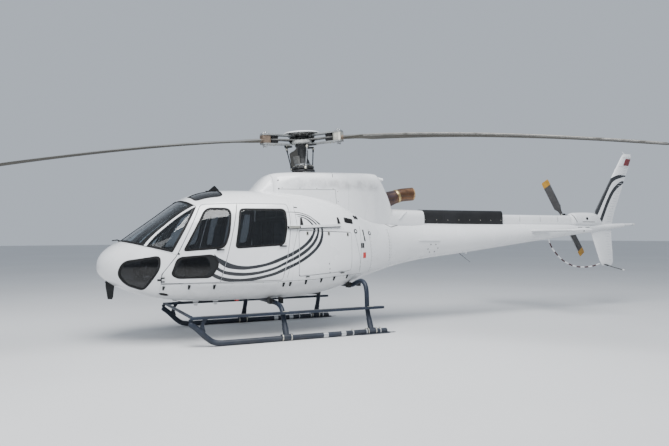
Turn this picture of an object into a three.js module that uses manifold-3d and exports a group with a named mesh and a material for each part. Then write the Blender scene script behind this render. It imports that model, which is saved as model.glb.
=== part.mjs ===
// Light single-engined utility helicopter parked on its skids, in millimetres.
// Station frame while building: X aft from the cargo hook under the rotor mast, Y to starboard, Z up from
// the ground. The whole group is lowered at the end so that the origin is the hook plate's lower face.
import * as THREE from 'three';
import { mergeVertices } from 'three/addons/utils/BufferGeometryUtils.js';
import Module from 'manifold-3d';

const wasm = await Module();
wasm.setup();

// Driving dimensions
const GAP = 0.3;
const ORIGIN_HEIGHT = 550;
const RING_POINTS = 24;

const FRAME_THICKNESS = 55;
const NOSE_THICKNESS = 40;
const DOOR_THICKNESS = 34;
const DOOR_SEAM = 10;
const GLASS_OUTER = 4;
const GLASS_THICKNESS = 6;
const POST_OUTER = 42;
const POST_INNER = 80;

const FLOOR_TOP = 850;
const FLOOR_BOARD = { xLow: -1420, xHigh: -1160, halfWidth: 680, rise: 6 };
const NOSE_JOINT_X = -2540;
const CABIN_REAR_X = -660;
const BOOM_JOINT_X = 1300;

const ROTOR_HUB = [-136, 0, 3080];
const ROTOR_TILT_DEG = 2.8;
const ROTOR_RADIUS = 5345;
const BLADE_AZIMUTHS_DEG = [67.5, 187.5, 307.5];
const BLADE_TIP_DROOP = 600;
const DROOP_POWER = 1.7;

const TAIL_ROTOR_HUB = [5980, 350, 1850];
const TAIL_ROTOR_RADIUS = 930;
const TAIL_ROTOR_ANGLE_DEG = 57;

const SKID_HALF_TRACK = 1087;
const SKID_RADIUS = 40;
const STEP_HALF_WIDTH = 1045;
const STEP_HEIGHT = 400;

// Fuselage sections from nose to tail: station, half-width, top, widest height, bottom, and roundness above
// and below the widest height
const FUSELAGE = [
  { x: -3310, w: 40, top: 1125, mid: 1080, bottom: 1040, nTop: 2.0, nBottom: 2.0 },
  { x: -3290, w: 150, top: 1200, mid: 1080, bottom: 985, nTop: 2.0, nBottom: 2.0 },
  { x: -3230, w: 290, top: 1290, mid: 1085, bottom: 915, nTop: 2.1, nBottom: 2.1 },
  { x: -3120, w: 445, top: 1380, mid: 1090, bottom: 830, nTop: 2.2, nBottom: 2.2 },
  { x: -3000, w: 560, top: 1445, mid: 1100, bottom: 765, nTop: 2.35, nBottom: 2.3 },
  { x: -2770, w: 720, top: 1611, mid: 1120, bottom: 680, nTop: 2.65, nBottom: 2.5 },
  { x: -2540, w: 822, top: 1777, mid: 1130, bottom: 620, nTop: 2.8, nBottom: 2.7 },
  { x: -2190, w: 895, top: 2030, mid: 1145, bottom: 570, nTop: 2.95, nBottom: 2.9 },
  { x: -2050, w: 910, top: 2105, mid: 1150, bottom: 558, nTop: 3.0, nBottom: 3.0 },
  { x: -1850, w: 925, top: 2170, mid: 1150, bottom: 548, nTop: 3.1, nBottom: 3.0 },
  { x: -1600, w: 933, top: 2203, mid: 1150, bottom: 542, nTop: 3.2, nBottom: 3.0 },
  { x: -1040, w: 935, top: 2212, mid: 1150, bottom: 540, nTop: 3.2, nBottom: 3.0 },
  { x: -660, w: 930, top: 2205, mid: 1150, bottom: 540, nTop: 3.2, nBottom: 3.0 },
  { x: -300, w: 905, top: 2180, mid: 1160, bottom: 552, nTop: 3.1, nBottom: 2.9 },
  { x: 0, w: 862, top: 2145, mid: 1180, bottom: 585, nTop: 2.9, nBottom: 2.8 },
  { x: 280, w: 795, top: 2080, mid: 1200, bottom: 640, nTop: 2.8, nBottom: 2.7 },
  { x: 600, w: 700, top: 1950, mid: 1250, bottom: 728, nTop: 2.6, nBottom: 2.5 },
  { x: 900, w: 590, top: 1845, mid: 1290, bottom: 812, nTop: 2.4, nBottom: 2.3 },
  { x: 1200, w: 485, top: 1790, mid: 1335, bottom: 892, nTop: 2.2, nBottom: 2.2 },
  { x: 1510, w: 405, top: 1760, mid: 1370, bottom: 970, nTop: 2.1, nBottom: 2.1 },
  { x: 2100, w: 330, top: 1737, mid: 1406, bottom: 1075, nTop: 2.0, nBottom: 2.0 },
  { x: 3170, w: 265, top: 1730, mid: 1460, bottom: 1190, nTop: 2.0, nBottom: 2.0 },
  { x: 4260, w: 200, top: 1730, mid: 1524, bottom: 1318, nTop: 2.0, nBottom: 2.0 },
  { x: 5350, w: 145, top: 1730, mid: 1585, bottom: 1440, nTop: 2.0, nBottom: 2.0 },
  { x: 6600, w: 75, top: 1730, mid: 1656, bottom: 1582, nTop: 2.0, nBottom: 2.0 },
  { x: 7330, w: 28, top: 1728, mid: 1709, bottom: 1690, nTop: 2.0, nBottom: 2.0 },
];

// Rotor cowl sections: station, half-width, top, roundness. They all start below the deck
const COWL = [
  { x: -1060, w: 290, top: 2190, n: 2.6 },
  { x: -1000, w: 310, top: 2260, n: 2.8 },
  { x: -890, w: 335, top: 2400, n: 3.0 },
  { x: -790, w: 355, top: 2480, n: 3.2 },
  { x: -700, w: 430, top: 2506, n: 3.8 },
  { x: -560, w: 455, top: 2520, n: 4.5 },
  { x: -340, w: 460, top: 2530, n: 5.0 },
  { x: 530, w: 440, top: 2557, n: 5.0 },
  { x: 1000, w: 385, top: 2566, n: 4.6 },
  { x: 1300, w: 335, top: 2566, n: 4.2 },
  { x: 1530, w: 300, top: 2566, n: 4.0 },
];
const COWL_MID = 2080;
const COWL_SIDE_PROFILE = [
  [-1100, 1500], [-1100, 2195], [-1035, 2205], [-820, 2462], [-730, 2500], [-340, 2535], [530, 2562],
  [1140, 2566], [1270, 2512], [1335, 2420], [1400, 2300], [1465, 2140], [1510, 1975], [1515, 1500],
];
const FRONT_COWL_END_X = -762;
const ENGINE_COWL_START_X = 500;

// Doors and windows on the side view: station and height. One table serves both sides
const FRONT_DOOR = [
  [-1985, 1962, 60], [-2340, 1250, 60], [-2537, 990, 40], [-2537, 860, 5],
  [-1750, 860, 5], [-1665, 1165, 400], [-1580, 1510, 400], [-1470, 1985, 5],
];
const REAR_DOOR = [
  [-1470, 1985, 5], [-1580, 1510, 400], [-1665, 1165, 400], [-1750, 860, 5],
  [-820, 860, 30], [-750, 1165, 300], [-680, 1690, 300], [-700, 1985, 50],
];
const FRONT_UPPER_WINDOW = [
  [-1925, 1905, 90], [-1570, 1905, 110], [-1620, 1540, 140], [-1690, 1345, 120], [-2250, 1310, 50],
];
const FRONT_LOWER_WINDOW = [
  [-2330, 1215, 70], [-2410, 985, 50], [-2330, 935, 40],
  [-1880, 935, 60], [-1765, 1120, 80], [-1850, 1250, 60],
];
const REAR_WINDOW = [
  [-1440, 1900, 60], [-745, 1905, 70], [-745, 1640, 100], [-800, 1380, 70], [-1530, 1340, 60],
];
const CHIN_WINDOW = [
  [-3080, 990, 110], [-3010, 1165, 90], [-2560, 1240, 80],
  [-2560, 1080, 70], [-2745, 765, 45], [-2960, 840, 90],
];
const BAGGAGE_DOOR = [
  [-560, 905, 40], [-560, 1590, 40], [395, 1560, 40], [395, 960, 40],
];
const ROOF_WINDOW = [
  [-2080, 290, 60], [-2030, 600, 60], [-1640, 640, 80], [-1640, 230, 80], [-2000, 230, 60],
];

// The windscreen stands on a sloping line round the nose
const SCREEN_BASE = { x: -3020, z: 1430, slope: -0.25 };
const screenBaseHeight = (x) => SCREEN_BASE.z + SCREEN_BASE.slope * (x - SCREEN_BASE.x);
const SCREEN_RIM = 25;
const CORNER_POST_Y = 685;
const POST_HALF = 22;
const POST_DEPTH = 11;

// Materials
const paint = (colour, roughness = 0.35, metalness = 0) =>
  new THREE.MeshStandardMaterial({ color: colour, roughness, metalness });
const WHITE = paint(0xf2f3f4, 0.25);
const CHARCOAL = paint(0x3a3d40, 0.45);
const BLACK = paint(0x141517, 0.6);
const NAVY = paint(0x26303f, 0.45);
const GLASS = paint(0x1b2228, 0.08);
const STEEL = paint(0x8c8f92, 0.4, 0.8);
const BRONZE = paint(0x5a4436, 0.45, 0.8);
const BLADE_GREY = paint(0x8a8c86, 0.5);
const CABIN_GREY = paint(0x4a4d52, 0.8);

// Solids
function solidOf(geometry) {
  const bare = geometry.clone();
  bare.deleteAttribute('normal');
  bare.deleteAttribute('uv');
  const merged = mergeVertices(bare, 1e-4);
  return new wasm.Manifold(new wasm.Mesh({
    numProp: 3,
    vertProperties: new Float32Array(merged.attributes.position.array),
    triVerts: new Uint32Array(merged.index.array),
  }));
}

function geometryOf(solid) {
  const shape = solid.getMesh();
  const geometry = new THREE.BufferGeometry();
  geometry.setAttribute('position', new THREE.BufferAttribute(new Float32Array(shape.vertProperties), 3));
  geometry.setIndex(new THREE.BufferAttribute(new Uint32Array(shape.triVerts), 1));
  geometry.computeVertexNormals();
  return geometry;
}

const joined = (...solids) => solids.reduce((sum, next) => sum.add(next));
const cut = (solid, ...tools) => tools.reduce((rest, tool) => rest.subtract(tool), solid);

function signedVolume(positions, index) {
  const [a, b, c] = [new THREE.Vector3(), new THREE.Vector3(), new THREE.Vector3()];
  let sum = 0;
  for (let i = 0; i < index.length; i += 3) {
    a.fromArray(positions, index[i] * 3);
    b.fromArray(positions, index[i + 1] * 3);
    c.fromArray(positions, index[i + 2] * 3);
    sum += a.dot(b.cross(c));
  }
  return sum;
}

// A closed body through rings of equal length, with a fan over each end
function loft(rings) {
  const count = rings[0].length;
  const positions = rings.flat(2);
  const index = [];
  for (let r = 0; r + 1 < rings.length; r += 1) {
    for (let i = 0; i < count; i += 1) {
      const j = (i + 1) % count;
      const [a, b, c, d] = [r * count + i, r * count + j, (r + 1) * count + j, (r + 1) * count + i];
      index.push(a, b, c, a, c, d);
    }
  }
  for (const [ring, turn] of [[0, 1], [rings.length - 1, -1]]) {
    const centre = positions.length / 3;
    const sum = [0, 1, 2].map((axis) => rings[ring].reduce((s, p) => s + p[axis], 0) / count);
    positions.push(...sum);
    for (let i = 0; i < count; i += 1) {
      const [a, b] = [ring * count + i, ring * count + ((i + 1) % count)];
      index.push(...(turn > 0 ? [centre, b, a] : [centre, a, b]));
    }
  }
  if (signedVolume(positions, index) < 0) {
    for (let i = 0; i < index.length; i += 3) [index[i], index[i + 1]] = [index[i + 1], index[i]];
  }
  const geometry = new THREE.BufferGeometry();
  geometry.setAttribute('position', new THREE.BufferAttribute(new Float32Array(positions), 3));
  geometry.setIndex(index);
  return solidOf(geometry);
}

function at(table, x, key) {
  if (x <= table[0].x) return table[0][key];
  const next = table.findIndex((row) => row.x >= x);
  if (next < 0) return table[table.length - 1][key];
  const [a, b] = [table[next - 1], table[next]];
  return a[key] + ((b[key] - a[key]) * (x - a.x)) / (b.x - a.x);
}

// One rounded section: half-width, top, widest height and bottom, with its upper and lower roundness
function superEllipse(x, { w, top, mid, bottom, nTop, nBottom }, count = RING_POINTS) {
  return Array.from({ length: count }, (_, i) => {
    const angle = (2 * Math.PI * i) / count;
    const [c, s] = [Math.cos(angle), Math.sin(angle)];
    const power = 2 / (s >= 0 ? nTop : nBottom);
    const height = s >= 0 ? top - mid : mid - bottom;
    return [x, w * Math.sign(c) * Math.abs(c) ** power, mid + height * Math.sign(s) * Math.abs(s) ** power];
  });
}

// The fuselage between two stations, drawn in by a skin thickness
function fuselage(from, to, inset = 0) {
  const stations = FUSELAGE.map((row) => row.x).filter((x) => x > from + 1 && x < to - 1);
  const rings = [from, ...stations, to].map((x) => {
    const row = {};
    for (const key of ['w', 'top', 'mid', 'bottom', 'nTop', 'nBottom']) row[key] = at(FUSELAGE, x, key);
    row.w -= inset;
    row.top -= inset;
    row.bottom += inset;
    return superEllipse(x, row);
  });
  return loft(rings);
}

// A skin of the fuselage: everything between two depths below its surface
function skin(from, to, outer, inner) {
  const noseX = FUSELAGE[0].x;
  const reach = 1.4 * inner;
  const outside = fuselage(Math.max(from, noseX + 1.4 * outer), to, outer);
  return cut(outside, fuselage(Math.max(from - 1, noseX + reach + 60), to + 1, inner));
}

// A shape from corners [u, v, corner radius], each corner eased with a curve
function outline(corners) {
  const shape = new THREE.Shape();
  const point = ([u, v]) => new THREE.Vector2(u, v);
  corners.forEach((corner, i) => {
    const here = point(corner);
    const before = point(corners[(i + corners.length - 1) % corners.length]);
    const after = point(corners[(i + 1) % corners.length]);
    const radius = Math.min(corner[2] ?? 0, 0.45 * here.distanceTo(before), 0.45 * here.distanceTo(after));
    const start = here.clone().addScaledVector(before.sub(here).normalize(), radius);
    const end = here.clone().addScaledVector(after.sub(here).normalize(), radius);
    if (i === 0) shape.moveTo(start.x, start.y);
    else shape.lineTo(start.x, start.y);
    if (radius > 0) shape.quadraticCurveTo(here.x, here.y, end.x, end.y);
  });
  shape.closePath();
  return shape;
}

// The same corners moved inwards (positive) or outwards (negative) by a margin
function offset(corners, margin) {
  const area = corners.reduce((s, a, i) => {
    const b = corners[(i + 1) % corners.length];
    return s + a[0] * b[1] - b[0] * a[1];
  }, 0);
  const turn = Math.sign(area);
  const edge = (a, b) => {
    const length = Math.hypot(b[0] - a[0], b[1] - a[1]);
    const [du, dv] = [(b[0] - a[0]) / length, (b[1] - a[1]) / length];
    return { du, dv, u: a[0] - turn * dv * margin, v: a[1] + turn * du * margin };
  };
  return corners.map((corner, i) => {
    const first = edge(corners[(i + corners.length - 1) % corners.length], corner);
    const second = edge(corner, corners[(i + 1) % corners.length]);
    const cross = first.du * second.dv - first.dv * second.du;
    if (Math.abs(cross) < 1e-6) return [second.u, second.v, corner[2]];
    const k = ((second.u - first.u) * second.dv - (second.v - first.v) * second.du) / cross;
    return [first.u + first.du * k, first.v + first.dv * k, Math.max(0, (corner[2] ?? 0) - margin)];
  });
}

// Prisms: a side outline [x, z] over y, a plan outline [x, y] over z
function extruded(corners, depth) {
  return new THREE.ExtrudeGeometry(outline(corners), { depth, bevelEnabled: false, curveSegments: 3 });
}

function sidePrism(corners, yLow, yHigh) {
  return solidOf(extruded(corners, yHigh - yLow).rotateX(Math.PI / 2).translate(0, yHigh, 0));
}

function planPrism(corners, zLow, zHigh) {
  return solidOf(extruded(corners, zHigh - zLow).translate(0, 0, zLow));
}

function box(xLow, xHigh, yLow, yHigh, zLow, zHigh) {
  const geometry = new THREE.BoxGeometry(xHigh - xLow, yHigh - yLow, zHigh - zLow);
  return solidOf(geometry.translate((xLow + xHigh) / 2, (yLow + yHigh) / 2, (zLow + zHigh) / 2));
}

// A prism on one side of the aircraft only
const onSide = (side, corners, near, far) =>
  side < 0 ? sidePrism(corners, -far, -near) : sidePrism(corners, near, far);

// A bar of round or oval section along a bent line
function bar(points, radius, sides = 10, flatness = 1) {
  const line = points.map((p) => new THREE.Vector3(...p));
  const rings = line.map((here, i) => {
    const before = i > 0 ? here.clone().sub(line[i - 1]).normalize() : null;
    const after = i + 1 < line.length ? line[i + 1].clone().sub(here).normalize() : null;
    const along = before && after ? before.clone().add(after).normalize() : (before ?? after);
    const stretch = before && after ? 1 / Math.max(0.5, along.dot(after)) : 1;
    const guide = Math.abs(along.z) > 0.95 ? new THREE.Vector3(1, 0, 0) : new THREE.Vector3(0, 0, 1);
    const across = new THREE.Vector3().crossVectors(guide, along).normalize();
    const up = new THREE.Vector3().crossVectors(along, across).normalize();
    return Array.from({ length: sides }, (_, k) => {
      const angle = (2 * Math.PI * (k + 0.5)) / sides;
      return here.clone().addScaledVector(across, radius * Math.cos(angle))
        .addScaledVector(up, radius * flatness * stretch * Math.sin(angle)).toArray();
    });
  });
  return loft(rings);
}

function turned(profile, segments = 24) {
  const geometry = new THREE.LatheGeometry(profile.map(([r, z]) => new THREE.Vector2(r, z)), segments);
  return solidOf(geometry.rotateX(Math.PI / 2));
}

// Half-thickness of a lifting section along its chord, leading edge to trailing edge
const AIRFOIL = [[0, 0], [0.04, 0.6], [0.15, 0.92], [0.32, 1], [0.6, 0.72], [1, 0.06]];
const AIRFOIL_LOOP = [...AIRFOIL, ...AIRFOIL.slice(1).reverse().map(([c, t]) => [c, -t])];

// A wing, fin or blade from rows of leading edge, trailing edge and half-thickness direction
function wing(rows) {
  return loft(rows.map(({ lead, trail, half }) => AIRFOIL_LOOP.map(([c, t]) =>
    [0, 1, 2].map((k) => lead[k] + (trail[k] - lead[k]) * c + half[k] * t))));
}

// The model
const aircraft = new THREE.Group();
aircraft.position.z = -ORIGIN_HEIGHT;

function piece(name, solid, material, parent = aircraft) {
  const mesh = new THREE.Mesh(geometryOf(solid), material);
  mesh.name = name;
  parent.add(mesh);
  return mesh;
}

const SIDES = [['left', -1], ['right', 1]];
const FAR = 1100;

// Hinge lines of the port doors: pivot points and the knuckle spans, as fractions or heights along them
const KNUCKLE_RADIUS = 9;
const FRONT_HINGE = { x: -2548, y: 845, doorSpans: [[880, 900], [930, 950]], bodySpan: [900, 930] };
const BAGGAGE_HINGE = {
  from: [-560, 925, 888], to: [395, 792, 944], length: 0.03,
  stations: [{ t: 0.15, reach: 40 }, { t: 0.8, reach: 62 }],
};
const mirrored = ([x, y, z], side) => [x, side * y, z];
const inPlane = (points, y = 0) => points.map(([x, z]) => [x, y, z]);
const along = (a, b, t) => a.map((v, k) => v + (b[k] - v) * t);

// Knuckles and straps of a front door, for the door or for the nose
function frontHinge(side, forDoor) {
  const { x, y } = FRONT_HINGE;
  const spans = forDoor ? FRONT_HINGE.doorSpans : [FRONT_HINGE.bodySpan];
  return spans.map(([low, high]) => {
    const [bottom, top] = [low + GAP / 2, high - GAP / 2];
    const [outer, inner] = [y + 8, y - 8];
    const knuckle = bar([[x, side * y, bottom], [x, side * y, top]], KNUCKLE_RADIUS, 12);
    const strap = forDoor
      ? onSide(side, [[x, bottom], [x, top], [-2512, top], [-2512, bottom]], inner, outer)
      : onSide(side, [[x - 8, bottom], [x - 8, top], [x + 6, top], [x + 6, bottom]], 762, outer);
    const foot = onSide(side, [[-2528, bottom], [-2528, top], [-2512, top], [-2512, bottom]], 762, outer);
    return forDoor ? joined(knuckle, strap, foot) : joined(knuckle, strap);
  });
}

// Knuckles and straps along the lower edge of a baggage door
function baggageHinge(side, forDoor, margin = 0) {
  const [from, to] = [mirrored(BAGGAGE_HINGE.from, side), mirrored(BAGGAGE_HINGE.to, side)];
  return BAGGAGE_HINGE.stations.map(({ t, reach }) => {
    const [low, high] = forDoor ? [t, t + BAGGAGE_HINGE.length] : [t - BAGGAGE_HINGE.length, t - 0.0004];
    const middle = along(from, to, (low + high) / 2);
    const [inward, upward] = forDoor ? [reach, 42] : [reach + 6, 2];
    const foot = [middle[0], middle[1] - side * inward, middle[2] + upward];
    const strap = bar([middle, foot], 7 + margin, 8);
    if (margin > 0) return strap;
    return joined(bar([along(from, to, low), along(from, to, high)], KNUCKLE_RADIUS, 12), strap);
  });
}
const noseOutline = [
  [-3400, 400], [-3400, screenBaseHeight(-3400)], [-2385, screenBaseHeight(-2385)], [-2345, 1250],
  [NOSE_JOINT_X, 990], [NOSE_JOINT_X, 400],
];

// Nose shell with a chin window on each side, the lower wire cutter and a probe ahead of the windscreen
const NOSE_REGION = [FUSELAGE[0].x, -2300];
const CHIN_NEAR = 250;
const NOSE_CUTTER = {
  halfWidth: 10,
  corners: [[-3190, 900], [-3190, 800], [-3160, 612], [-3100, 606], [-3070, 795], [-3060, 815]],
};
const PROBE = { radius: 9, line: [[-3055, 1390], [-3058, 1428], [-3070, 1447], [-3110, 1452]] };
function makeNose() {
  const shell = skin(...NOSE_REGION, 0, NOSE_THICKNESS).intersect(sidePrism(noseOutline, -FAR, FAR));
  const holes = SIDES.map(([, side]) => onSide(side, CHIN_WINDOW, CHIN_NEAR, FAR));
  const knuckles = SIDES.flatMap(([, side]) => frontHinge(side, false));
  const cutter = sidePrism(NOSE_CUTTER.corners, -NOSE_CUTTER.halfWidth, NOSE_CUTTER.halfWidth);
  const probe = bar(inPlane(PROBE.line), PROBE.radius, 8);
  piece('nose_shell', joined(cut(shell, ...holes), ...knuckles, cutter, probe), WHITE);
  for (const [label, side] of SIDES) {
    const pane = skin(...NOSE_REGION, GLASS_OUTER, GLASS_OUTER + GLASS_THICKNESS)
      .intersect(onSide(side, offset(CHIN_WINDOW, GAP), CHIN_NEAR, FAR));
    piece(`chin_window_${label}`, pane, GLASS);
  }
}

// Cabin frame: roof with its wire cutter, windscreen posts and door posts
const ROOF_CUTTER = {
  halfWidth: 9, corners: [[-1720, 2186], [-1612, 2288], [-1596, 2290], [-1505, 2186]],
};
const ROOF_SPAN = [1900, 2300];
const SCREEN_POSTS = { xLow: -3060, xHigh: -2000, zLow: 1330 };
const DOOR_POST = [
  [-1790, FLOOR_TOP + GAP], [-1710, FLOOR_TOP + GAP], [-1625, 1165], [-1540, 1510],
  [-1425, 2010], [-1505, 2010], [-1620, 1510], [-1705, 1165],
];
const SIDE_NEAR = 300;
function makeCabinFrame() {
  const region = [
    [-3400, screenBaseHeight(-3400) + GAP], [-2385, screenBaseHeight(-2385) + GAP],
    [-2345, 1250 + GAP], [-2250, 1200], [-2250, FLOOR_TOP + GAP],
    [CABIN_REAR_X - GAP, FLOOR_TOP + GAP], [CABIN_REAR_X - GAP, 2400], [-3400, 2400],
  ];
  const whole = skin(-3310, CABIN_REAR_X - GAP, 0, FRAME_THICKNESS).intersect(sidePrism(region, -FAR, FAR));
  const doorHoles = SIDES.flatMap(([, side]) => [
    onSide(side, offset(FRONT_DOOR, -DOOR_SEAM / 2), SIDE_NEAR, FAR),
    onSide(side, offset(REAR_DOOR, -DOOR_SEAM / 2), SIDE_NEAR, FAR),
  ]);
  const rim = (x) => screenBaseHeight(x) + SCREEN_RIM;
  const screenHole = [
    [-3400, rim(-3400)], [-2405, rim(-2405)], [-2055, 1930], [-2130, 1990], [-2230, 2055], [-3400, 2055],
  ];
  const screenOpening = sidePrism(screenHole, -FAR, FAR);
  const roofHoles = SIDES.map(([, side]) =>
    planPrism(ROOF_WINDOW.map(([x, y, r]) => [x, side * y, r]), ...ROOF_SPAN));
  const inner = skin(-3310, CABIN_REAR_X - GAP, POST_OUTER, POST_INNER);
  const postSkin = skin(-3310, -1900, POST_DEPTH, FRAME_THICKNESS).intersect(sidePrism(region, -FAR, FAR));
  const screenPosts = [-CORNER_POST_Y, 0, CORNER_POST_Y].map((y) =>
    postSkin.intersect(
      box(SCREEN_POSTS.xLow, SCREEN_POSTS.xHigh, y - POST_HALF, y + POST_HALF, SCREEN_POSTS.zLow, ROOF_SPAN[1])));
  const doorPosts = SIDES.map(([, side]) => inner.intersect(onSide(side, DOOR_POST, SIDE_NEAR, FAR)));
  const cutter = sidePrism(ROOF_CUTTER.corners, -ROOF_CUTTER.halfWidth, ROOF_CUTTER.halfWidth);
  const frame = joined(cut(whole, screenOpening, ...roofHoles), ...screenPosts);
  piece('cabin_frame', joined(cut(frame, ...doorHoles), ...doorPosts, cutter), WHITE);
  const sheet = skin(-3310, -1900, GLASS_OUTER, GLASS_OUTER + GLASS_THICKNESS);
  for (const [label, side] of SIDES) {
    piece(`windscreen_${label}`, sheet.intersect(onSide(side, offset(screenHole, GAP), 0.5, FAR)), GLASS);
    const roofPane = skin(-2300, -1400, GLASS_OUTER, GLASS_OUTER + GLASS_THICKNESS)
      .intersect(planPrism(offset(ROOF_WINDOW.map(([x, y, r]) => [x, side * y, r]), GAP), ...ROOF_SPAN));
    piece(`roof_window_${label}`, roofPane, GLASS);
  }
}

// Doors: one skin thick, with their windows cut and glazed
function makeDoors() {
  const panel = skin(-3000, CABIN_REAR_X, 0, DOOR_THICKNESS);
  const glass = skin(-3000, CABIN_REAR_X, GLASS_OUTER, GLASS_OUTER + GLASS_THICKNESS);
  for (const [label, side] of SIDES) {
    const windows = [
      [`front_door_${label}`, 'upper_window', FRONT_UPPER_WINDOW],
      [`front_door_${label}`, 'lower_window', FRONT_LOWER_WINDOW],
      [`rear_door_${label}`, 'window', REAR_WINDOW],
    ];
    for (const [door, corners] of [[`front_door_${label}`, FRONT_DOOR], [`rear_door_${label}`, REAR_DOOR]]) {
      const holes = windows.filter(([owner]) => owner === door)
        .map(([, , glazed]) => onSide(side, glazed, SIDE_NEAR, FAR));
      const leaf = panel.intersect(onSide(side, offset(corners, DOOR_SEAM / 2), SIDE_NEAR, FAR));
      const hinge = corners === FRONT_DOOR ? frontHinge(side, true) : [];
      piece(door, joined(cut(leaf, ...holes), ...hinge), WHITE);
    }
    for (const [door, kind, corners] of windows) {
      piece(`${door}_${kind}`, glass.intersect(onSide(side, offset(corners, GAP), SIDE_NEAR, FAR)), GLASS);
    }
  }
}

// Belly with the cabin floor as its top face, and a raised board on it in front of the bench
function makeBelly() {
  const { xLow, xHigh, halfWidth, rise } = FLOOR_BOARD;
  const hull = fuselage(NOSE_JOINT_X + GAP, CABIN_REAR_X - GAP);
  const belly = hull.intersect(box(NOSE_JOINT_X, CABIN_REAR_X, -FAR, FAR, 0, FLOOR_TOP));
  const board = box(xLow, xHigh, -halfWidth, halfWidth, FLOOR_TOP - rise, FLOOR_TOP + rise);
  piece('belly_floor', joined(belly, board), WHITE);
}

// Rear body: a hold behind a door on each side, the cabin bulkhead in front, the hook plate below
const HOLD = { xLow: -590, xHigh: 420, yInner: 300, zLow: 880, zHigh: 1620, taper: 60, wall: 40 };
const HOOK_PLATE = { halfLength: 150, halfWidth: 110, top: 640 };
function makeRearBody() {
  const hull = fuselage(CABIN_REAR_X, BOOM_JOINT_X - GAP);
  const { halfLength, halfWidth, top } = HOOK_PLATE;
  const hookPlate = box(-halfLength, halfLength, -halfWidth, halfWidth, ORIGIN_HEIGHT, top);
  const { xLow, xHigh, yInner, zLow, zHigh, taper, wall } = HOLD;
  const room = fuselage(CABIN_REAR_X, BOOM_JOINT_X, wall);
  const cavities = SIDES.map(([, side]) => onSide(side, [
    [xLow, zLow], [xLow, zHigh], [xHigh, zHigh - taper], [xHigh, zLow + taper],
  ], yInner, FAR).intersect(room));
  const mouths = SIDES.map(([, side]) => onSide(side, offset(BAGGAGE_DOOR, -DOOR_SEAM / 2), 450, FAR));
  const knuckles = SIDES.flatMap(([, side]) => baggageHinge(side, false));
  const notches = SIDES.flatMap(([, side]) => baggageHinge(side, true, 6));
  const body = cut(joined(hull, hookPlate), ...cavities, ...mouths, ...notches);
  piece('rear_body', joined(body, ...knuckles), WHITE);
  const panel = skin(CABIN_REAR_X, BOOM_JOINT_X, 0, DOOR_THICKNESS);
  for (const [label, side] of SIDES) {
    const leaf = panel.intersect(onSide(side, offset(BAGGAGE_DOOR, DOOR_SEAM / 2), 450, FAR));
    piece(`baggage_door_${label}`, joined(leaf, ...baggageHinge(side, true)), WHITE);
  }
}

// Sliding door rails on the rear body
const RAIL = { corners: [[-740, 1612], [-740, 1648], [185, 1682], [185, 1650]], near: 860, far: 975 };
function makeRails() {
  for (const [label, side] of SIDES) {
    const run = onSide(side, RAIL.corners, RAIL.near, RAIL.far);
    piece(`door_rail_${label}`, cut(run, fuselage(-900, 400, -GAP)), WHITE);
  }
}

// Cowls over the gearbox and engine, open below, with the engine block and its exhaust
const UNDER_COWLS = [-1300, 1700];
const COWL_SKIN = 24;
const COWL_DEPTH = 460;
const COWL_SQUARENESS = 12;
const COWL_POINTS = 20;
const ENGINE_ROOM = { xHigh: 1490, zLow: 1500 };
const ENGINE_COWL_END_X = 1515;
const MAST_HOLE = { x: ROTOR_HUB[0] + 25, radius: 215, z: 2560, height: 400 };
const ENGINE = { xLow: 640, xHigh: 1230, halfWidth: 240, zLow: 2050, zHigh: 2420 };
const ENGINE_FEET = { spans: [[700, 800], [1080, 1180]], halfWidth: 150, zLow: 1700, zHigh: 2100 };
const EXHAUST = {
  radius: 118, wall: 6, start: 2150, bend: [[1420, 2150], [1600, 2185], [1780, 2225]], mouth: [2060, 2250],
  clamp: [[1655, 2197], [1685, 2204]], clampRise: 8, hole: [[1300, 2140], [1700, 2185]], holeMargin: 12,
};
const DRAIN_PIPE = { y: -100, radius: 24, line: [[1200, 2528], [1255, 2510], [1380, 2455]] };

function cowlSolid(from, to, inset = 0) {
  const stations = COWL.map((row) => row.x).filter((x) => x > from + 1 && x < to - 1);
  return loft([from, ...stations, to].map((x) => superEllipse(x, {
    w: at(COWL, x, 'w') - inset,
    top: at(COWL, x, 'top') - inset,
    mid: COWL_MID,
    bottom: COWL_MID - COWL_DEPTH,
    nTop: at(COWL, x, 'n'),
    nBottom: COWL_SQUARENESS,
  }, COWL_POINTS)));
}

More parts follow.
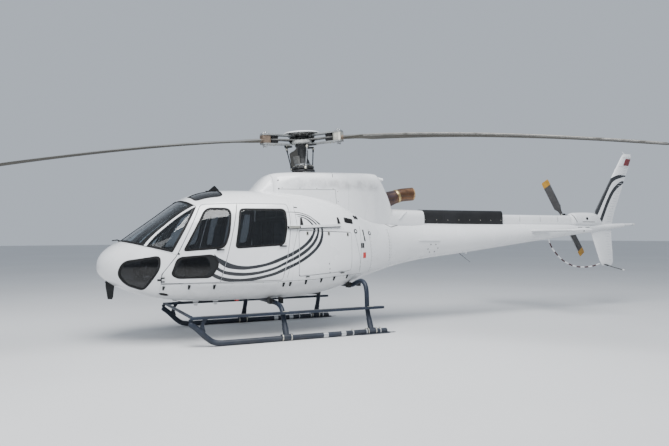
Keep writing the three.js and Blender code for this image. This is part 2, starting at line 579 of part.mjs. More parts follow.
function makeCowls() {
  const deck = fuselage(...UNDER_COWLS, -GAP);
  const sideView = sidePrism(COWL_SIDE_PROFILE, -FAR, FAR);
  const outer = (from, to) => cut(cowlSolid(from, to).intersect(sideView), deck);
  piece('front_cowl', outer(COWL[0].x, FRONT_COWL_END_X - GAP), WHITE);
  const mastHole = solidOf(new THREE.CylinderGeometry(MAST_HOLE.radius, MAST_HOLE.radius, MAST_HOLE.height, 24)
    .rotateX(Math.PI / 2).translate(MAST_HOLE.x, 0, MAST_HOLE.z));
  const gearboxRoom = cowlSolid(FRONT_COWL_END_X + COWL_SKIN, ENGINE_COWL_START_X + 5, COWL_SKIN);
  const gearboxCowl = cut(outer(FRONT_COWL_END_X, ENGINE_COWL_START_X - GAP), gearboxRoom, mastHole);
  piece('gearbox_cowl', gearboxCowl, WHITE);
  const rearInset = offset(COWL_SIDE_PROFILE, COWL_SKIN).map(([x, z]) => [x, Math.max(z, ENGINE_ROOM.zLow)]);
  const pipeHole = bar(inPlane(EXHAUST.hole), EXHAUST.radius + EXHAUST.holeMargin, 16);
  const engineRoom = cowlSolid(ENGINE_COWL_START_X - 5, ENGINE_ROOM.xHigh, COWL_SKIN)
    .intersect(sidePrism(rearInset, -FAR, FAR));
  const engineCowl = cut(outer(ENGINE_COWL_START_X, ENGINE_COWL_END_X), engineRoom, pipeHole);
  const drain = bar(inPlane(DRAIN_PIPE.line, DRAIN_PIPE.y), DRAIN_PIPE.radius, 12);
  piece('engine_cowl', joined(engineCowl, drain), WHITE);
  const { xLow, xHigh, halfWidth, zLow, zHigh } = ENGINE;
  const feet = ENGINE_FEET.spans.map(([low, high]) =>
    box(low, high, -ENGINE_FEET.halfWidth, ENGINE_FEET.halfWidth, ENGINE_FEET.zLow, ENGINE_FEET.zHigh));
  piece('engine', cut(joined(box(xLow, xHigh, -halfWidth, halfWidth, zLow, zHigh), ...feet), deck), STEEL);
  const [mouthX, mouthZ] = EXHAUST.mouth;
  const tubeLine = [[xHigh + GAP, EXHAUST.start], ...EXHAUST.bend, EXHAUST.mouth];
  const boreLine = [[xHigh + 70, EXHAUST.start], ...EXHAUST.bend, [mouthX + 40, mouthZ + 3]];
  const tube = bar(inPlane(tubeLine), EXHAUST.radius, 16);
  const clamp = bar(inPlane(EXHAUST.clamp), EXHAUST.radius + EXHAUST.clampRise, 16);
  const bore = bar(inPlane(boreLine), EXHAUST.radius - EXHAUST.wall, 16);
  piece('exhaust', cut(joined(tube, clamp), bore), BRONZE);
}

// Fairing behind the engine, over the front of the tail rotor drive: station, half-width, top
const DECK_FAIRING = [
  { x: 1516, w: 270, top: 1972 }, { x: 1800, w: 225, top: 1962 }, { x: 2140, w: 165, top: 1955 },
];
function makeDeckFairing() {
  const rings = DECK_FAIRING.map(({ x, w, top }) =>
    superEllipse(x, { w, top, mid: 1740, bottom: 1600, nTop: 3.5, nBottom: 3 }, 16));
  piece('deck_fairing', cut(loft(rings), fuselage(1400, 2400, -GAP)), WHITE);
}

// Fairing over the tail rotor gearbox: station, half-width, top. The margin grows it, to clear the fin
const GEARBOX_FAIRING = [
  { x: 5745, w: 85, top: 1905 }, { x: 5860, w: 118, top: 1955 }, { x: 6200, w: 118, top: 1965 },
  { x: 6400, w: 70, top: 1930 }, { x: 6480, w: 30, top: 1850 },
];
function gearboxFairing(margin) {
  return loft(GEARBOX_FAIRING.map(({ x, w, top }, i) => superEllipse(
    x + (i === 0 ? GAP - margin : margin),
    { w: w + margin, top: top + margin, mid: 1780, bottom: 1690, nTop: 2.6, nBottom: 3 }, 16)));
}

// Tail boom with its lamp and aerials, and the covers over the drive along its top
const TAIL_END_X = 7330;
const TAIL_LAMP = { radius: 17, line: [[7320, 1716], [7600, 1722], [7700, 1722]] };
const BOOM_AERIALS = [
  { radius: 20, line: [[2890, 1280], [2935, 1224]] }, { radius: 6, line: [[2925, 1232], [3258, 1001]] },
  { radius: 20, line: [[3165, 1230], [3165, 1157]] },
];
const SHAFT_COVERS = [
  { name: 'shaft_cover_front', from: 2140, to: 3960, w: 105, top: 1968, material: BLACK },
  { name: 'shaft_cover_rear', from: 3960, to: 5745, w: 80, top: 1898, material: WHITE },
];
const OUTPUT_CASE = { radius: 62, from: 60, to: TAIL_ROTOR_HUB[1] - 115 };
function makeTail() {
  const hull = fuselage(BOOM_JOINT_X, TAIL_END_X);
  const fittings = [TAIL_LAMP, ...BOOM_AERIALS].map(({ radius, line }) => bar(inPlane(line), radius, 8));
  piece('tail_boom', joined(hull, ...fittings), WHITE);
  const boom = fuselage(2000, 6700, -GAP);
  for (const { name, from, to, w, top, material } of SHAFT_COVERS) {
    const rings = [from + GAP, to].map((x) =>
      superEllipse(x, { w, top, mid: 1755, bottom: 1690, nTop: 4, nBottom: 4 }, 12));
    piece(name, cut(loft(rings), boom), material);
  }
  const [x, , z] = TAIL_ROTOR_HUB;
  const outputCase = bar([[x, OUTPUT_CASE.from, z], [x, OUTPUT_CASE.to, z]], OUTPUT_CASE.radius, 12);
  piece('tail_gearbox_fairing', cut(joined(gearboxFairing(0), outputCase), boom), WHITE);
}

// Fins, tailplane and the bowed guard tube under the tail rotor. Fin rows: height, leading edge, trailing
// edge, half-thickness, and how much lower the trailing edge lies
const UPPER_FIN = [
  { z: 1660, lead: 6440, trail: 6965, half: 38, drop: 0 },
  { z: 1990, lead: 6500, trail: 7075, half: 38, drop: 0 },
  { z: 3160, lead: 7290, trail: 7605, half: 26, drop: 0 },
  { z: 3245, lead: 7360, trail: 7590, half: 10, drop: 10 },
];
const LOWER_FIN = [
  { z: 1600, lead: 6335, trail: 6960, half: 34, drop: -60 },
  { z: 930, lead: 6620, trail: 7010, half: 28, drop: -20 },
  { z: 850, lead: 6690, trail: 6960, half: 16, drop: -10 },
];
const FIN_AERIAL = { radius: 9, line: [[7440, 3190], [7339, 3290]] };
const TAIL_SKID = { radius: 13, line: [[6800, 868], [7050, 800], [7350, 735]] };
const TAIL_GUARD = {
  radius: 14,
  line: [[5200, 1449], [5240, 1340], [5310, 1225], [5440, 1095], [5600, 975], [5870, 865], [6130, 832],
    [6390, 842], [6612, 888]],
};
const TAILPLANE = {
  halfSpan: 1265, tip: 40, tipShare: 0.45, lead: { x: 4590, z: 1585 }, trail: { x: 5055, z: 1590 }, half: 30,
};
function makeFins() {
  const hull = fuselage(4000, TAIL_END_X, -GAP);
  const fin = (rows) => wing(rows.map(({ z, lead, trail, half, drop }) =>
    ({ lead: [lead, 0, z], trail: [trail, 0, z - drop], half: [0, half, 0] })));
  const finAerial = bar(inPlane(FIN_AERIAL.line), FIN_AERIAL.radius, 8);
  piece('upper_fin', joined(cut(fin(UPPER_FIN), hull, gearboxFairing(2)), finAerial), WHITE);
  const skidRod = bar(inPlane(TAIL_SKID.line), TAIL_SKID.radius, 8);
  piece('lower_fin', joined(cut(fin(LOWER_FIN), hull), skidRod), WHITE);
  const { halfSpan, tip, tipShare, lead, trail, half } = TAILPLANE;
  for (const [label, side] of SIDES) {
    const rows = [[0, 1], [halfSpan - tip, 1], [halfSpan, tipShare]].map(([y, share]) => ({
      lead: [lead.x, side * y, lead.z], trail: [trail.x, side * y, trail.z], half: [0, 0, half * share],
    }));
    piece(`stabiliser_${label}`, cut(wing(rows), hull), WHITE);
  }
  piece('tail_guard', cut(bar(inPlane(TAIL_GUARD.line), TAIL_GUARD.radius, 8), hull), WHITE);
}

// Tail rotor on the starboard side: hub with its shaft, and one two-bladed rotor
const TAIL_HEAD = {
  shaft: { radius: 32, from: -115, to: -25 }, spider: { radius: 78, from: -80, to: -62 },
  halfLength: 95, halfWidth: 34, halfHeight: 62,
};
const TAIL_SPAR = { halfLength: 110, halfWidth: 16, halfHeight: 24 };
const TAIL_SECTIONS = [  // radius, chord, half-thickness
  { r: 98, chord: 60, half: 15 }, { r: 200, chord: 90, half: 14 }, { r: 290, chord: 185, half: 12 },
  { r: TAIL_ROTOR_RADIUS - 30, chord: 185, half: 9 }, { r: TAIL_ROTOR_RADIUS, chord: 150, half: 6 },
];
const TAIL_TWIST = 0.06;
function makeTailRotor() {
  const rotor = new THREE.Group();
  rotor.position.set(...TAIL_ROTOR_HUB);
  rotor.rotation.y = THREE.MathUtils.degToRad(TAIL_ROTOR_ANGLE_DEG);
  aircraft.add(rotor);
  const { shaft, spider, halfLength, halfWidth, halfHeight } = TAIL_HEAD;
  const spar = TAIL_SPAR;
  const slot = box(-spar.halfLength - 10, spar.halfLength + 10, -spar.halfWidth, spar.halfWidth,
    -spar.halfHeight - GAP, spar.halfHeight + GAP);
  const head = cut(box(-halfLength, halfLength, -halfWidth, halfWidth, -halfHeight, halfHeight), slot);
  const turnedParts = [shaft, spider].map(({ radius, from, to }) =>
    bar([[0, Math.max(from, shaft.from + GAP), 0], [0, to, 0]], radius, 12));
  piece('tail_rotor_hub', joined(head, ...turnedParts), STEEL, rotor);
  const blade = wing(TAIL_SECTIONS.map(({ r, chord, half }) => ({
    lead: [r, -TAIL_TWIST * chord, -0.4 * chord],
    trail: [r, TAIL_TWIST * chord, 0.6 * chord],
    half: [0, half, 0],
  })));
  const root = box(-spar.halfLength, spar.halfLength, -spar.halfWidth + GAP, spar.halfWidth - GAP,
    -spar.halfHeight, spar.halfHeight);
  piece('tail_rotor_blades', joined(blade, blade.rotate([0, 180, 0]), root), CHARCOAL, rotor);
}

// Main rotor on its tilted mast: fixed housing, turning head, three drooping blades with their sleeves.
// Heights here are measured from the hub, along the mast
const droop = (r) => -BLADE_TIP_DROOP * (r / ROTOR_RADIUS) ** DROOP_POWER;
const SLEEVE = { gap: 62, thickness: 22, outline: [
  [250, -60, 20], [250, 60, 20], [700, 85, 10], [900, 80, 20], [900, -80, 20], [700, -85, 10],
] };
const HOUSING = [[0, -750], [190, -750], [190, -560], [175, -545], [190, -520], [190, -470], [0, -470]];
const GEAR_CASE = { ahead: 210, behind: 260, halfWidth: 220, zLow: 2050, zHigh: 2400 };
const MAST = [
  [0, -469.5], [178, -469.5], [178, -430], [120, -410], [100, -330], [82, -300], [82, -120], [120, -100],
  [120, -60], [95, -50], [95, 70], [0, 70],
];
const HUB_CAP = [
  [0, 70 + GAP], [110, 70 + GAP], [120, 95], [235, 100], [300, 130], [300, 150], [285, 160], [180, 165],
  [150, 140], [0, 140],
];
const STAR_ARM = [
  { r: 60, half: 150, thick: 30 }, { r: 240, half: 95, thick: 24 }, { r: 640, half: 75, thick: 22 },
];
const DAMPER = { from: 560, to: 640, halfWidth: 60 };
const PITCH_LINK = {
  foot: [[90, -60, -445], [235, -150, -440]], footRadius: 20, rod: [[235, -150, -452], [300, -190, -100]],
  rodRadius: 11,
};
const BLADE_ROOT = { from: 760, to: 895, halfWidth: 70, rise: 5 };
const PITCH_HORN = { from: 300, to: 420, near: -55, far: -225 };
// Blade sections: radius, chord, half-thickness, pitch in degrees
const BLADE_SECTIONS = [
  { r: 820, chord: 150, half: 32, pitch: 0 }, { r: 960, chord: 190, half: 30, pitch: 4 },
  { r: 1180, chord: 350, half: 21, pitch: 7 }, { r: 1900, chord: 350, half: 21, pitch: 6 },
  { r: 2700, chord: 350, half: 21, pitch: 4 }, { r: 3500, chord: 350, half: 20, pitch: 3 },
  { r: 4300, chord: 350, half: 19, pitch: 1 }, { r: 5100, chord: 350, half: 17, pitch: 0 },
  { r: ROTOR_RADIUS - 20, chord: 345, half: 16, pitch: -1 },
  { r: ROTOR_RADIUS, chord: 300, half: 5, pitch: -1 },
];

function bladeSolid() {
  const blade = wing(BLADE_SECTIONS.map(({ r, chord, half, pitch }) => {
    const turn = THREE.MathUtils.degToRad(pitch);
    const [c, s] = [Math.cos(turn), Math.sin(turn)];
    return {
      lead: [r, -0.3 * chord * c, droop(r) + 0.3 * chord * s],
      trail: [r, 0.7 * chord * c, droop(r) - 0.7 * chord * s],
      half: [0, half * s, half * c],
    };
  }));
  const plates = [SLEEVE.gap, -SLEEVE.gap - SLEEVE.thickness].map((zLow) =>
    planPrism(SLEEVE.outline, zLow, zLow + SLEEVE.thickness));
  const { from, to, halfWidth, rise } = BLADE_ROOT;
  const root = box(from, to, -halfWidth, halfWidth, -SLEEVE.gap - rise, SLEEVE.gap + rise);
  const horn = box(PITCH_HORN.from, PITCH_HORN.to, PITCH_HORN.far, PITCH_HORN.near,
    -SLEEVE.gap - SLEEVE.thickness, -SLEEVE.gap);
  return joined(blade, ...plates, root, horn);
}

function makeMainRotor() {
  const head = new THREE.Group();
  head.position.set(...ROTOR_HUB);
  head.rotation.y = -THREE.MathUtils.degToRad(ROTOR_TILT_DEG);
  aircraft.add(head);
  const housing = turned(HOUSING).rotate([0, -ROTOR_TILT_DEG, 0]).translate(ROTOR_HUB);
  const gearCase = box(ROTOR_HUB[0] - GEAR_CASE.ahead, ROTOR_HUB[0] + GEAR_CASE.behind, -GEAR_CASE.halfWidth,
    GEAR_CASE.halfWidth, GEAR_CASE.zLow, GEAR_CASE.zHigh);
  piece('main_gearbox', cut(joined(housing, gearCase), fuselage(...UNDER_COWLS, -GAP)), BLACK);
  const arms = BLADE_AZIMUTHS_DEG.map((degrees) => {
    const arm = loft(STAR_ARM.map(({ r, half, thick }) => [
      [r, -half, -thick], [r, half, -thick], [r, half, thick], [r, -half, thick]]));
    const damper = box(DAMPER.from, DAMPER.to, -DAMPER.halfWidth, DAMPER.halfWidth, -SLEEVE.gap + GAP,
      SLEEVE.gap - GAP);
    return joined(arm, damper).rotate([0, 0, degrees]);
  });
  const links = BLADE_AZIMUTHS_DEG.map((degrees) => joined(
    bar(PITCH_LINK.foot, PITCH_LINK.footRadius, 8), bar(PITCH_LINK.rod, PITCH_LINK.rodRadius, 8),
  ).rotate([0, 0, degrees]));
  piece('rotor_head', joined(turned(MAST), ...arms, ...links), STEEL, head);
  piece('hub_cap', turned(HUB_CAP), WHITE, head);
  const blade = bladeSolid();
  BLADE_AZIMUTHS_DEG.forEach((degrees, i) => {
    const mesh = piece(`main_blade_${i + 1}`, blade, BLADE_GREY, head);
    mesh.rotation.z = THREE.MathUtils.degToRad(degrees);
  });
}

// Skid gear: two skids, two bowed cross tubes, two long steps and the bar between the skid fronts
const CROSS_TUBE_RADIUS = 36;
const CROSS_TUBES = [
  { name: 'front_cross_tube', x: -825,
    half: [[560, 505], [700, 500], [830, 470], [905, 420], [945, 330], [1000, 220], [1080, 50]] },
  { name: 'rear_cross_tube', x: 560,
    half: [[430, 700], [600, 760], [760, 800], [880, 760], [930, 660], [940, 520], [945, 380], [1005, 220],
      [1080, 50]] },
];
const SKID_LINE = [
  [-2215, 1048, 332], [-2120, 1056, 262], [-1990, 1072, 130], [-1900, 1082, 62],
  [-1800, SKID_HALF_TRACK, SKID_RADIUS], [830, SKID_HALF_TRACK, SKID_RADIUS],
];
const WEAR_PLATE = { xLow: 330, xHigh: 880, halfWidth: 55, top: 30 };
const SPRING_STRIP = { xLow: 860, xHigh: 975, halfWidth: 22, bottom: 2, top: 10 };
const SKID_CLAMPS = { stations: [232, 463, 702], rise: 5, halfLength: 8 };
const STEP = { xLow: -2200, xHigh: 800, halfWidth: 50, halfHeight: 22 };
const STEP_BRACKET = { halfLength: 30, halfHeight: 14, near: 945 };
const GUSSET = {
  halfWidth: 6,
  corners: [[-2225, STEP_HEIGHT - 22 - GAP], [-2205, 300], [-2020, 185], [-1985, 190], [-2020, 300],
    [-1950, STEP_HEIGHT - 22 - GAP]],
};
const CROSS_BAR = { x: -2170, radius: 22 };
const SKID_SEAT = { halfLength: 80, halfWidth: 120 };

function crossTube({ x, half }, radius) {
  const right = half.map(([y, z]) => [x, y, z]);
  return bar([...right.map(([a, y, z]) => [a, -y, z]).reverse(), ...right], radius, 10);
}

function skidSolid(side) {
  const y = side * SKID_HALF_TRACK;
  const tube = bar(SKID_LINE.map((point) => mirrored(point, side)), SKID_RADIUS, 10);
  const plate = box(WEAR_PLATE.xLow, WEAR_PLATE.xHigh, y - WEAR_PLATE.halfWidth, y + WEAR_PLATE.halfWidth, 0,
    WEAR_PLATE.top);
  const strip = box(SPRING_STRIP.xLow, SPRING_STRIP.xHigh, y - SPRING_STRIP.halfWidth,
    y + SPRING_STRIP.halfWidth, SPRING_STRIP.bottom, SPRING_STRIP.top);
  const clamps = SKID_CLAMPS.stations.map((x) => bar([[x - SKID_CLAMPS.halfLength, y, SKID_RADIUS],
    [x + SKID_CLAMPS.halfLength, y, SKID_RADIUS]], SKID_RADIUS + SKID_CLAMPS.rise, 10)
    .intersect(box(x - 20, x + 20, y - 60, y + 60, 0, 100)));
  const gusset = onSide(side, GUSSET.corners, STEP_HALF_WIDTH - GUSSET.halfWidth,
    STEP_HALF_WIDTH + GUSSET.halfWidth);
  return joined(tube, plate, strip, ...clamps, gusset);
}

function stepSolid(side) {
  const [near, far] = [STEP_HALF_WIDTH - STEP.halfWidth, STEP_HALF_WIDTH + STEP.halfWidth];
  const board = planPrism([[STEP.xLow, side * near, 10], [STEP.xLow, side * far, 20],
    [STEP.xHigh, side * far, 20], [STEP.xHigh, side * near, 10]], STEP_HEIGHT - STEP.halfHeight,
  STEP_HEIGHT + STEP.halfHeight);
  const { halfLength, halfHeight } = STEP_BRACKET;
  const brackets = CROSS_TUBES.map((row) => cut(onSide(side, [
    [row.x - halfLength, STEP_HEIGHT - halfHeight], [row.x - halfLength, STEP_HEIGHT + halfHeight],
    [row.x + halfLength, STEP_HEIGHT + halfHeight], [row.x + halfLength, STEP_HEIGHT - halfHeight],
  ], STEP_BRACKET.near, near + 5), crossTube(row, CROSS_TUBE_RADIUS + GAP)));
  return joined(board, ...brackets);
}

function makeSkidGear() {
  for (const [label, side] of SIDES) {
    piece(`skid_${label}`, skidSolid(side), NAVY);
    piece(`step_${label}`, stepSolid(side), NAVY);
  }
  const barY = STEP_HALF_WIDTH - STEP.halfWidth - GAP;
  const crossBar = bar(
    [[CROSS_BAR.x, -barY, STEP_HEIGHT], [CROSS_BAR.x, barY, STEP_HEIGHT]], CROSS_BAR.radius, 8);
  piece('front_cross_bar', crossBar, NAVY);
  const hull = fuselage(-2300, 1300, -GAP);
  for (const row of CROSS_TUBES) {
    const seats = SIDES.map(([, side]) => box(row.x - SKID_SEAT.halfLength, row.x + SKID_SEAT.halfLength,
      side * SKID_HALF_TRACK - SKID_SEAT.halfWidth, side * SKID_HALF_TRACK + SKID_SEAT.halfWidth, 0,
      2 * SKID_RADIUS + GAP));
    piece(row.name, cut(crossTube(row, CROSS_TUBE_RADIUS), hull, ...seats), NAVY);
  }
}

// Seats, rear bench and instrument panel seen through the windows
const FRONT_SEAT = {
  y: 430, halfWidth: 240, xLow: -1960, xHigh: -1500, top: 1170,
  back: { thickness: 90, width: 460, height: 760, lean: 0.2, x: -1430, z: 1480 },
};
const BENCH = {
  cushion: [-1140, -760, -780, 780, FLOOR_TOP + GAP, 1150], back: [-760, -690, -740, 740, 1000, 1780],
};
const COCKPIT = {
  pedestal: [-2560, -2200, -150, 150, FLOOR_TOP + GAP, 1120], panel: [-2640, -2480, -330, 330, 1080, 1400],
};
function makeCabin() {
  for (const [label, side] of SIDES) {
    const { halfWidth, xLow, xHigh, top, back } = FRONT_SEAT;
    const y = side * FRONT_SEAT.y;
    const cushion = box(xLow, xHigh, y - halfWidth, y + halfWidth, FLOOR_TOP + GAP, top);
    const backrest = solidOf(new THREE.BoxGeometry(back.thickness, back.width, back.height).rotateY(back.lean)
      .translate(back.x, y, back.z));
    piece(`front_seat_${label}`, joined(cushion, backrest), CABIN_GREY);
  }
  piece('rear_bench', joined(box(...BENCH.cushion), box(...BENCH.back)), CABIN_GREY);
  piece('instrument_panel', joined(box(...COCKPIT.pedestal), box(...COCKPIT.panel)), CABIN_GREY);
}

makeNose();
makeCabinFrame();
makeDoors();
makeBelly();
makeRearBody();
makeRails();
makeCowls();
makeDeckFairing();
makeTail();
makeFins();
makeTailRotor();
makeMainRotor();
makeSkidGear();
makeCabin();

export default aircraft;
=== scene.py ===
# %% [markdown]
# This lesson dresses a light single-engined helicopter that stands on its skids.
# A packed construction model gives every piece its place. What follows gives the pieces
# their curved skins, paint, glass, rubber, metal and cloth.
# All sizes are in metres. Heights are measured from the ground, because that is how such
# a machine is drawn, and one helper lowers the finished pieces into the model's own frame.

# %% Load the frame and the tools
import math

import bpy
import numpy as np
from mathutils import Matrix, Vector
from mathutils.geometry import delaunay_2d_cdt


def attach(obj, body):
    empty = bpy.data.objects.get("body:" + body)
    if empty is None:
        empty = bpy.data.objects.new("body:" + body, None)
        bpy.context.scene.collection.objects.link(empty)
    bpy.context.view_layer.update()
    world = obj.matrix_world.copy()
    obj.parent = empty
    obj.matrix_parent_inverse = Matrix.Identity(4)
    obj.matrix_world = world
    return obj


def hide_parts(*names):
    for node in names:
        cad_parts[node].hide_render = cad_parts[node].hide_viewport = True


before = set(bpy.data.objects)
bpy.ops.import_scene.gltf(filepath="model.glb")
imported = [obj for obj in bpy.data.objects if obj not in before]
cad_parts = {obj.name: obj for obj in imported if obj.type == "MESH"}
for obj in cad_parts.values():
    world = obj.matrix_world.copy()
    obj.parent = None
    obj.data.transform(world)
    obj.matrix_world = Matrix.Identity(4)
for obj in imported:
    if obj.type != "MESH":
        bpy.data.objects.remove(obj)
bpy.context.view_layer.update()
GROUND = -0.55
print("construction nodes:", len(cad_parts))

# %% [markdown]
# The camera stands where the photographer stood, at eye height on the port side, ahead of the
# machine. Its place was solved from the machine's known sizes, so a lens and a direction are
# enough: no frame has to be shifted or cropped.

# %% Camera
PHOTO_WIDTH = 669
PHOTO_HEIGHT = 446
FOCAL_PIXELS = 620.964
HORIZON_ROW = 235.9766
CAMERA_PLACE = Vector((-3.9993, -9.4954, 0.9535))
CAMERA_YAW = 0.4383
CAMERA_ROLL = -0.0053
SENSOR_WIDTH = 36.0


def make_camera():
    tilt = math.atan2(HORIZON_ROW - PHOTO_HEIGHT / 2, FOCAL_PIXELS)
    right = Vector((math.cos(CAMERA_YAW), -math.sin(CAMERA_YAW), 0))
    level = Vector((math.sin(CAMERA_YAW), math.cos(CAMERA_YAW), 0))
    forward = level * math.cos(tilt) + Vector((0, 0, math.sin(tilt)))
    up = right.cross(forward)
    turned_right = right * math.cos(CAMERA_ROLL) + up * math.sin(CAMERA_ROLL)
    turned_up = up * math.cos(CAMERA_ROLL) - right * math.sin(CAMERA_ROLL)
    data = bpy.data.cameras.new("camera")
    data.sensor_width = SENSOR_WIDTH
    data.lens = FOCAL_PIXELS * SENSOR_WIDTH / PHOTO_WIDTH
    data.clip_end = 400
    camera = bpy.data.objects.new("camera", data)
    axes = Matrix((turned_right, turned_up, -forward)).transposed().to_4x4()
    camera.matrix_world = Matrix.Translation(CAMERA_PLACE) @ axes
    bpy.context.scene.collection.objects.link(camera)
    bpy.context.scene.camera = camera
    return data


print("lens %.2f mm" % make_camera().lens)

# %% [markdown]
# Materials are node graphs. Blender can mix them from a handful of patterns, and the same
# patterns come back on every finish: a slow change of tone, soil that gathers low down, fine
# grain, scratches and worn patches. Each pattern is a node group with named inputs, built once.
# The first two helpers add nodes in one line each, which keeps the graphs readable.


# %% Helpers for node graphs
def add(tree, kind, inputs=None, **settings):
    """One node, with its settings and its inputs: a socket is linked, anything else is a value."""
    node = tree.nodes.new(kind)
    for key, value in settings.items():
        setattr(node, key, value)
    for key, value in (inputs or {}).items():
        if isinstance(value, bpy.types.NodeSocket):
            tree.links.new(value, node.inputs[key])
        else:
            node.inputs[key].default_value = value
    return node


def math_node(tree, operation, a, b=0.0, clamp=False):
    return add(tree, "ShaderNodeMath", {0: a, 1: b}, operation=operation, use_clamp=clamp).outputs[0]


def times(tree, a, b, clamp=False):
    return math_node(tree, "MULTIPLY", a, b, clamp)


def plus(tree, a, b, clamp=False):
    return math_node(tree, "ADD", a, b, clamp)


def mix_colours(tree, factor, a, b):
    node = add(tree, "ShaderNodeMix", {0: factor, 6: a, 7: b}, data_type="RGBA")
    return node.outputs[2]


def ramp(tree, value, low, high):
    """0 below low, 1 above high, eased in between."""
    inputs = {"Value": value, "From Min": low, "From Max": high}
    node = add(tree, "ShaderNodeMapRange", inputs, interpolation_type="SMOOTHSTEP")
    return node.outputs["Result"]


def shader_group(name, inputs, outputs):
    tree = bpy.data.node_groups.new(name, "ShaderNodeTree")
    for label, kind, value in inputs:
        socket = tree.interface.new_socket(label, in_out="INPUT", socket_type=kind)
        socket.default_value = value
    for label, kind in outputs:
        tree.interface.new_socket(label, in_out="OUTPUT", socket_type=kind)
    return tree, tree.nodes.new("NodeGroupInput"), tree.nodes.new("NodeGroupOutput")


FLOAT = "NodeSocketFloat"
VECTOR = "NodeSocketVector"

# %% [markdown]
# Each pattern is a group of a few nodes with one mask or height as its output. Painting such marks
# into an image would tie them to one size. Noise on Object coordinates stays sharp at any distance.


# %% Pattern groups
def build_tone():
    """A slow, cloudy change between 0 and 1, as in paint or cast metal."""
    tree, given, out = shader_group("cloudy_tone", [("Place", VECTOR, (0, 0, 0)), ("Scale", FLOAT, 3.0)],
                                    [("Tone", FLOAT)])
    noise = add(tree, "ShaderNodeTexNoise", {"Vector": given.outputs["Place"],
                "Scale": given.outputs["Scale"], "Detail": 4.0, "Roughness": 0.6})
    tree.links.new(ramp(tree, noise.outputs["Fac"], 0.3, 0.7), out.inputs["Tone"])
    return tree


def build_soil():
    """A mask of dust and splashes: strongest below Low, gone above High, broken by noise."""
    inputs = [("Place", VECTOR, (0, 0, 0)), ("Low", FLOAT, 0.0), ("High", FLOAT, 1.0),
              ("Scale", FLOAT, 9.0), ("Amount", FLOAT, 0.3)]
    tree, given, out = shader_group("soil", inputs, [("Mask", FLOAT)])
    height = add(tree, "ShaderNodeSeparateXYZ", {0: given.outputs["Place"]}).outputs["Z"]
    fade = ramp(tree, height, given.outputs["High"], given.outputs["Low"])
    noise = add(tree, "ShaderNodeTexNoise", {"Vector": given.outputs["Place"],
                "Scale": given.outputs["Scale"], "Detail": 6.0, "Roughness": 0.65})
    blotch = ramp(tree, noise.outputs["Fac"], 0.35, 0.75)
    even = plus(tree, times(tree, blotch, 0.7), 0.3)
    mask = times(tree, times(tree, fade, even), given.outputs["Amount"], True)
    tree.links.new(mask, out.inputs["Mask"])
    return tree


def build_grain():
    """A height for a Bump node: fine pores, a little like moulded plastic or sprayed paint."""
    tree, given, out = shader_group("fine_grain", [("Place", VECTOR, (0, 0, 0)), ("Scale", FLOAT, 300.0)],
                                    [("Height", FLOAT)])
    noise = add(tree, "ShaderNodeTexNoise", {"Vector": given.outputs["Place"],
                "Scale": given.outputs["Scale"], "Detail": 3.0})
    cells = add(tree, "ShaderNodeTexVoronoi", {"Vector": given.outputs["Place"],
                "Scale": given.outputs["Scale"]})
    height = plus(tree, noise.outputs["Fac"],
                       times(tree, cells.outputs["Distance"], 0.5))
    tree.links.new(height, out.inputs["Height"])
    return tree


def build_scratches():
    """A mask of thin streaks along the direction in which the place is squeezed."""
    inputs = [("Place", VECTOR, (0, 0, 0)), ("Stretch", VECTOR, (2, 60, 60)), ("Cover", FLOAT, 0.4)]
    tree, given, out = shader_group("scratches", inputs, [("Mask", FLOAT)])
    place = add(tree, "ShaderNodeVectorMath", {0: given.outputs["Place"], 1: given.outputs["Stretch"]},
                operation="MULTIPLY").outputs[0]
    noise = add(tree, "ShaderNodeTexNoise", {"Vector": place, "Scale": 1.0, "Detail": 5.0,
                "Roughness": 0.7}).outputs["Fac"]
    edge = math_node(tree, "SUBTRACT", 1.0, given.outputs["Cover"])
    mask = ramp(tree, noise, times(tree, edge, 0.85), edge)
    tree.links.new(mask, out.inputs["Mask"])
    return tree


def build_weave():
    """The over-and-under height of a plain weave, and the same as a mask for the yarns' colour."""
    tree, given, out = shader_group("plain_weave", [("Place", VECTOR, (0, 0, 0)),
                                                    ("Threads", FLOAT, 500.0)],
                                    [("Height", FLOAT)])
    parts = add(tree, "ShaderNodeSeparateXYZ", {0: given.outputs["Place"]})
    across = plus(tree, parts.outputs["X"], times(tree, parts.outputs["Z"], 0.7))
    warp = math_node(tree, "SINE", times(tree, across, given.outputs["Threads"]))
    weft = math_node(tree, "SINE", times(tree, parts.outputs["Y"], given.outputs["Threads"]))
    over = times(tree, warp, weft)
    tree.links.new(plus(tree, times(tree, over, 0.5), 0.5), out.inputs["Height"])
    return tree


GROUPS = {"tone": build_tone(), "soil": build_soil(), "grain": build_grain(),
          "scratches": build_scratches(), "weave": build_weave()}
print("shader groups:", ", ".join(tree.name for tree in GROUPS.values()))

# %% [markdown]
# Most of the machine's finishes differ only in numbers: a base colour, how far its tone drifts,
# how much soil lies on it, how glossy it is and what shows where it is worn. One function builds
# them all from those numbers. Gloss, coat and metal that are even over the surface are set on the
# shader's own sockets, so that they survive the export.


# %% The general finish
def use_group(tree, key, inputs):
    node = tree.nodes.new("ShaderNodeGroup")
    node.node_tree = GROUPS[key]
    for label, value in inputs.items():
        if isinstance(value, bpy.types.NodeSocket):
            tree.links.new(value, node.inputs[label])
        else:
            node.inputs[label].default_value = value
    return node.outputs[0]


def rgba(colour):
    return (*colour, 1.0)


def blank_material(name):
    material = bpy.data.materials.new(name)
    material.use_nodes = True
    tree = material.node_tree
    shader = tree.nodes["Principled BSDF"]
    place = tree.nodes.new("ShaderNodeTexCoord").outputs["Object"]
    return material, tree, shader, place


SOIL_COLOUR = (0.2, 0.185, 0.16)


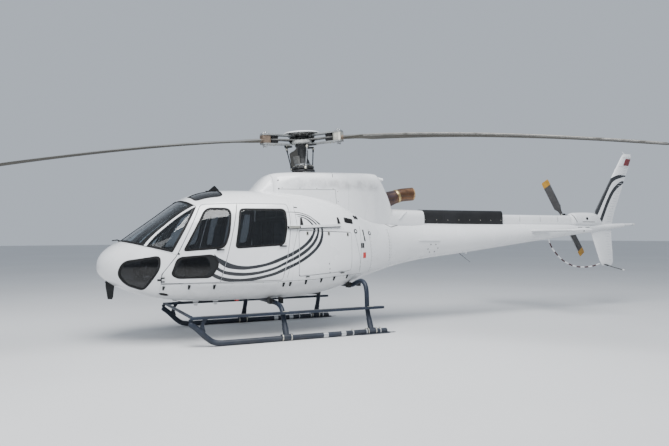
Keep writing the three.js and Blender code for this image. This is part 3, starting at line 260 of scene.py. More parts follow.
def finish(name, colour, roughness, metal=0.0, tone=0.06, tone_scale=3.0, soil=0.0, soil_span=(-0.55, 0.3),
           coat=0.0, grain=0.0, grain_scale=300.0, worn=None, stretch=(2, 60, 60), cover=0.4,
           rough_drift=0.08, weave=0.0, threads=900.0, specular=0.5):
    material, tree, shader, place = blank_material(name)
    drift = use_group(tree, "tone", {"Place": place, "Scale": tone_scale})
    dark = rgba([c * (1 - tone) for c in colour])
    light = rgba([min(1.0, c * (1 + tone)) for c in colour])
    painted = mix_colours(tree, drift, dark, light)
    rough = plus(tree, times(tree, drift, rough_drift), roughness)
    if worn:
        scratched = use_group(tree, "scratches", {"Place": place, "Stretch": stretch, "Cover": cover})
        painted = mix_colours(tree, scratched, painted, rgba(worn))
    if weave:
        yarn = use_group(tree, "weave", {"Place": place, "Threads": threads})
        painted = mix_colours(tree, yarn, mix_colours(tree, 0.45, painted, (0, 0, 0, 1)), painted)
    if soil:
        dirty = use_group(tree, "soil", {"Place": place, "Low": soil_span[0], "High": soil_span[1],
                          "Amount": soil})
        painted = mix_colours(tree, dirty, painted, rgba(SOIL_COLOUR))
        rough = plus(tree, rough, times(tree, dirty, 0.5), True)
    tree.links.new(painted, shader.inputs["Base Color"])
    tree.links.new(rough, shader.inputs["Roughness"])
    shader.inputs["Metallic"].default_value = metal
    shader.inputs["Specular IOR Level"].default_value = specular
    shader.inputs["Coat Weight"].default_value = coat
    shader.inputs["Coat Roughness"].default_value = 0.06
    if grain or weave:
        height = use_group(tree, "grain", {"Place": place, "Scale": grain_scale})
        if weave:
            height = use_group(tree, "weave", {"Place": place, "Threads": threads})
        bump = add(tree, "ShaderNodeBump", {"Strength": max(grain, weave), "Distance": 0.0012,
                   "Height": height})
        tree.links.new(bump.outputs["Normal"], shader.inputs["Normal"])
    return material


PAINTS = {
    "white": finish("white_paint", (0.8, 0.81, 0.82), 0.24, tone=0.025, tone_scale=1.6, soil=0.22,
                    soil_span=(-0.2, 0.75), coat=0.7, rough_drift=0.05),
    "charcoal": finish("charcoal_stripe", (0.026, 0.028, 0.032), 0.34, tone=0.15, soil=0.1,
                       soil_span=(-0.2, 0.6), coat=0.15, specular=0.3),
    "lining": finish("cabin_lining", (0.2, 0.205, 0.215), 0.62, tone=0.12, grain=0.3, grain_scale=420),
    "rubber": finish("black_rubber", (0.01, 0.01, 0.011), 0.66, tone=0.25, tone_scale=6, soil=0.05,
                     soil_span=(0.0, 1.2), grain=0.25, grain_scale=260, specular=0.22),
    "matt_black": finish("matt_black_cover", (0.012, 0.0125, 0.014), 0.58, tone=0.25, grain=0.35,
                         grain_scale=240, soil=0.06, soil_span=(0.9, 1.5), specular=0.3),
    "black": finish("black_enamel", (0.01, 0.011, 0.012), 0.42, tone=0.2, worn=(0.06, 0.06, 0.06),
                    cover=0.28, specular=0.28),
    "navy": finish("navy_skid_paint", (0.012, 0.019, 0.034), 0.4, tone=0.2, tone_scale=5, soil=0.16,
                   soil_span=(-0.58, -0.1), worn=(0.09, 0.1, 0.12), stretch=(1.2, 40, 40), cover=0.3,
                   specular=0.35),
    "step_grit": finish("step_grit", (0.03, 0.032, 0.036), 0.85, tone=0.3, grain=1.0, grain_scale=330,
                        soil=0.35, soil_span=(-0.3, -0.05), worn=(0.15, 0.15, 0.15), cover=0.34),
}
print("paints:", ", ".join(PAINTS))

# %% [markdown]
# The rotor head shows steel, light alloy and anodised parts. All come from the same function as
# the paints, with Metallic raised and fine scratches for the worn colour.

# %% Bare metals
METALS = {
    "steel": finish("brushed_steel", (0.5, 0.51, 0.52), 0.3, metal=1.0, tone=0.12, tone_scale=7,
                    worn=(0.3, 0.3, 0.31), stretch=(50, 50, 3), cover=0.42),
    "aluminium": finish("cast_aluminium", (0.6, 0.61, 0.62), 0.42, metal=1.0, tone=0.1, grain=0.25,
                        grain_scale=380),
    "dark_cast": finish("dark_anodised", (0.03, 0.031, 0.033), 0.5, metal=0.35, tone=0.25, tone_scale=8,
                        worn=(0.16, 0.16, 0.15), stretch=(25, 25, 25), cover=0.29, specular=0.35),
    "grey_cast": finish("grey_cast", (0.13, 0.13, 0.125), 0.52, metal=0.4, tone=0.2, tone_scale=9,
                        grain=0.3, grain_scale=320),
    "brown_cuff": finish("brown_cuff", (0.13, 0.095, 0.07), 0.5, metal=0.2, tone=0.25, tone_scale=9),
    "brass": finish("golden_clamp", (0.56, 0.42, 0.2), 0.3, metal=1.0, tone=0.15, tone_scale=12),
    "zinc": finish("plated_bolt", (0.62, 0.6, 0.52), 0.35, metal=1.0, tone=0.15, tone_scale=15),
}
print("metals:", ", ".join(METALS))

# %% [markdown]
# Window panes are thin closed sheets. The cabin's side panes are smoked, so they let little light
# through and look almost black against a pale sky. The windscreen is clear, with a faint cold
# tint. Transmission and the index of refraction are even, so they are plain socket values, and
# a faint smear of dust lives in the roughness.


# %% Glass and lamps
def glass(name, tint, dust):
    material, tree, shader, place = blank_material(name)
    smear = use_group(tree, "tone", {"Place": place, "Scale": 2.4})
    rough = plus(tree, times(tree, smear, dust), 0.012)
    tree.links.new(rough, shader.inputs["Roughness"])
    tinted = mix_colours(tree, smear, rgba(tint), rgba([c * 0.86 for c in tint]))
    tree.links.new(tinted, shader.inputs["Base Color"])
    shader.inputs["Transmission Weight"].default_value = 1.0
    shader.inputs["IOR"].default_value = 1.46
    return material


def lamp_glow(name, colour, strength):
    material, tree, shader, place = blank_material(name)
    cells = add(tree, "ShaderNodeTexVoronoi", {"Vector": place, "Scale": 260.0}).outputs["Distance"]
    ribbed = mix_colours(tree, cells, rgba(colour), rgba([c * 0.55 for c in colour]))
    tree.links.new(ribbed, shader.inputs["Base Color"])
    tree.links.new(ribbed, shader.inputs["Emission Color"])
    tree.links.new(times(tree, cells, 0.2), shader.inputs["Roughness"])
    shader.inputs["Emission Strength"].default_value = strength
    shader.inputs["Coat Weight"].default_value = 1.0
    return material


GLASS = {
    "dark": glass("dark_pane", (0.13, 0.135, 0.145), 0.03),
    "smoked": glass("smoked_pane", (0.33, 0.35, 0.37), 0.03),
    "clear": glass("windscreen_pane", (0.55, 0.6, 0.63), 0.02),
    "red_lens": lamp_glow("red_lens", (0.55, 0.02, 0.015), 0.25),
    "clear_lens": lamp_glow("clear_lens", (0.75, 0.76, 0.74), 0.15),
}
print("glass and lamps:", ", ".join(GLASS))

# %% [markdown]
# The fuselage is the form that everything else hangs on. A real one is drawn as a set of cross
# sections along the length, each a rounded rectangle between an ellipse and a box. The table
# below holds those sections: half-width, top, widest height, bottom, and how square the upper and
# lower halves are. Between the sections each column is eased with a curve that never overshoots,
# and the length is measured as a square root near the nose, so that the tip comes out round.

# %% The fuselage as a formula
TIP_X = -3.312
STATIONS = np.array([
    # x, half-width, top, widest height, bottom, squareness above, squareness below
    [TIP_X, 0.0, 1.08, 1.08, 1.08, 2.0, 2.0], [-3.31, 0.04, 1.125, 1.08, 1.04, 2.0, 2.0],
    [-3.29, 0.15, 1.2, 1.08, 0.985, 2.0, 2.0], [-3.23, 0.29, 1.29, 1.085, 0.915, 2.1, 2.1],
    [-3.12, 0.445, 1.38, 1.09, 0.83, 2.2, 2.2], [-3.0, 0.56, 1.445, 1.1, 0.765, 2.35, 2.3],
    [-2.77, 0.72, 1.611, 1.12, 0.68, 2.65, 2.5], [-2.54, 0.822, 1.777, 1.13, 0.62, 2.8, 2.7],
    [-2.19, 0.895, 2.03, 1.145, 0.57, 2.95, 2.9], [-2.05, 0.91, 2.105, 1.15, 0.558, 3.0, 3.0],
    [-1.85, 0.925, 2.17, 1.15, 0.548, 3.1, 3.0], [-1.6, 0.933, 2.203, 1.15, 0.542, 3.2, 3.0],
    [-1.04, 0.935, 2.212, 1.15, 0.54, 3.2, 3.0], [-0.66, 0.93, 2.205, 1.15, 0.54, 3.2, 3.0],
    [-0.3, 0.905, 2.18, 1.16, 0.552, 3.1, 2.9], [0.0, 0.862, 2.145, 1.18, 0.585, 2.9, 2.8],
    [0.28, 0.795, 2.08, 1.2, 0.64, 2.8, 2.7], [0.6, 0.7, 1.95, 1.25, 0.728, 2.6, 2.5],
    [0.9, 0.59, 1.845, 1.29, 0.812, 2.4, 2.3], [1.2, 0.485, 1.79, 1.335, 0.892, 2.2, 2.2],
    [1.51, 0.405, 1.76, 1.37, 0.97, 2.1, 2.1], [2.1, 0.33, 1.737, 1.406, 1.075, 2.0, 2.0],
    [3.17, 0.265, 1.73, 1.46, 1.19, 2.0, 2.0], [4.26, 0.2, 1.73, 1.524, 1.318, 2.0, 2.0],
    [5.35, 0.145, 1.73, 1.585, 1.44, 2.0, 2.0], [6.6, 0.075, 1.73, 1.656, 1.582, 2.0, 2.0],
    [7.33, 0.028, 1.728, 1.709, 1.69, 2.0, 2.0],
])
ROUND_NOSE = 0.5625


# %% Eased curves
def eased(xs, ys, at):
    """A smooth curve through the points that keeps to the range between neighbours."""
    xs, ys, at = (np.asarray(v, float) for v in (xs, ys, at))
    gaps = np.diff(xs)
    slopes = np.diff(ys) / gaps
    product = slopes[:-1] * slopes[1:]
    w1 = 2 * gaps[1:] + gaps[:-1]
    w2 = gaps[1:] + 2 * gaps[:-1]
    safe = np.where(product > 0, slopes[:-1] * slopes[1:], 1.0)
    inner = np.where(product > 0, (w1 + w2) * safe / (w1 * slopes[1:] + w2 * slopes[:-1] + 1e-30), 0.0)
    tangents = np.concatenate([[slopes[0]], inner, [slopes[-1]]])
    k = np.clip(np.searchsorted(xs, at) - 1, 0, len(xs) - 2)
    t = np.clip((at - xs[k]) / gaps[k], 0, 1)
    h = gaps[k]
    return (ys[k] * (2 * t**3 - 3 * t**2 + 1) + h * tangents[k] * (t**3 - 2 * t**2 + t)
            + ys[k + 1] * (-2 * t**3 + 3 * t**2) + h * tangents[k + 1] * (t**3 - t**2))


# %% A form and its skin
class Form:
    """A long rounded body: a point of its skin is found from a length and an angle.
    The angle is -90 degrees at the keel, 0 at the starboard side and +90 along the top's middle."""

    def __init__(self, stations, arc, round_nose=ROUND_NOSE):
        self.rows = np.asarray(stations, float)
        self.tip = self.rows[0, 0]
        self.arc = arc
        self.nose = round_nose

    def length_of(self, x):
        """Where x lies along the body's own length, stretched near the round nose."""
        back = np.maximum(np.asarray(x, float) - self.tip, 0)
        if not self.nose:
            return back
        return np.where(back >= self.nose, back, 2 * math.sqrt(self.nose) * np.sqrt(back) - self.nose)

    def x_of(self, length):
        if not self.nose:
            return self.tip + length
        root = (np.asarray(length, float) + self.nose) / (2 * math.sqrt(self.nose))
        return self.tip + np.where(length >= self.nose, length, root * root)

    def section(self, x):
        back = np.maximum(np.asarray(x, float) - self.tip, 0)
        known = self.rows[:, 0] - self.tip
        if self.nose:
            back, known = np.sqrt(back), np.sqrt(known)
        return [eased(known, self.rows[:, k], back) for k in range(1, 7)]

    def point(self, length, angle):
        x = self.x_of(length)
        w, top, mid, bottom, n_top, n_bottom = self.section(x)
        c, s = np.cos(angle), np.sin(angle)
        n = np.where(s >= 0, n_top, n_bottom)
        h = np.where(s >= 0, top - mid, mid - bottom)
        reach = (np.abs(c)**n + np.abs(s)**n)**(-1 / n)
        return np.stack([x, w * reach * c, mid + h * reach * s], -1)

    def normal(self, length, angle):
        step = 1e-3
        low = np.maximum(length - step, 1e-4 - self.nose)
        along = self.point(length + step, angle) - self.point(low, angle)
        around = self.point(length, angle + step) - self.point(length, angle - step)
        normal = np.cross(around, along)
        size = np.linalg.norm(normal, axis=-1, keepdims=True)
        normal = np.where(size > 1e-9, normal / np.maximum(size, 1e-12), [-1.0, 0, 0])
        if self.nose:
            normal[length < 0.01 - self.nose] = [-1.0, 0, 0]
        return normal

    def angle_at_height(self, x, z):
        _, top, mid, bottom, n_top, n_bottom = self.section(x)
        above = z >= mid
        n = np.where(above, n_top, n_bottom)
        h = np.maximum(np.where(above, top - mid, mid - bottom), 1e-6)
        share = np.clip(np.abs(z - mid) / h, 0, 1)
        angle = np.arctan2(share, np.maximum(1 - share**n, 0)**(1 / n))
        return np.where(above, angle, -angle)

    def angle_at_offset(self, x, y):
        w, _, _, _, n_top, _ = self.section(x)
        share = np.clip(np.abs(y) / np.maximum(w, 1e-6), 0, 1)
        return np.arctan2(np.maximum(1 - share**n_top, 0)**(1 / n_top), share)

    def half_width(self, x, z):
        """How far the skin stands out at a height, and nothing above or below the body."""
        x, z = np.asarray(x, float), np.asarray(z, float)
        return self.point(self.length_of(x), self.angle_at_height(x, z))[..., 1]


HULL_ARC = 0.95
HULL = Form(STATIONS, HULL_ARC)


print("half-width at the doors: %.3f m" % HULL.half_width(-1.2, 1.15))

# %% [markdown]
# Doors, windows and joints are drawn as corners in the side view, each with its own rounding, as
# a draughtsman would. The helpers round the corners, move an outline inwards or outwards for a
# seal or a seam, and carry it onto the curved skin.


# %% Outlines
def rounded(corners, step=0.02):
    """Corners [u, v, radius] as a fine closed line, each corner eased with a curve."""
    line = []
    count = len(corners)
    for i, corner in enumerate(corners):
        here = np.array(corner[:2], float)
        before = np.array(corners[i - 1][:2], float) - here
        after = np.array(corners[(i + 1) % count][:2], float) - here
        radius = min(corner[2] if len(corner) > 2 else 0, 0.45 * np.hypot(*before), 0.45 * np.hypot(*after))
        start = here + before / np.hypot(*before) * radius
        end = here + after / np.hypot(*after) * radius
        parts = max(1, int(math.ceil(1.6 * radius / step)))
        for t in np.linspace(0, 1, parts + 1) if radius > 0 else [0.0]:
            line.append((1 - t)**2 * start + 2 * t * (1 - t) * here + t * t * end)
    return fill_line(np.array(line), step, closed=True)


def fill_line(points, step, closed=False):
    """The same line with no stretch longer than a step."""
    points = np.asarray(points, float)
    ends = np.roll(points, -1, 0) if closed else points[1:]
    filled = []
    for a, b in zip(points, ends):
        parts = max(1, int(math.ceil(np.linalg.norm(b - a) / step)))
        filled.extend(a + (b - a) * t for t in np.arange(parts) / parts)
    if not closed:
        filled.append(points[-1])
    return np.array(filled)


def oblong(left, low, right, high, radius=0.01):
    return [[left, low, radius], [right, low, radius], [right, high, radius], [left, high, radius]]


def moved(corners, margin):
    """The same corners moved inwards (positive) or outwards (negative)."""
    points = np.array([c[:2] for c in corners], float)
    ahead = np.roll(points, -1, 0)
    turn = np.sign((points[:, 0] * ahead[:, 1] - ahead[:, 0] * points[:, 1]).sum())
    result = []
    for i, corner in enumerate(corners):
        here, before, after = points[i], points[i - 1], ahead[i]
        first = (here - before) / np.linalg.norm(here - before)
        second = (after - here) / np.linalg.norm(after - here)
        n1 = turn * np.array([-first[1], first[0]]) * margin
        n2 = turn * np.array([-second[1], second[0]]) * margin
        cross = first[0] * second[1] - first[1] * second[0]
        if abs(cross) < 1e-6:
            spot = here + n2
        else:
            gap = (here + n2) - (here + n1)
            spot = here + n1 + first * ((gap[0] * second[1] - gap[1] * second[0]) / cross)
        result.append([*spot, max(0, (corner[2] if len(corner) > 2 else 0) - margin)])
    return result


def on_side(corners, step=0.02):
    """An outline of the side view as a line on the skin: (length, angle scaled to metres)."""
    x, z = rounded(corners, step).T
    x = np.maximum(x, TIP_X)
    return np.stack([HULL.length_of(x), HULL_ARC * HULL.angle_at_height(x, z)], -1)


def on_roof(corners, step=0.02):
    """An outline of the view from above, laid on the upper half of the skin."""
    x, y = rounded(corners, step).T
    return np.stack([HULL.length_of(x), HULL_ARC * HULL.angle_at_offset(x, y)], -1)


def smooth_line(points, parts=6, closed=False):
    """A curve through the points, each stretch in so many parts."""
    p = np.asarray(points, float)
    ends = (p[-1:], p[:2]) if closed else (2 * p[:1] - p[1:2], 2 * p[-1:] - p[-2:-1])
    q = np.concatenate([ends[0], p, ends[1]])
    line = []
    for i in range(1, len(q) - 2):
        for t in np.arange(parts) / parts:
            line.append(0.5 * (2 * q[i] + (q[i + 1] - q[i - 1]) * t
                        + (2 * q[i - 1] - 5 * q[i] + 4 * q[i + 1] - q[i + 2]) * t * t
                        + (3 * q[i] - q[i - 1] - 3 * q[i + 1] + q[i + 2]) * t**3))
    if not closed:
        line.append(p[-1])
    return np.array(line)

# %% Door and window outlines
# Outlines in the side view: x, height, corner radius
FRONT_DOOR = [
    [-1.985, 1.962, 0.06], [-2.34, 1.25, 0.06], [-2.537, 0.99, 0.04], [-2.537, 0.86, 0.005],
    [-1.75, 0.86, 0.005], [-1.665, 1.165, 0.4], [-1.58, 1.51, 0.4], [-1.47, 1.985, 0.005],
]
REAR_DOOR = [
    [-1.47, 1.985, 0.005], [-1.58, 1.51, 0.4], [-1.665, 1.165, 0.4], [-1.75, 0.86, 0.005],
    [-0.82, 0.86, 0.03], [-0.75, 1.165, 0.3], [-0.68, 1.69, 0.3], [-0.7, 1.985, 0.05],
]
FRONT_UPPER_WINDOW = [
    [-1.925, 1.905, 0.09], [-1.57, 1.905, 0.11], [-1.62, 1.54, 0.14], [-1.69, 1.345, 0.12],
    [-2.25, 1.31, 0.05],
]
FRONT_LOWER_WINDOW = [
    [-2.33, 1.215, 0.07], [-2.41, 0.985, 0.05], [-2.33, 0.935, 0.04], [-1.88, 0.935, 0.06],
    [-1.765, 1.12, 0.08], [-1.85, 1.25, 0.06],
]
REAR_WINDOW = [
    [-1.44, 1.9, 0.06], [-0.745, 1.905, 0.07], [-0.745, 1.64, 0.1], [-0.8, 1.38, 0.07],
    [-1.53, 1.34, 0.06],
]
CHIN_WINDOW = [
    [-3.08, 0.99, 0.11], [-3.01, 1.165, 0.09], [-2.56, 1.24, 0.08], [-2.56, 1.08, 0.07],
    [-2.745, 0.765, 0.045], [-2.96, 0.84, 0.09],
]
BAGGAGE_DOOR = [
    [-0.56, 0.905, 0.04], [-0.56, 1.59, 0.04], [0.395, 1.56, 0.04], [0.395, 0.96, 0.04],
]
ROOF_WINDOW = [  # x, offset from the middle, corner radius
    [-2.08, 0.29, 0.06], [-2.03, 0.6, 0.06], [-1.64, 0.64, 0.08], [-1.64, 0.23, 0.08],
    [-2.0, 0.23, 0.06],
]
DOOR_SEAM = 0.01
FLOOR_TOP = 0.85
NOSE_JOINT_X = -2.54
CABIN_REAR_X = -0.66
BOOM_JOINT_X = 1.3
SCREEN_RIM = 0.025


def screen_base(x):
    """The height of the windscreen's lower edge."""
    return 1.43 - 0.25 * (x + 3.02)


SCREEN = [
    [-3.4, screen_base(-3.4) + SCREEN_RIM], [-2.405, screen_base(-2.405) + SCREEN_RIM],
    [-2.055, 1.93], [-2.13, 1.99], [-2.23, 2.055], [-3.4, 2.055],
]
print("door outline corners:", len(FRONT_DOOR), "and", len(REAR_DOOR))

# %% [markdown]
# A skin panel is made in the flat first: its outline, its holes and the edges of its stripes are
# laid out on the skin's own two directions, a triangle net is spun between them that keeps every
# line, and only then is each point carried onto the curved form. So a door is one smooth sheet
# with crisp cut-outs, the stripes are real edges between two paints, and each panel gets the
# thickness of the real one. Shading normals come from the formula, so light runs across the
# seams without a break.


# %% Making pieces
def place_mesh(mesh):
    mesh.transform(Matrix.Translation((0, 0, GROUND)))
    return mesh


def add_object(name, mesh, body, replaces=()):
    piece = bpy.data.objects.new(name, mesh)
    bpy.context.scene.collection.objects.link(piece)
    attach(piece, body)
    if replaces:
        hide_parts(*replaces)
    return piece


def inside(points, loop):
    """Which points lie inside a closed line."""
    a, b = loop, np.roll(loop, -1, 0)
    px, py = points[:, 0:1], points[:, 1:2]
    crosses = (a[:, 1] > py) != (b[:, 1] > py)
    rise = np.where(np.abs(b[:, 1] - a[:, 1]) < 1e-12, 1e-12, b[:, 1] - a[:, 1])
    at_x = (b[:, 0] - a[:, 0]) * (py - a[:, 1]) / rise + a[:, 0]
    return (crosses & (px < at_x)).sum(1) % 2 == 1


# %% The net of triangles
def net(within, holes, zones, step):
    """Triangles between the lines, as points in the flat, and the number of each one's zone."""
    lines = list(within) + list(holes) + [loop for _, loop in zones]
    edge_points = np.concatenate(lines)
    low, high = within[0].min(0), within[0].max(0)
    rows = np.arange(low[1], high[1] + step, step * 0.87)
    columns = np.arange(low[0], high[0] + step, step)
    grid = np.array([[x + (step / 2 if k % 2 else 0), y] for k, y in enumerate(rows) for x in columns])
    keep = np.ones(len(grid), bool)
    for loop in within:
        keep &= inside(grid, loop)
    for loop in holes:
        keep &= ~inside(grid, loop)
    grid = grid[keep]
    if len(grid):
        near = np.array([np.min(np.hypot(*(edge_points - p).T)) for p in grid])
        grid = grid[near > 0.45 * step]
    points = np.concatenate([edge_points, grid]) if len(grid) else edge_points
    edges, start = [], 0
    for loop in lines:
        count = len(loop)
        edges.extend((start + i, start + (i + 1) % count) for i in range(count))
        start += count
    corners, _, faces, *_ = delaunay_2d_cdt([Vector(p) for p in points], edges, [], 0, 1e-6, False)
    flat = np.array([tuple(c) for c in corners])
    faces = np.array([tuple(f) for f in faces])
    middles = flat[faces].mean(1)
    keep = np.ones(len(faces), bool)
    for loop in within:
        keep &= inside(middles, loop)
    for loop in holes:
        keep &= ~inside(middles, loop)
    numbers = np.zeros(len(faces), int)
    for number, loop in zones:
        numbers[inside(middles, loop)] = number
    used, back = np.unique(faces[keep], return_inverse=True)
    return flat[used], back.reshape(-1, 3), numbers[keep]


def merged(points, normals, faces, numbers):
    """The same triangles with points that lie on each other made one."""
    _, first, back = np.unique(np.round(points, 5), axis=0, return_index=True, return_inverse=True)
    faces = back.reshape(-1)[faces]
    flat = (faces[:, 0] == faces[:, 1]) | (faces[:, 1] == faces[:, 2]) | (faces[:, 0] == faces[:, 2])
    return points[first], normals[first], faces[~flat], numbers[~flat]


# %% From a net to a closed sheet
def border_edges(faces):
    """The edges that only one triangle has, each in that triangle's direction."""
    edges = dict.fromkeys(edge for a, b, c in faces for edge in ((a, b), (b, c), (c, a)))
    return [edge for edge in edges if (edge[1], edge[0]) not in edges]


def shell_mesh(name, points, normals, faces, numbers, depth, lift, paints, lining, rim):
    """A closed sheet: outer faces, the same pushed inwards by depth, and a rim between them."""
    count = len(points)
    outer = points + normals * lift
    verts = np.concatenate([outer, outer - normals * depth])
    border = border_edges(faces)
    quads = [(j, i, i + count, j + count) for i, j in border]
    polygons = [tuple(f) for f in faces] + [(c + count, b + count, a + count) for a, b, c in faces] + quads
    mesh = bpy.data.meshes.new(name)
    mesh.from_pydata([tuple(v) for v in verts], [], [tuple(int(i) for i in p) for p in polygons])
    for material in [*paints, lining, rim]:
        mesh.materials.append(material)
    indices = list(numbers) + [len(paints)] * len(faces) + [len(paints) + 1] * len(quads)
    mesh.polygons.foreach_set("material_index", indices)
    mesh.polygons.foreach_set("use_smooth", [True] * len(polygons))
    corner_normals = []
    for f in faces:
        corner_normals.extend(tuple(normals[i]) for i in f)
    for a, b, c in faces:
        corner_normals.extend(tuple(-normals[i]) for i in (c, b, a))
    mesh.update()
    flat_normals = [tuple(p.normal) for p in mesh.polygons[2 * len(faces):]]
    for normal in flat_normals:
        corner_normals.extend([normal] * 4)
    mesh.normals_split_custom_set(corner_normals)
    return place_mesh(mesh)


# %% A panel of skin
def panel(name, within, holes=(), zones=(), depth=0.034, lift=0.0, step=0.035, side=1, whole=False,
          paints=(), lining=None, rim=None, body="root", replaces=(), form=HULL):
    """A piece of a form's skin, on one side or across the middle of the machine."""
    flat, faces, numbers = net(within, holes, zones, step)
    length, angle = flat[:, 0], flat[:, 1] / form.arc
    points, normals = form.point(length, angle), form.normal(length, angle)
    a, b, c = (points[faces[:, k]] for k in range(3))
    wrong = (np.cross(b - a, c - a) * normals[faces[:, 0]]).sum(1) < 0
    faces[wrong] = faces[wrong][:, ::-1]
    flip = np.array([1.0, -1.0, 1.0])
    middle = np.abs(points[:, 1]) < 2e-4
    if whole:
        points[middle, 1] = 0
        normals[middle, 1] = 0
        normals /= np.linalg.norm(normals, axis=1, keepdims=True)
        count = len(points)
        points, normals = np.concatenate([points, points * flip]), np.concatenate([normals, normals * flip])
        faces = np.concatenate([faces, faces[:, ::-1] + count])
        numbers = np.concatenate([numbers, numbers])
    elif side < 0:
        points, normals, faces = points * flip, normals * flip, faces[:, ::-1]
    points, normals, faces, numbers = merged(points, normals, faces, numbers)
    paints = paints or [PAINTS["white"]]
    mesh = shell_mesh(name, points, normals, faces, numbers, depth, lift, paints,
                      lining or PAINTS["lining"], rim or paints[0])
    return add_object(name, mesh, body, replaces)


SIDES = {"left": -1, "right": 1}
print("ready to cut panels")

# %% [markdown]
# Three swept stripes start at the rear edge of the lower cockpit window, dip under the doors and
# climb over the baggage door, where each thins out into a fine line. They run across four
# separate panels. Each stripe is drawn once, as an upper and a lower edge in the side view, and
# every panel takes the part that crosses it.

# %% Stripes
STRIPES = [
    ([[-1.84, 1.262], [-1.787, 1.215], [-1.717, 1.178], [-1.6, 1.122], [-1.48, 1.09], [-1.35, 1.081],
      [-1.2, 1.094], [-1.06, 1.121], [-0.942, 1.163], [-0.783, 1.224], [-0.62, 1.297], [-0.502, 1.367],
      [-0.415, 1.442], [-0.353, 1.518], [-0.318, 1.588], [-0.322, 1.64], [-0.345, 1.682],
      [-0.385, 1.724], [-0.45, 1.766], [-0.56, 1.797]],
     [[-1.83, 1.175], [-1.787, 1.141], [-1.705, 1.085], [-1.641, 1.057], [-1.563, 1.041], [-1.479, 1.031],
      [-1.394, 1.028], [-1.295, 1.037], [-1.196, 1.05], [-1.061, 1.077], [-0.945, 1.108],
      [-0.783, 1.168], [-0.654, 1.222], [-0.503, 1.31], [-0.399, 1.389], [-0.337, 1.457],
      [-0.295, 1.541], [-0.277, 1.603], [-0.285, 1.645], [-0.31, 1.684], [-0.345, 1.722],
      [-0.4, 1.762], [-0.472, 1.79], [-0.56, 1.803]]),
    ([[-1.8, 1.085], [-1.717, 1.035], [-1.641, 1.012], [-1.524, 0.996], [-1.393, 0.987], [-1.261, 0.994],
      [-1.127, 1.013], [-0.943, 1.06], [-0.783, 1.131], [-0.605, 1.217], [-0.47, 1.298],
      [-0.365, 1.381], [-0.295, 1.472], [-0.259, 1.541], [-0.246, 1.603], [-0.255, 1.65],
      [-0.29, 1.698], [-0.362, 1.754], [-0.452, 1.8], [-0.6, 1.829]],
     [[-1.83, 1.05], [-1.716, 0.985], [-1.639, 0.961], [-1.522, 0.944], [-1.391, 0.94], [-1.26, 0.949],
      [-1.126, 0.971], [-0.941, 1.02], [-0.783, 1.086], [-0.588, 1.172], [-0.436, 1.26],
      [-0.331, 1.35], [-0.259, 1.441], [-0.223, 1.533], [-0.214, 1.603], [-0.222, 1.642],
      [-0.247, 1.684], [-0.3, 1.736], [-0.36, 1.78], [-0.43, 1.812], [-0.501, 1.829],
      [-0.6, 1.835]]),
    ([[-1.832, 0.985], [-1.759, 0.952], [-1.682, 0.927], [-1.585, 0.91], [-1.454, 0.901],
      [-1.323, 0.909], [-1.191, 0.927], [-1.058, 0.952], [-0.941, 0.984], [-0.783, 1.049],
      [-0.588, 1.13], [-0.419, 1.229], [-0.297, 1.326], [-0.224, 1.425], [-0.189, 1.518],
      [-0.178, 1.603], [-0.19, 1.648], [-0.232, 1.696], [-0.29, 1.748], [-0.367, 1.801],
      [-0.5, 1.845], [-0.62, 1.857], [-0.76, 1.861]],
     [[-1.878, 0.955], [-1.808, 0.916], [-1.71, 0.88], [-1.613, 0.864], [-1.483, 0.856],
      [-1.351, 0.858], [-1.22, 0.873], [-1.088, 0.901], [-0.938, 0.937], [-0.782, 0.996],
      [-0.587, 1.081], [-0.402, 1.183], [-0.263, 1.295], [-0.179, 1.402], [-0.147, 1.51],
      [-0.145, 1.603], [-0.155, 1.648], [-0.189, 1.69], [-0.222, 1.716], [-0.288, 1.764],
      [-0.374, 1.818], [-0.496, 1.856], [-0.613, 1.868], [-0.76, 1.867]]),
]


def carried(points):
    """A line of the side view on the skin."""
    x, z = np.asarray(points, float).T
    return np.stack([HULL.length_of(x), HULL_ARC * HULL.angle_at_height(x, z)], -1)


def stripe_loop(upper, lower):
    return carried(np.concatenate([smooth_line(upper, 4), smooth_line(lower, 4)[::-1]]))


STRIPE_ZONES = [(1, stripe_loop(upper, lower)) for upper, lower in STRIPES]
STRIPED = [PAINTS["white"], PAINTS["charcoal"]]
print("stripes:", len(STRIPE_ZONES))

# %% [markdown]
# The nose is one shell with a large opening on each side for the chin windows. The frame behind
# it carries the windscreen, the roof windows and the doors. Both cross the middle of the machine,
# so they are cut on one side, mirrored and joined along the middle, before they get a thickness.

# %% Nose, cabin frame and belly
NOSE = [
    [-3.4, 0.4], [-3.4, screen_base(-3.4)], [-2.385, screen_base(-2.385)], [-2.345, 1.25],
    [NOSE_JOINT_X, 0.99], [NOSE_JOINT_X, 0.4],
]
CABIN = [
    [-3.4, screen_base(-3.4)], [-2.385, screen_base(-2.385)], [-2.345, 1.25], [-2.25, 1.2],
    [-2.25, FLOOR_TOP], [CABIN_REAR_X, FLOOR_TOP], [CABIN_REAR_X, 2.4], [-3.4, 2.4],
]
BELLY = [
    [NOSE_JOINT_X, 0.3], [NOSE_JOINT_X, FLOOR_TOP], [CABIN_REAR_X, FLOOR_TOP], [CABIN_REAR_X, 0.3],
]
REAR = [[CABIN_REAR_X, 0.3], [CABIN_REAR_X, 2.4], [BOOM_JOINT_X, 2.4], [BOOM_JOINT_X, 0.3]]
HAIRLINE = 0.0012

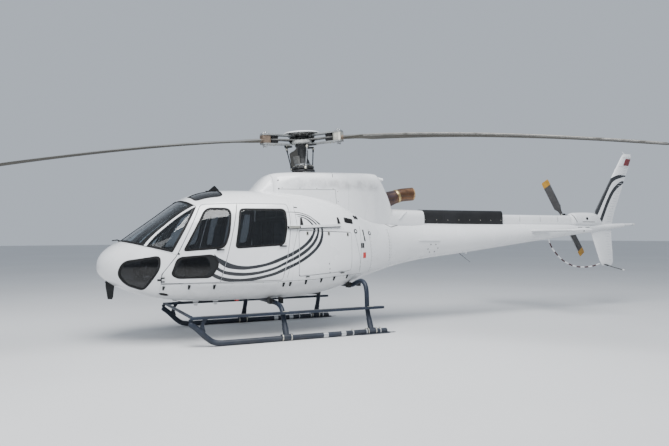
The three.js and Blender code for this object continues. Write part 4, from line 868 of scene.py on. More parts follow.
panel("nose_skin", [on_side(moved(NOSE, HAIRLINE))], [on_side(CHIN_WINDOW)], depth=0.03, whole=True,
      replaces=["nose_shell"])
door_holes = [on_side(moved(outline, -DOOR_SEAM / 2)) for outline in (FRONT_DOOR, REAR_DOOR)]
roof_hole = on_roof(ROOF_WINDOW)
cabin = panel("cabin_skin", [on_side(moved(CABIN, HAIRLINE))], [*door_holes, on_side(SCREEN), roof_hole],
              STRIPE_ZONES, depth=0.05, whole=True, paints=STRIPED, replaces=["cabin_frame"])
panel("belly_skin", [on_side(moved(BELLY, HAIRLINE))], zones=STRIPE_ZONES, depth=0.02, whole=True,
      paints=STRIPED, replaces=["belly_floor"])
baggage_hole = on_side(moved(BAGGAGE_DOOR, -DOOR_SEAM / 2))
panel("rear_skin", [on_side(moved(REAR, HAIRLINE))], [baggage_hole], STRIPE_ZONES, depth=0.03,
      whole=True, paints=STRIPED, replaces=["rear_body"])
print("cabin frame: %d faces" % len(cabin.data.polygons))

# %% [markdown]
# A door leaf is the piece of skin inside the door's outline, and the gap round it is the seam.
# Cutting it from the same form, instead of modelling it apart, keeps the curve across the seam.

# %% Doors
for label, side in SIDES.items():
    windows = [on_side(FRONT_UPPER_WINDOW), on_side(FRONT_LOWER_WINDOW)]
    body = "front_door_" + label
    panel(body + "_leaf", [on_side(moved(FRONT_DOOR, DOOR_SEAM / 2))], windows, STRIPE_ZONES, side=side,
          paints=STRIPED, body=body, replaces=[body])
    panel("rear_door_%s_leaf" % label, [on_side(moved(REAR_DOOR, DOOR_SEAM / 2))], [on_side(REAR_WINDOW)],
          STRIPE_ZONES, side=side, paints=STRIPED, replaces=["rear_door_" + label])
    body = "baggage_door_" + label
    panel(body + "_leaf", [on_side(moved(BAGGAGE_DOOR, DOOR_SEAM / 2))], zones=STRIPE_ZONES, side=side,
          paints=STRIPED, body=body, replaces=[body])
print("doors: 6 leaves")

# %% [markdown]
# Each pane sits four millimetres below the skin. Its border is painted black from behind, which
# hides the glue, and a rubber lip covers the edge. The lower cockpit window has a much wider
# dark border at its rear, and the stripes grow out of it. The border is a zone of the pane's own
# net, so it follows the window's rounded corners at an even distance.

# %% Panes and their rubber lips
PANE_SINK = -0.004
PANE_DEPTH = 0.005
LIP_OUT = 0.011
LIP_IN = 0.013
LIP_RISE = 0.0025
BORDER = 0.022
LOWER_CLEAR = [
    [-2.3, 1.19, 0.06], [-2.38, 0.99, 0.05], [-2.31, 0.958, 0.04], [-1.945, 0.955, 0.07],
    [-1.88, 1.07, 0.1], [-1.93, 1.228, 0.07],
]


def pane(name, corners, clear, side, body, paint, node, line=on_side):
    zones = [(1, line(moved(corners, -0.05))), (0, line(clear))]
    return panel(name, [line(moved(corners, -0.004))], zones=zones, depth=PANE_DEPTH, lift=PANE_SINK,
                 side=side, paints=[paint, PAINTS["black"]], lining=paint, rim=PAINTS["black"], body=body,
                 replaces=[node])


def lip(name, corners, side, body, line=on_side, out=LIP_OUT, inwards=LIP_IN, rise=LIP_RISE):
    return panel(name, [line(moved(corners, -out))], [line(moved(corners, inwards))], depth=0.009,
                 lift=rise, side=side, step=0.02, paints=[PAINTS["rubber"]], lining=PAINTS["rubber"],
                 body=body)


for label, side in SIDES.items():
    door = "front_door_" + label
    panes = [
        (door + "_upper_window", FRONT_UPPER_WINDOW, moved(FRONT_UPPER_WINDOW, BORDER), door, "smoked"),
        (door + "_lower_window", FRONT_LOWER_WINDOW, LOWER_CLEAR, door, "dark"),
        ("rear_door_%s_window" % label, REAR_WINDOW, moved(REAR_WINDOW, BORDER), "root", "smoked"),
        ("chin_window_" + label, CHIN_WINDOW, moved(CHIN_WINDOW, BORDER), "root", "dark"),
    ]
    for node, corners, clear, body, tint in panes:
        pane(node + "_pane", corners, clear, side, body, GLASS[tint], node)
        lip(node + "_lip", corners, side, body)
    pane("roof_window_%s_pane" % label, ROOF_WINDOW, moved(ROOF_WINDOW, BORDER), side, "root",
         GLASS["dark"], "roof_window_" + label, on_roof)
    lip("roof_window_%s_lip" % label, ROOF_WINDOW, side, "root", on_roof)
print("panes: 10")

# %% [markdown]
# The windscreen is one curved sheet on each side of a middle post. A second pair of posts runs
# along its outer corners: inside they are dark ribs, and outside each shows a thin white strip
# with a black glued border in front of it. The strips are cut out of the same skin, a little
# proud of the glass.

# %% Windscreen and its posts
CORNER_POST = 0.685
POST_HALF = 0.022
POST_FRONT_X = -3.04
POST_REAR_X = -2.0


def strip(near, far):
    """A band that runs along the roof between two distances from the middle."""
    return on_roof([[POST_FRONT_X, near], [POST_FRONT_X, far], [POST_REAR_X, far], [POST_REAR_X, near]])


screen_edge = on_side(moved(SCREEN, -0.004))
screen_clear = on_side(moved(SCREEN, 0.024))
for label, side in SIDES.items():
    zones = [(1, on_side(moved(SCREEN, -0.05))), (0, screen_clear), (1, strip(0.612, 0.7)),
             (1, strip(0, 0.024))]
    panel("windscreen_%s_pane" % label, [screen_edge], zones=zones, depth=PANE_DEPTH, lift=PANE_SINK,
          side=side, paints=[GLASS["clear"], PAINTS["black"]], lining=GLASS["clear"], rim=PAINTS["black"],
          replaces=["windscreen_" + label])
    panel("corner_post_" + label, [strip(CORNER_POST - POST_HALF, CORNER_POST + POST_HALF), screen_edge],
          depth=0.042, lift=-0.011, side=side, paints=[PAINTS["black"]])
    panel("corner_strip_" + label, [strip(0.676, 0.702), screen_edge], depth=0.008, lift=0.003, side=side,
          step=0.02)
panel("middle_post", [strip(0, POST_HALF), screen_edge], depth=0.042, lift=-0.011, whole=True,
      paints=[PAINTS["black"]])
panel("middle_strip", [strip(0, 0.016), screen_edge], depth=0.006, lift=0.001, whole=True, step=0.02,
      paints=[PAINTS["rubber"]])
panel("windscreen_lip", [on_side(moved(SCREEN, -0.012))], [on_side(moved(SCREEN, 0.01))], depth=0.009,
      lift=0.0025, whole=True, step=0.02, paints=[PAINTS["rubber"]], lining=PAINTS["rubber"])
print("windscreen done")

# %% [markdown]
# The cowls, the fairings behind them and the covers over the tail drive all sit on the fuselage
# like saddles. Each is a form of its own, made of a few sections, and its lower edge is where
# that form meets the fuselage. The meeting line is found by halving: at each station the angle
# moves up or down until both skins stand out equally far.


# %% Covers that sit on the fuselage
def saddle(form, x_from, x_to, step=0.03):
    """The half outline of a cover: its meeting line with the fuselage, and the top's middle."""
    xs = np.linspace(x_from, x_to, max(4, int((x_to - x_from) / step)))
    low, high = np.full(len(xs), -1.3), np.full(len(xs), 1.53)
    for _ in range(30):
        middle = (low + high) / 2
        spot = form.point(form.length_of(xs), middle)
        wider = HULL.half_width(xs, spot[:, 2]) > spot[:, 1]
        low, high = np.where(wider, middle, low), np.where(wider, high, middle)
    lower = np.stack([form.length_of(xs), form.arc * (low - 0.02)], -1)
    upper = np.stack([form.length_of(xs), np.full(len(xs), form.arc * math.pi / 2)], -1)
    return fill_line(np.concatenate([lower, upper[::-1]]), step, closed=True)


def top_hole(form, x, radius, step=0.03):
    """Half a round hole through the middle of a cover's top."""
    turn = np.linspace(0, math.pi, 25)
    xs, ys = x + radius * np.cos(turn), radius * np.sin(turn)
    curve = np.stack([form.length_of(xs), form.arc * form.angle_at_offset(xs, ys)], -1)
    return fill_line(curve, step, closed=True)


def cover(name, form, x_from, x_to, paint, node, holes=(), depth=0.01, step=0.03, slot="body_paint"):
    return panel(name, [saddle(form, x_from, x_to)], holes, depth=depth, step=step, whole=True,
                 paints=[paint], lining=PAINTS["matt_black"], replaces=[node], form=form)

# %% Sections of the cowl
COWL = Form([
    # x, half-width, top, widest height, bottom, squareness above, squareness below
    [-1.1, 0.25, 2.19, 2.08, 1.62, 2.6, 12], [-1.045, 0.29, 2.203, 2.08, 1.62, 2.6, 12],
    [-1.0, 0.31, 2.247, 2.08, 1.62, 2.8, 12], [-0.94, 0.325, 2.318, 2.08, 1.62, 2.9, 12],
    [-0.88, 0.337, 2.388, 2.08, 1.62, 3.0, 12], [-0.82, 0.348, 2.446, 2.08, 1.62, 3.1, 12],
    [-0.77, 0.36, 2.478, 2.08, 1.62, 3.3, 12], [-0.745, 0.395, 2.492, 2.08, 1.62, 3.4, 12],
    [-0.7, 0.43, 2.503, 2.08, 1.62, 3.8, 12], [-0.62, 0.45, 2.514, 2.08, 1.62, 4.2, 12],
    [-0.34, 0.46, 2.53, 2.08, 1.62, 5.0, 12], [0.1, 0.452, 2.543, 2.08, 1.62, 5.0, 12],
    [0.53, 0.44, 2.557, 2.08, 1.62, 5.0, 12], [1.0, 0.385, 2.564, 2.08, 1.62, 4.6, 12],
    [1.11, 0.35, 2.558, 2.08, 1.62, 4.4, 12], [1.18, 0.33, 2.5, 2.08, 1.62, 4.2, 12],
    [1.24, 0.312, 2.41, 2.08, 1.62, 4.1, 12], [1.29, 0.298, 2.31, 2.07, 1.62, 4.0, 12],
    [1.34, 0.286, 2.19, 2.05, 1.62, 4.0, 12], [1.385, 0.276, 2.05, 1.98, 1.62, 4.0, 12],
    [1.43, 0.268, 1.9, 1.84, 1.62, 4.0, 12],
], arc=0.5, round_nose=0)


# %% White paint with exhaust film
def smoky_white():
    """White paint with the grey film that exhaust gas leaves along the upper sides."""
    material = finish("cowl_white", (0.8, 0.81, 0.82), 0.26, tone=0.025, tone_scale=1.6, coat=0.6,
                      rough_drift=0.05)
    tree = material.node_tree
    shader = tree.nodes["Principled BSDF"]
    place = tree.nodes["Texture Coordinate"].outputs["Object"]
    clean = shader.inputs["Base Color"].links[0].from_socket
    parts = add(tree, "ShaderNodeSeparateXYZ", {0: place})
    rise = ramp(tree, parts.outputs["Z"], 1.66, 1.76)
    fall = ramp(tree, parts.outputs["Z"], 1.91, 1.82)
    start = ramp(tree, parts.outputs["X"], -0.72, -0.4)
    end = ramp(tree, parts.outputs["X"], 1.25, 0.95)
    band = times(tree, times(tree, rise, fall),
                     times(tree, start, end))
    cloud = use_group(tree, "tone", {"Place": place, "Scale": 5.0})
    film = times(tree, times(tree, band, cloud), 0.62)
    tree.links.new(mix_colours(tree, film, clean, (0.34, 0.34, 0.35, 1)), shader.inputs["Base Color"])
    return material


PAINTS["cowl_white"] = smoky_white()
MAST_X = -0.111
MAST_HOLE = 0.215
FRONT_COWL_END_X = -0.762
ENGINE_COWL_START_X = 0.5

cover("front_cowl_skin", COWL, -1.04, FRONT_COWL_END_X - HAIRLINE, PAINTS["white"], "front_cowl")
cover("gearbox_cowl_skin", COWL, FRONT_COWL_END_X + HAIRLINE, ENGINE_COWL_START_X - HAIRLINE,
      PAINTS["cowl_white"], "gearbox_cowl", [top_hole(COWL, MAST_X, MAST_HOLE)])
cover("engine_cowl_skin", COWL, ENGINE_COWL_START_X + HAIRLINE, 1.428, PAINTS["cowl_white"], "engine_cowl")

DECK = Form([[1.36, 0.284, 1.968, 1.74, 1.6, 3.5, 3], [1.8, 0.225, 1.962, 1.74, 1.6, 3.5, 3],
             [2.14, 0.165, 1.955, 1.74, 1.6, 3.5, 3]], arc=0.3, round_nose=0)
cover("deck_fairing_skin", DECK, 1.362, 2.139, PAINTS["white"], "deck_fairing")
FRONT_COVER = Form([[2.14, 0.105, 1.968, 1.755, 1.69, 4, 4], [3.0, 0.105, 1.968, 1.755, 1.69, 4, 4],
                    [3.96, 0.105, 1.968, 1.755, 1.69, 4, 4]], arc=0.18, round_nose=0)
cover("shaft_cover_front_skin", FRONT_COVER, 2.142, 3.958, PAINTS["matt_black"], "shaft_cover_front",
      step=0.035, slot="black_paint")
REAR_COVER = Form([[3.96, 0.08, 1.898, 1.755, 1.69, 4, 4], [5.0, 0.08, 1.898, 1.755, 1.69, 4, 4],
                   [5.745, 0.08, 1.898, 1.755, 1.69, 4, 4]], arc=0.15, round_nose=0)
cover("shaft_cover_rear_skin", REAR_COVER, 3.961, 5.744, PAINTS["white"], "shaft_cover_rear", step=0.03)
GEARBOX = Form([[5.745, 0.085, 1.905, 1.78, 1.69, 2.6, 3], [5.8, 0.106, 1.938, 1.78, 1.69, 2.6, 3],
                [5.86, 0.118, 1.955, 1.78, 1.69, 2.6, 3], [6.2, 0.118, 1.965, 1.78, 1.69, 2.6, 3],
                [6.4, 0.1, 1.96, 1.78, 1.69, 2.6, 3], [6.5, 0.082, 1.935, 1.78, 1.69, 2.6, 3],
                [6.58, 0.066, 1.86, 1.77, 1.69, 2.6, 3], [6.66, 0.048, 1.775, 1.74, 1.69, 2.6, 3]],
               arc=0.18, round_nose=0)
cover("tail_gearbox_skin", GEARBOX, 5.746, 6.658, PAINTS["white"], "tail_gearbox_fairing", step=0.02)

BOOM = Form(STATIONS, arc=0.32)
keel, top = -math.pi / 2 * BOOM.arc, math.pi / 2 * BOOM.arc
boom_from, boom_to = BOOM.length_of([BOOM_JOINT_X + HAIRLINE, 7.328])
boom_outline = fill_line([[boom_from, keel], [boom_to, keel], [boom_to, top], [boom_from, top]], 0.04, True)
panel("boom_skin", [boom_outline], depth=0.008, step=0.04, whole=True, replaces=["tail_boom"], form=BOOM)
print("covers done")

# %% [markdown]
# Mechanical pieces are built from closed bodies: turned ones, prisms and rods. A small maker
# collects the bodies of one piece and gives each its finish. Every body is checked to face
# outwards, and a fine bevel takes the knife edge off, because it is the light on an edge that
# tells the eye how big a thing is.


# %% The maker of mechanical pieces
class Maker:
    def __init__(self, name, *finishes):
        self.name, self.finishes = name, finishes
        self.verts, self.faces, self.numbers = [], [], []

    def add(self, points, faces, finish=0, place=None):
        """One closed body. place turns and moves it."""
        spots = [place @ Vector(p) if place else Vector(p) for p in points]
        volume = 0.0
        for face in faces:
            for k in range(1, len(face) - 1):
                a, b, c = spots[face[0]], spots[face[k]], spots[face[k + 1]]
                volume += a.dot(b.cross(c))
        base = len(self.verts)
        self.verts.extend(spots)
        for face in faces:
            turned = face if volume > 0 else face[::-1]
            self.faces.append(tuple(i + base for i in turned))
            self.numbers.append(finish)
        return self

    def lathe(self, profile, finish=0, place=None, parts=40, ring=False):
        """A turned body from points [radius, height]. It starts and ends on the axis, or is a ring."""
        points, rows = [], []
        for radius, height in profile:
            if radius < 1e-9:
                rows.append([len(points)] * parts)
                points.append((0, 0, height))
            else:
                rows.append(list(range(len(points), len(points) + parts)))
                for k in range(parts):
                    turn = 2 * math.pi * k / parts
                    points.append((radius * math.cos(turn), radius * math.sin(turn), height))
        faces = []
        pairs = list(zip(rows, rows[1:])) + ([(rows[-1], rows[0])] if ring else [])
        for low, high in pairs:
            for k in range(parts):
                n = (k + 1) % parts
                corners = [low[k], low[n], high[n], high[k]]
                face = tuple(dict.fromkeys(corners))
                if len(face) > 2:
                    faces.append(face)
        return self.add(points, faces, finish, place)

    def prism(self, outline, low, high, finish=0, place=None):
        count = len(outline)
        points = [(u, v, low) for u, v in outline] + [(u, v, high) for u, v in outline]
        faces = [tuple(range(count)), tuple(range(2 * count - 1, count - 1, -1))]
        faces += [(k, k + count, (k + 1) % count + count, (k + 1) % count) for k in range(count)]
        return self.add(points, faces, finish, place)

    def box(self, low, high, finish=0, place=None):
        outline = [(low[0], low[1]), (high[0], low[1]), (high[0], high[1]), (low[0], high[1])]
        return self.prism(outline, low[2], high[2], finish, place)

    def rod(self, line, radius, finish=0, place=None, sides=14):
        """A round bar along a bent line. radius is one number or one for each point."""
        line = [Vector(p) for p in line]
        radii = radius if isinstance(radius, (list, tuple)) else [radius] * len(line)
        points, across = [], None
        for k, here in enumerate(line):
            ahead = line[min(k + 1, len(line) - 1)] - line[max(k - 1, 0)]
            ahead.normalize()
            guide = across if across else (Vector((1, 0, 0)) if abs(ahead.z) > 0.9 else Vector((0, 0, 1)))
            across = (guide - ahead * guide.dot(ahead)).normalized()
            other = ahead.cross(across)
            for j in range(sides):
                turn = 2 * math.pi * j / sides
                points.append(here + (across * math.cos(turn) + other * math.sin(turn)) * radii[k])
        faces = [tuple(range(sides)), tuple(range(len(points) - sides, len(points)))[::-1]]
        for k in range(len(line) - 1):
            for j in range(sides):
                a, b = k * sides + j, k * sides + (j + 1) % sides
                faces.append((a, a + sides, b + sides, b))
        return self.add(points, faces, finish, place)

    def done(self, body="root", slot="black_paint", replaces=(), bevel=0.0015, sharp=35):
        mesh = bpy.data.meshes.new(self.name)
        mesh.from_pydata([tuple(v) for v in self.verts], [], self.faces)
        for material in self.finishes:
            mesh.materials.append(material)
        mesh.polygons.foreach_set("material_index", self.numbers)
        mesh.shade_smooth()
        mesh.set_sharp_from_angle(angle=math.radians(sharp))
        piece = add_object(self.name, place_mesh(mesh), body, replaces)
        if bevel:
            edge = piece.modifiers.new("soft_edges", "BEVEL")
            edge.width = bevel
            edge.segments = 2
            edge.limit_method = "ANGLE"
            edge.angle_limit = math.radians(sharp)
            piece.modifiers.new("even_normals", "WEIGHTED_NORMAL").keep_sharp = True
        return piece


# %% Places, turns and simple sections
def shifted(x, y, z):
    return Matrix.Translation((x, y, z))


def turned(degrees, axis):
    return Matrix.Rotation(math.radians(degrees), 4, axis)


def disc(radius, low, high):
    """The half section of a plain round slab, for the lathe."""
    return [(0, low), (radius, low), (radius, high), (0, high)]


def hoop(inner, outer, low, high):
    """The half section of a plain ring."""
    return [(inner, low), (outer, low), (outer, high), (inner, high)]


def bar_faces(count):
    """The faces of a square bar through so many cross sections of four points each."""
    faces = [(0, 1, 2, 3), tuple(4 * count - 4 + j for j in (3, 2, 1, 0))]
    for k in range(0, 4 * count - 4, 4):
        faces += [(k + j, k + (j + 1) % 4, k + 4 + (j + 1) % 4, k + 4 + j) for j in range(4)]
    return faces


# An outline in (u, v) stood upright: u along the machine, or u across it
SIDE_ON = Matrix(((1, 0, 0, 0), (0, 0, -1, 0), (0, 1, 0, 0), (0, 0, 0, 1)))
END_ON = Matrix(((0, 0, 1, 0), (1, 0, 0, 0), (0, 1, 0, 0), (0, 0, 0, 1)))


def frame_at(point, facing, along=(1, 0, 0)):
    """Where a fitting sits: its own Z looks out along facing, and its X follows along."""
    z = Vector(facing).normalized()
    x = Vector(along)
    x = (x - z * x.dot(z)).normalized()
    axes = Matrix((x, z.cross(x), z)).transposed().to_4x4()
    return Matrix.Translation(Vector(point)) @ axes


# %% End walls of the covers
def wall(name, form, x, thickness, paint, slot="body_paint"):
    """The upright end of a cover: its section, filled."""
    angles = np.linspace(-0.6, math.pi / 2, 30)
    spots = form.point(np.full(30, form.length_of(x)), angles)
    half = [(p[1], p[2]) for p in spots if p[1] > HULL.half_width(x, p[2]) - 0.02 or p[2] > 1.7]
    outline = half + [(-y, z) for y, z in half[-2::-1]]
    return Maker(name, paint).prism(outline, x, x + thickness, 0, END_ON).done(slot=slot, bevel=0)


wall("deck_fairing_end", DECK, 2.13, 0.009, PAINTS["white"])
wall("front_cover_end", FRONT_COVER, 3.95, 0.01, PAINTS["matt_black"], "black_paint")
wall("front_cover_start", FRONT_COVER, 2.14, 0.01, PAINTS["matt_black"], "black_paint")
wall("engine_cowl_end", COWL, 1.42, 0.008, PAINTS["white"])

# %% [markdown]
# Tubes, rivets and bolts repeat or follow a path, so Geometry Nodes make them. The first tree
# sweeps a round profile along a curve and thickens it by the curve's own radius. The second sets
# a small turned head on every point of a mesh, upright on that point's own direction. Both have
# named inputs and end in Realize Instances and Set Material. The result is turned into a plain
# mesh at once, so that nothing live remains on the finished piece.


# %% Geometry Nodes: the trees
def geometry_tree(name, inputs):
    tree = bpy.data.node_groups.new(name, "GeometryNodeTree")
    tree.interface.new_socket("Geometry", in_out="INPUT", socket_type="NodeSocketGeometry")
    for label, kind, value in inputs:
        socket = tree.interface.new_socket(label, in_out="INPUT", socket_type=kind)
        if value is not None:
            socket.default_value = value
    tree.interface.new_socket("Geometry", in_out="OUTPUT", socket_type="NodeSocketGeometry")
    return tree, tree.nodes.new("NodeGroupInput"), tree.nodes.new("NodeGroupOutput")


def finish_tree(tree, given, out, geometry):
    real = add(tree, "GeometryNodeRealizeInstances", {"Geometry": geometry}).outputs[0]
    inputs = {"Geometry": real, "Material": given.outputs["Material"]}
    tree.links.new(add(tree, "GeometryNodeSetMaterial", inputs).outputs[0], out.inputs[0])
    return tree


def build_tube_tree():
    tree, given, out = geometry_tree("tube_along_path", [("Radius", FLOAT, 0.02),
                                     ("Sides", "NodeSocketInt", 16),
                                                         ("Material", "NodeSocketMaterial", None)])
    profile = add(tree, "GeometryNodeCurvePrimitiveCircle", {"Resolution": given.outputs["Sides"],
                  "Radius": given.outputs["Radius"]}).outputs["Curve"]
    swell = add(tree, "GeometryNodeInputRadius").outputs[0]
    swept = add(tree, "GeometryNodeCurveToMesh", {"Curve": given.outputs["Geometry"],
                "Profile Curve": profile, "Scale": swell, "Fill Caps": True}).outputs[0]
    smooth = add(tree, "GeometryNodeSetShadeSmooth", {"Geometry": swept}).outputs[0]
    return finish_tree(tree, given, out, smooth)


# %% Geometry Nodes: heads and blocks on points
def build_head_tree():
    tree, given, out = geometry_tree("heads_on_points", [
        ("Radius", FLOAT, 0.005), ("Height", FLOAT, 0.003), ("Top Share", FLOAT, 0.6),
        ("Sides", "NodeSocketInt", 10), ("Material", "NodeSocketMaterial", None)])
    top = times(tree, given.outputs["Radius"], given.outputs["Top Share"])
    head = add(tree, "GeometryNodeMeshCone", {"Vertices": given.outputs["Sides"], "Radius Top": top,
               "Radius Bottom": given.outputs["Radius"], "Depth": given.outputs["Height"]}).outputs["Mesh"]
    facing = add(tree, "GeometryNodeInputNamedAttribute", {"Name": "facing"},
                 data_type="FLOAT_VECTOR").outputs["Attribute"]
    turn = add(tree, "FunctionNodeAlignRotationToVector", {"Vector": facing}, axis="Z").outputs[0]
    spots = add(tree, "GeometryNodeInstanceOnPoints", {"Points": given.outputs["Geometry"],
                "Instance": head, "Rotation": turn}).outputs[0]
    return finish_tree(tree, given, out, spots)


def build_block_tree():
    """A small block on every point, turned by the point's facing and along directions."""
    tree, given, out = geometry_tree("blocks_on_points", [("Size", VECTOR, (0.02, 0.01, 0.01)),
                                     ("Material", "NodeSocketMaterial", None)])
    block = add(tree, "GeometryNodeMeshCube", {"Size": given.outputs["Size"]}).outputs["Mesh"]
    vectors = [add(tree, "GeometryNodeInputNamedAttribute", {"Name": key},
                   data_type="FLOAT_VECTOR").outputs["Attribute"] for key in ("facing", "along")]
    upright = add(tree, "FunctionNodeAlignRotationToVector", {"Vector": vectors[0]}, axis="Z").outputs[0]
    turn = add(tree, "FunctionNodeAlignRotationToVector", {"Rotation": upright, "Vector": vectors[1]},
               axis="X", pivot_axis="Z").outputs[0]
    spots = add(tree, "GeometryNodeInstanceOnPoints", {"Points": given.outputs["Geometry"],
                "Instance": block, "Rotation": turn}).outputs[0]
    return finish_tree(tree, given, out, spots)

# %% Geometry Nodes: the three trees
TUBE_TREE = build_tube_tree()
HEAD_TREE = build_head_tree()
BLOCK_TREE = build_block_tree()


# %% Geometry Nodes: growing a plain mesh
def grown(name, data, tree, values):
    """What a tree makes of a curve or of points, as a plain mesh in the model's frame."""
    holder = bpy.data.objects.new(name + "_seed", data)
    bpy.context.scene.collection.objects.link(holder)
    modifier = holder.modifiers.new("growth", "NODES")
    modifier.node_group = tree
    sockets = {item.name: item.identifier for item in tree.interface.items_tree if item.in_out == "INPUT"}
    for label, value in values.items():
        modifier[sockets[label]] = value
    graph = bpy.context.evaluated_depsgraph_get()
    mesh = bpy.data.meshes.new_from_object(holder.evaluated_get(graph))
    mesh.name = name
    bpy.data.objects.remove(holder)
    return place_mesh(mesh)


def path_curve(name, line, radii=None):
    data = bpy.data.curves.new(name, "CURVE")
    data.dimensions = "3D"
    spline = data.splines.new("POLY")
    spline.points.add(len(line) - 1)
    for k, point in enumerate(line):
        spline.points[k].co = (*point, 1)
        spline.points[k].radius = radii[k] if radii is not None else 1.0
    return data


def tube(name, line, radius, material, body="root", replaces=(), sides=20, radii=None):
    mesh = grown(name, path_curve(name, line, radii), TUBE_TREE,
                 {"Radius": radius, "Sides": sides, "Material": material})
    mesh.set_sharp_from_angle(angle=math.radians(50))
    return add_object(name, mesh, body, replaces)


def point_mesh(name, spots, facings, alongs=None):
    mesh = bpy.data.meshes.new(name)
    mesh.from_pydata([tuple(p) for p in spots], [], [])
    for key, vectors in (("facing", facings), ("along", alongs)):
        if vectors is not None:
            layer = mesh.attributes.new(key, "FLOAT_VECTOR", "POINT")
            layer.data.foreach_set("vector", np.asarray(vectors, np.float32).reshape(-1))
    return mesh


def heads(name, spots, facings, radius, height, material, body="root", sides=10,
          share=0.6):
    mesh = grown(name, point_mesh(name, spots, facings), HEAD_TREE,
                 {"Radius": radius, "Height": height, "Top Share": share, "Sides": sides,
                  "Material": material})
    return add_object(name, mesh, body)


def blocks(name, spots, facings, alongs, size, material, body="root"):
    mesh = grown(name, point_mesh(name, spots, facings, alongs), BLOCK_TREE,
                 {"Size": size, "Material": material})
    return add_object(name, mesh, body)


print("geometry trees:", TUBE_TREE.name, HEAD_TREE.name, BLOCK_TREE.name)

# %% [markdown]
# Fins, tailplane and rotor blades are lifting surfaces. Seen flat, each has an outline. Across
# that outline the thickness follows a wing section: round at the front, fullest at a third and
# sharp at the rear. So a blade is two nets of the same outline, pushed apart by that thickness
# and closed along the edge. Paint changes, such as a metal leading edge, are zones of the net.


# %% Lifting surfaces
def section_share(chord_share):
    """Half-thickness of a wing section: 1 at its fullest, nothing at both ends."""
    c = np.clip(chord_share, 0, 1)
    curve = 0.2969 * np.sqrt(c) - 0.126 * c - 0.3516 * c**2 + 0.2843 * c**3 - 0.1036 * c**4
    return np.maximum(curve, 0) / 0.1


def lifting_surface(name, rows, place, half, zones=(), paints=(), under=None, step=0.04, stretch=1.0,
                    body="root", replaces=(), tip=0.05, smooth_rows=True):
    """rows are [span, leading edge, trailing edge]. half gives the half-thickness at a span, and
    place puts (span, chord, height) into the machine."""
    rows = np.array(rows, float)
    ease = eased if smooth_rows and len(rows) > 2 else (lambda xs, ys, at: np.interp(at, xs, ys))
    spans = np.linspace(rows[0, 0], rows[-1, 0], max(3, int((rows[-1, 0] - rows[0, 0]) / stretch / step)))
    lead, trail = ease(rows[:, 0], rows[:, 1], spans), ease(rows[:, 0], rows[:, 2], spans)
    outline = np.concatenate([np.stack([spans, lead], -1), np.stack([spans, trail], -1)[::-1]])
    squeeze = np.array([1 / stretch, 1.0])
    outline = fill_line(outline * squeeze, step, closed=True)
    creases = []
    for share in (0.006, 0.02, 0.05, 0.1, 0.18):
        line = np.stack([spans, lead + (trail - lead) * share], -1) * squeeze
        creases.append((0, np.concatenate([line, line[::-1]])))
    marked = [(number, np.asarray(loop) * squeeze) for number, loop in zones]
    flat, faces, numbers = net([outline], [], creases + marked, step)
    span, chord = flat[:, 0] * stretch, flat[:, 1]
    front, rear = ease(rows[:, 0], rows[:, 1], span), ease(rows[:, 0], rows[:, 2], span)
    share = (chord - front) / (rear - front)
    close = np.sqrt(np.clip((rows[-1, 0] - span) / tip, 0, 1)) if tip else 1.0
    thick = section_share(share) * half(span) * close
    upper, lower = place(span, chord, thick), place(span, chord, -thick)
    count = len(flat)
    points = np.concatenate([upper, lower])
    border = border_edges(faces)
    triangles = [tuple(f) for f in faces] + [(c + count, b + count, a + count) for a, b, c in faces]
    for i, j in border:
        triangles += [(j, i, i + count), (j, i + count, j + count)]
    lower_number = len(paints) if under else 0
    marks = list(numbers) + [n if n else lower_number for n in numbers] + [0] * (2 * len(border))
    faces = np.array(triangles)
    points, _, faces, marks = merged(points, points, faces, np.array(marks))
    a, b, c = (points[faces[:, k]] for k in range(3))
    if (np.cross(a, b) * c).sum() < 0:
        faces = faces[:, ::-1]
    mesh = bpy.data.meshes.new(name)
    mesh.from_pydata([tuple(p) for p in points], [], [tuple(int(i) for i in f) for f in faces])
    for material in [*paints, *([under] if under else [])]:
        mesh.materials.append(material)
    mesh.polygons.foreach_set("material_index", list(marks))
    mesh.shade_smooth()
    mesh.set_sharp_from_angle(angle=math.radians(40))
    return add_object(name, place_mesh(mesh), body, replaces)

# %% [markdown]
# Both fins and the tailplane are thin symmetrical wings without a twist. Only the upper fin has
# stripes, drawn as two ribbons that grow wider towards the root and cut into the net as zones.

# %% Fins and tailplane
UPPER_FIN = [[1.66, 6.44, 6.965], [1.99, 6.5, 7.075], [3.16, 7.29, 7.605], [3.22, 7.338, 7.604],
             [3.245, 7.372, 7.588]]
LOWER_FIN = [[-1.66, 6.335, 6.96], [-0.95, 6.62, 7.01], [-0.88, 6.668, 6.99], [-0.85, 6.7, 6.955]]
TAILPLANE = [[0.1, 4.59, 5.055], [1.225, 4.59, 5.055], [1.252, 4.602, 5.045], [1.265, 4.63, 5.02]]
FIN_STRIPES = [
    ([[2.766, 7.44], [2.758, 7.28], [2.709, 7.073], [2.601, 6.93], [2.311, 6.74], [1.943, 6.512],
      [1.74, 6.385]],
     0.082),
    ([[2.64, 7.39], [2.62, 7.31], [2.56, 7.18], [2.419, 7.0], [2.17, 6.828], [1.784, 6.625], [1.69, 6.58]],
     0.086),
]


def ribbon(line, width):
    """A closed band along a line, thinner where it starts."""
    line = smooth_line(line, 6)
    ahead = np.gradient(line, axis=0)
    side = np.stack([-ahead[:, 1], ahead[:, 0]], -1) / np.linalg.norm(ahead, axis=1, keepdims=True)
    t = np.linspace(0, 1, len(line))
    grow = np.clip(t / 0.35 + 0.3, 0.3, 1)[:, None]
    return np.concatenate([line + side * grow * width / 2, (line - side * grow * width / 2)[::-1]])


def upright(span, chord, height):
    return np.stack([chord, height, span], -1)


def hanging(span, chord, height):
    return np.stack([chord, height, -span], -1)


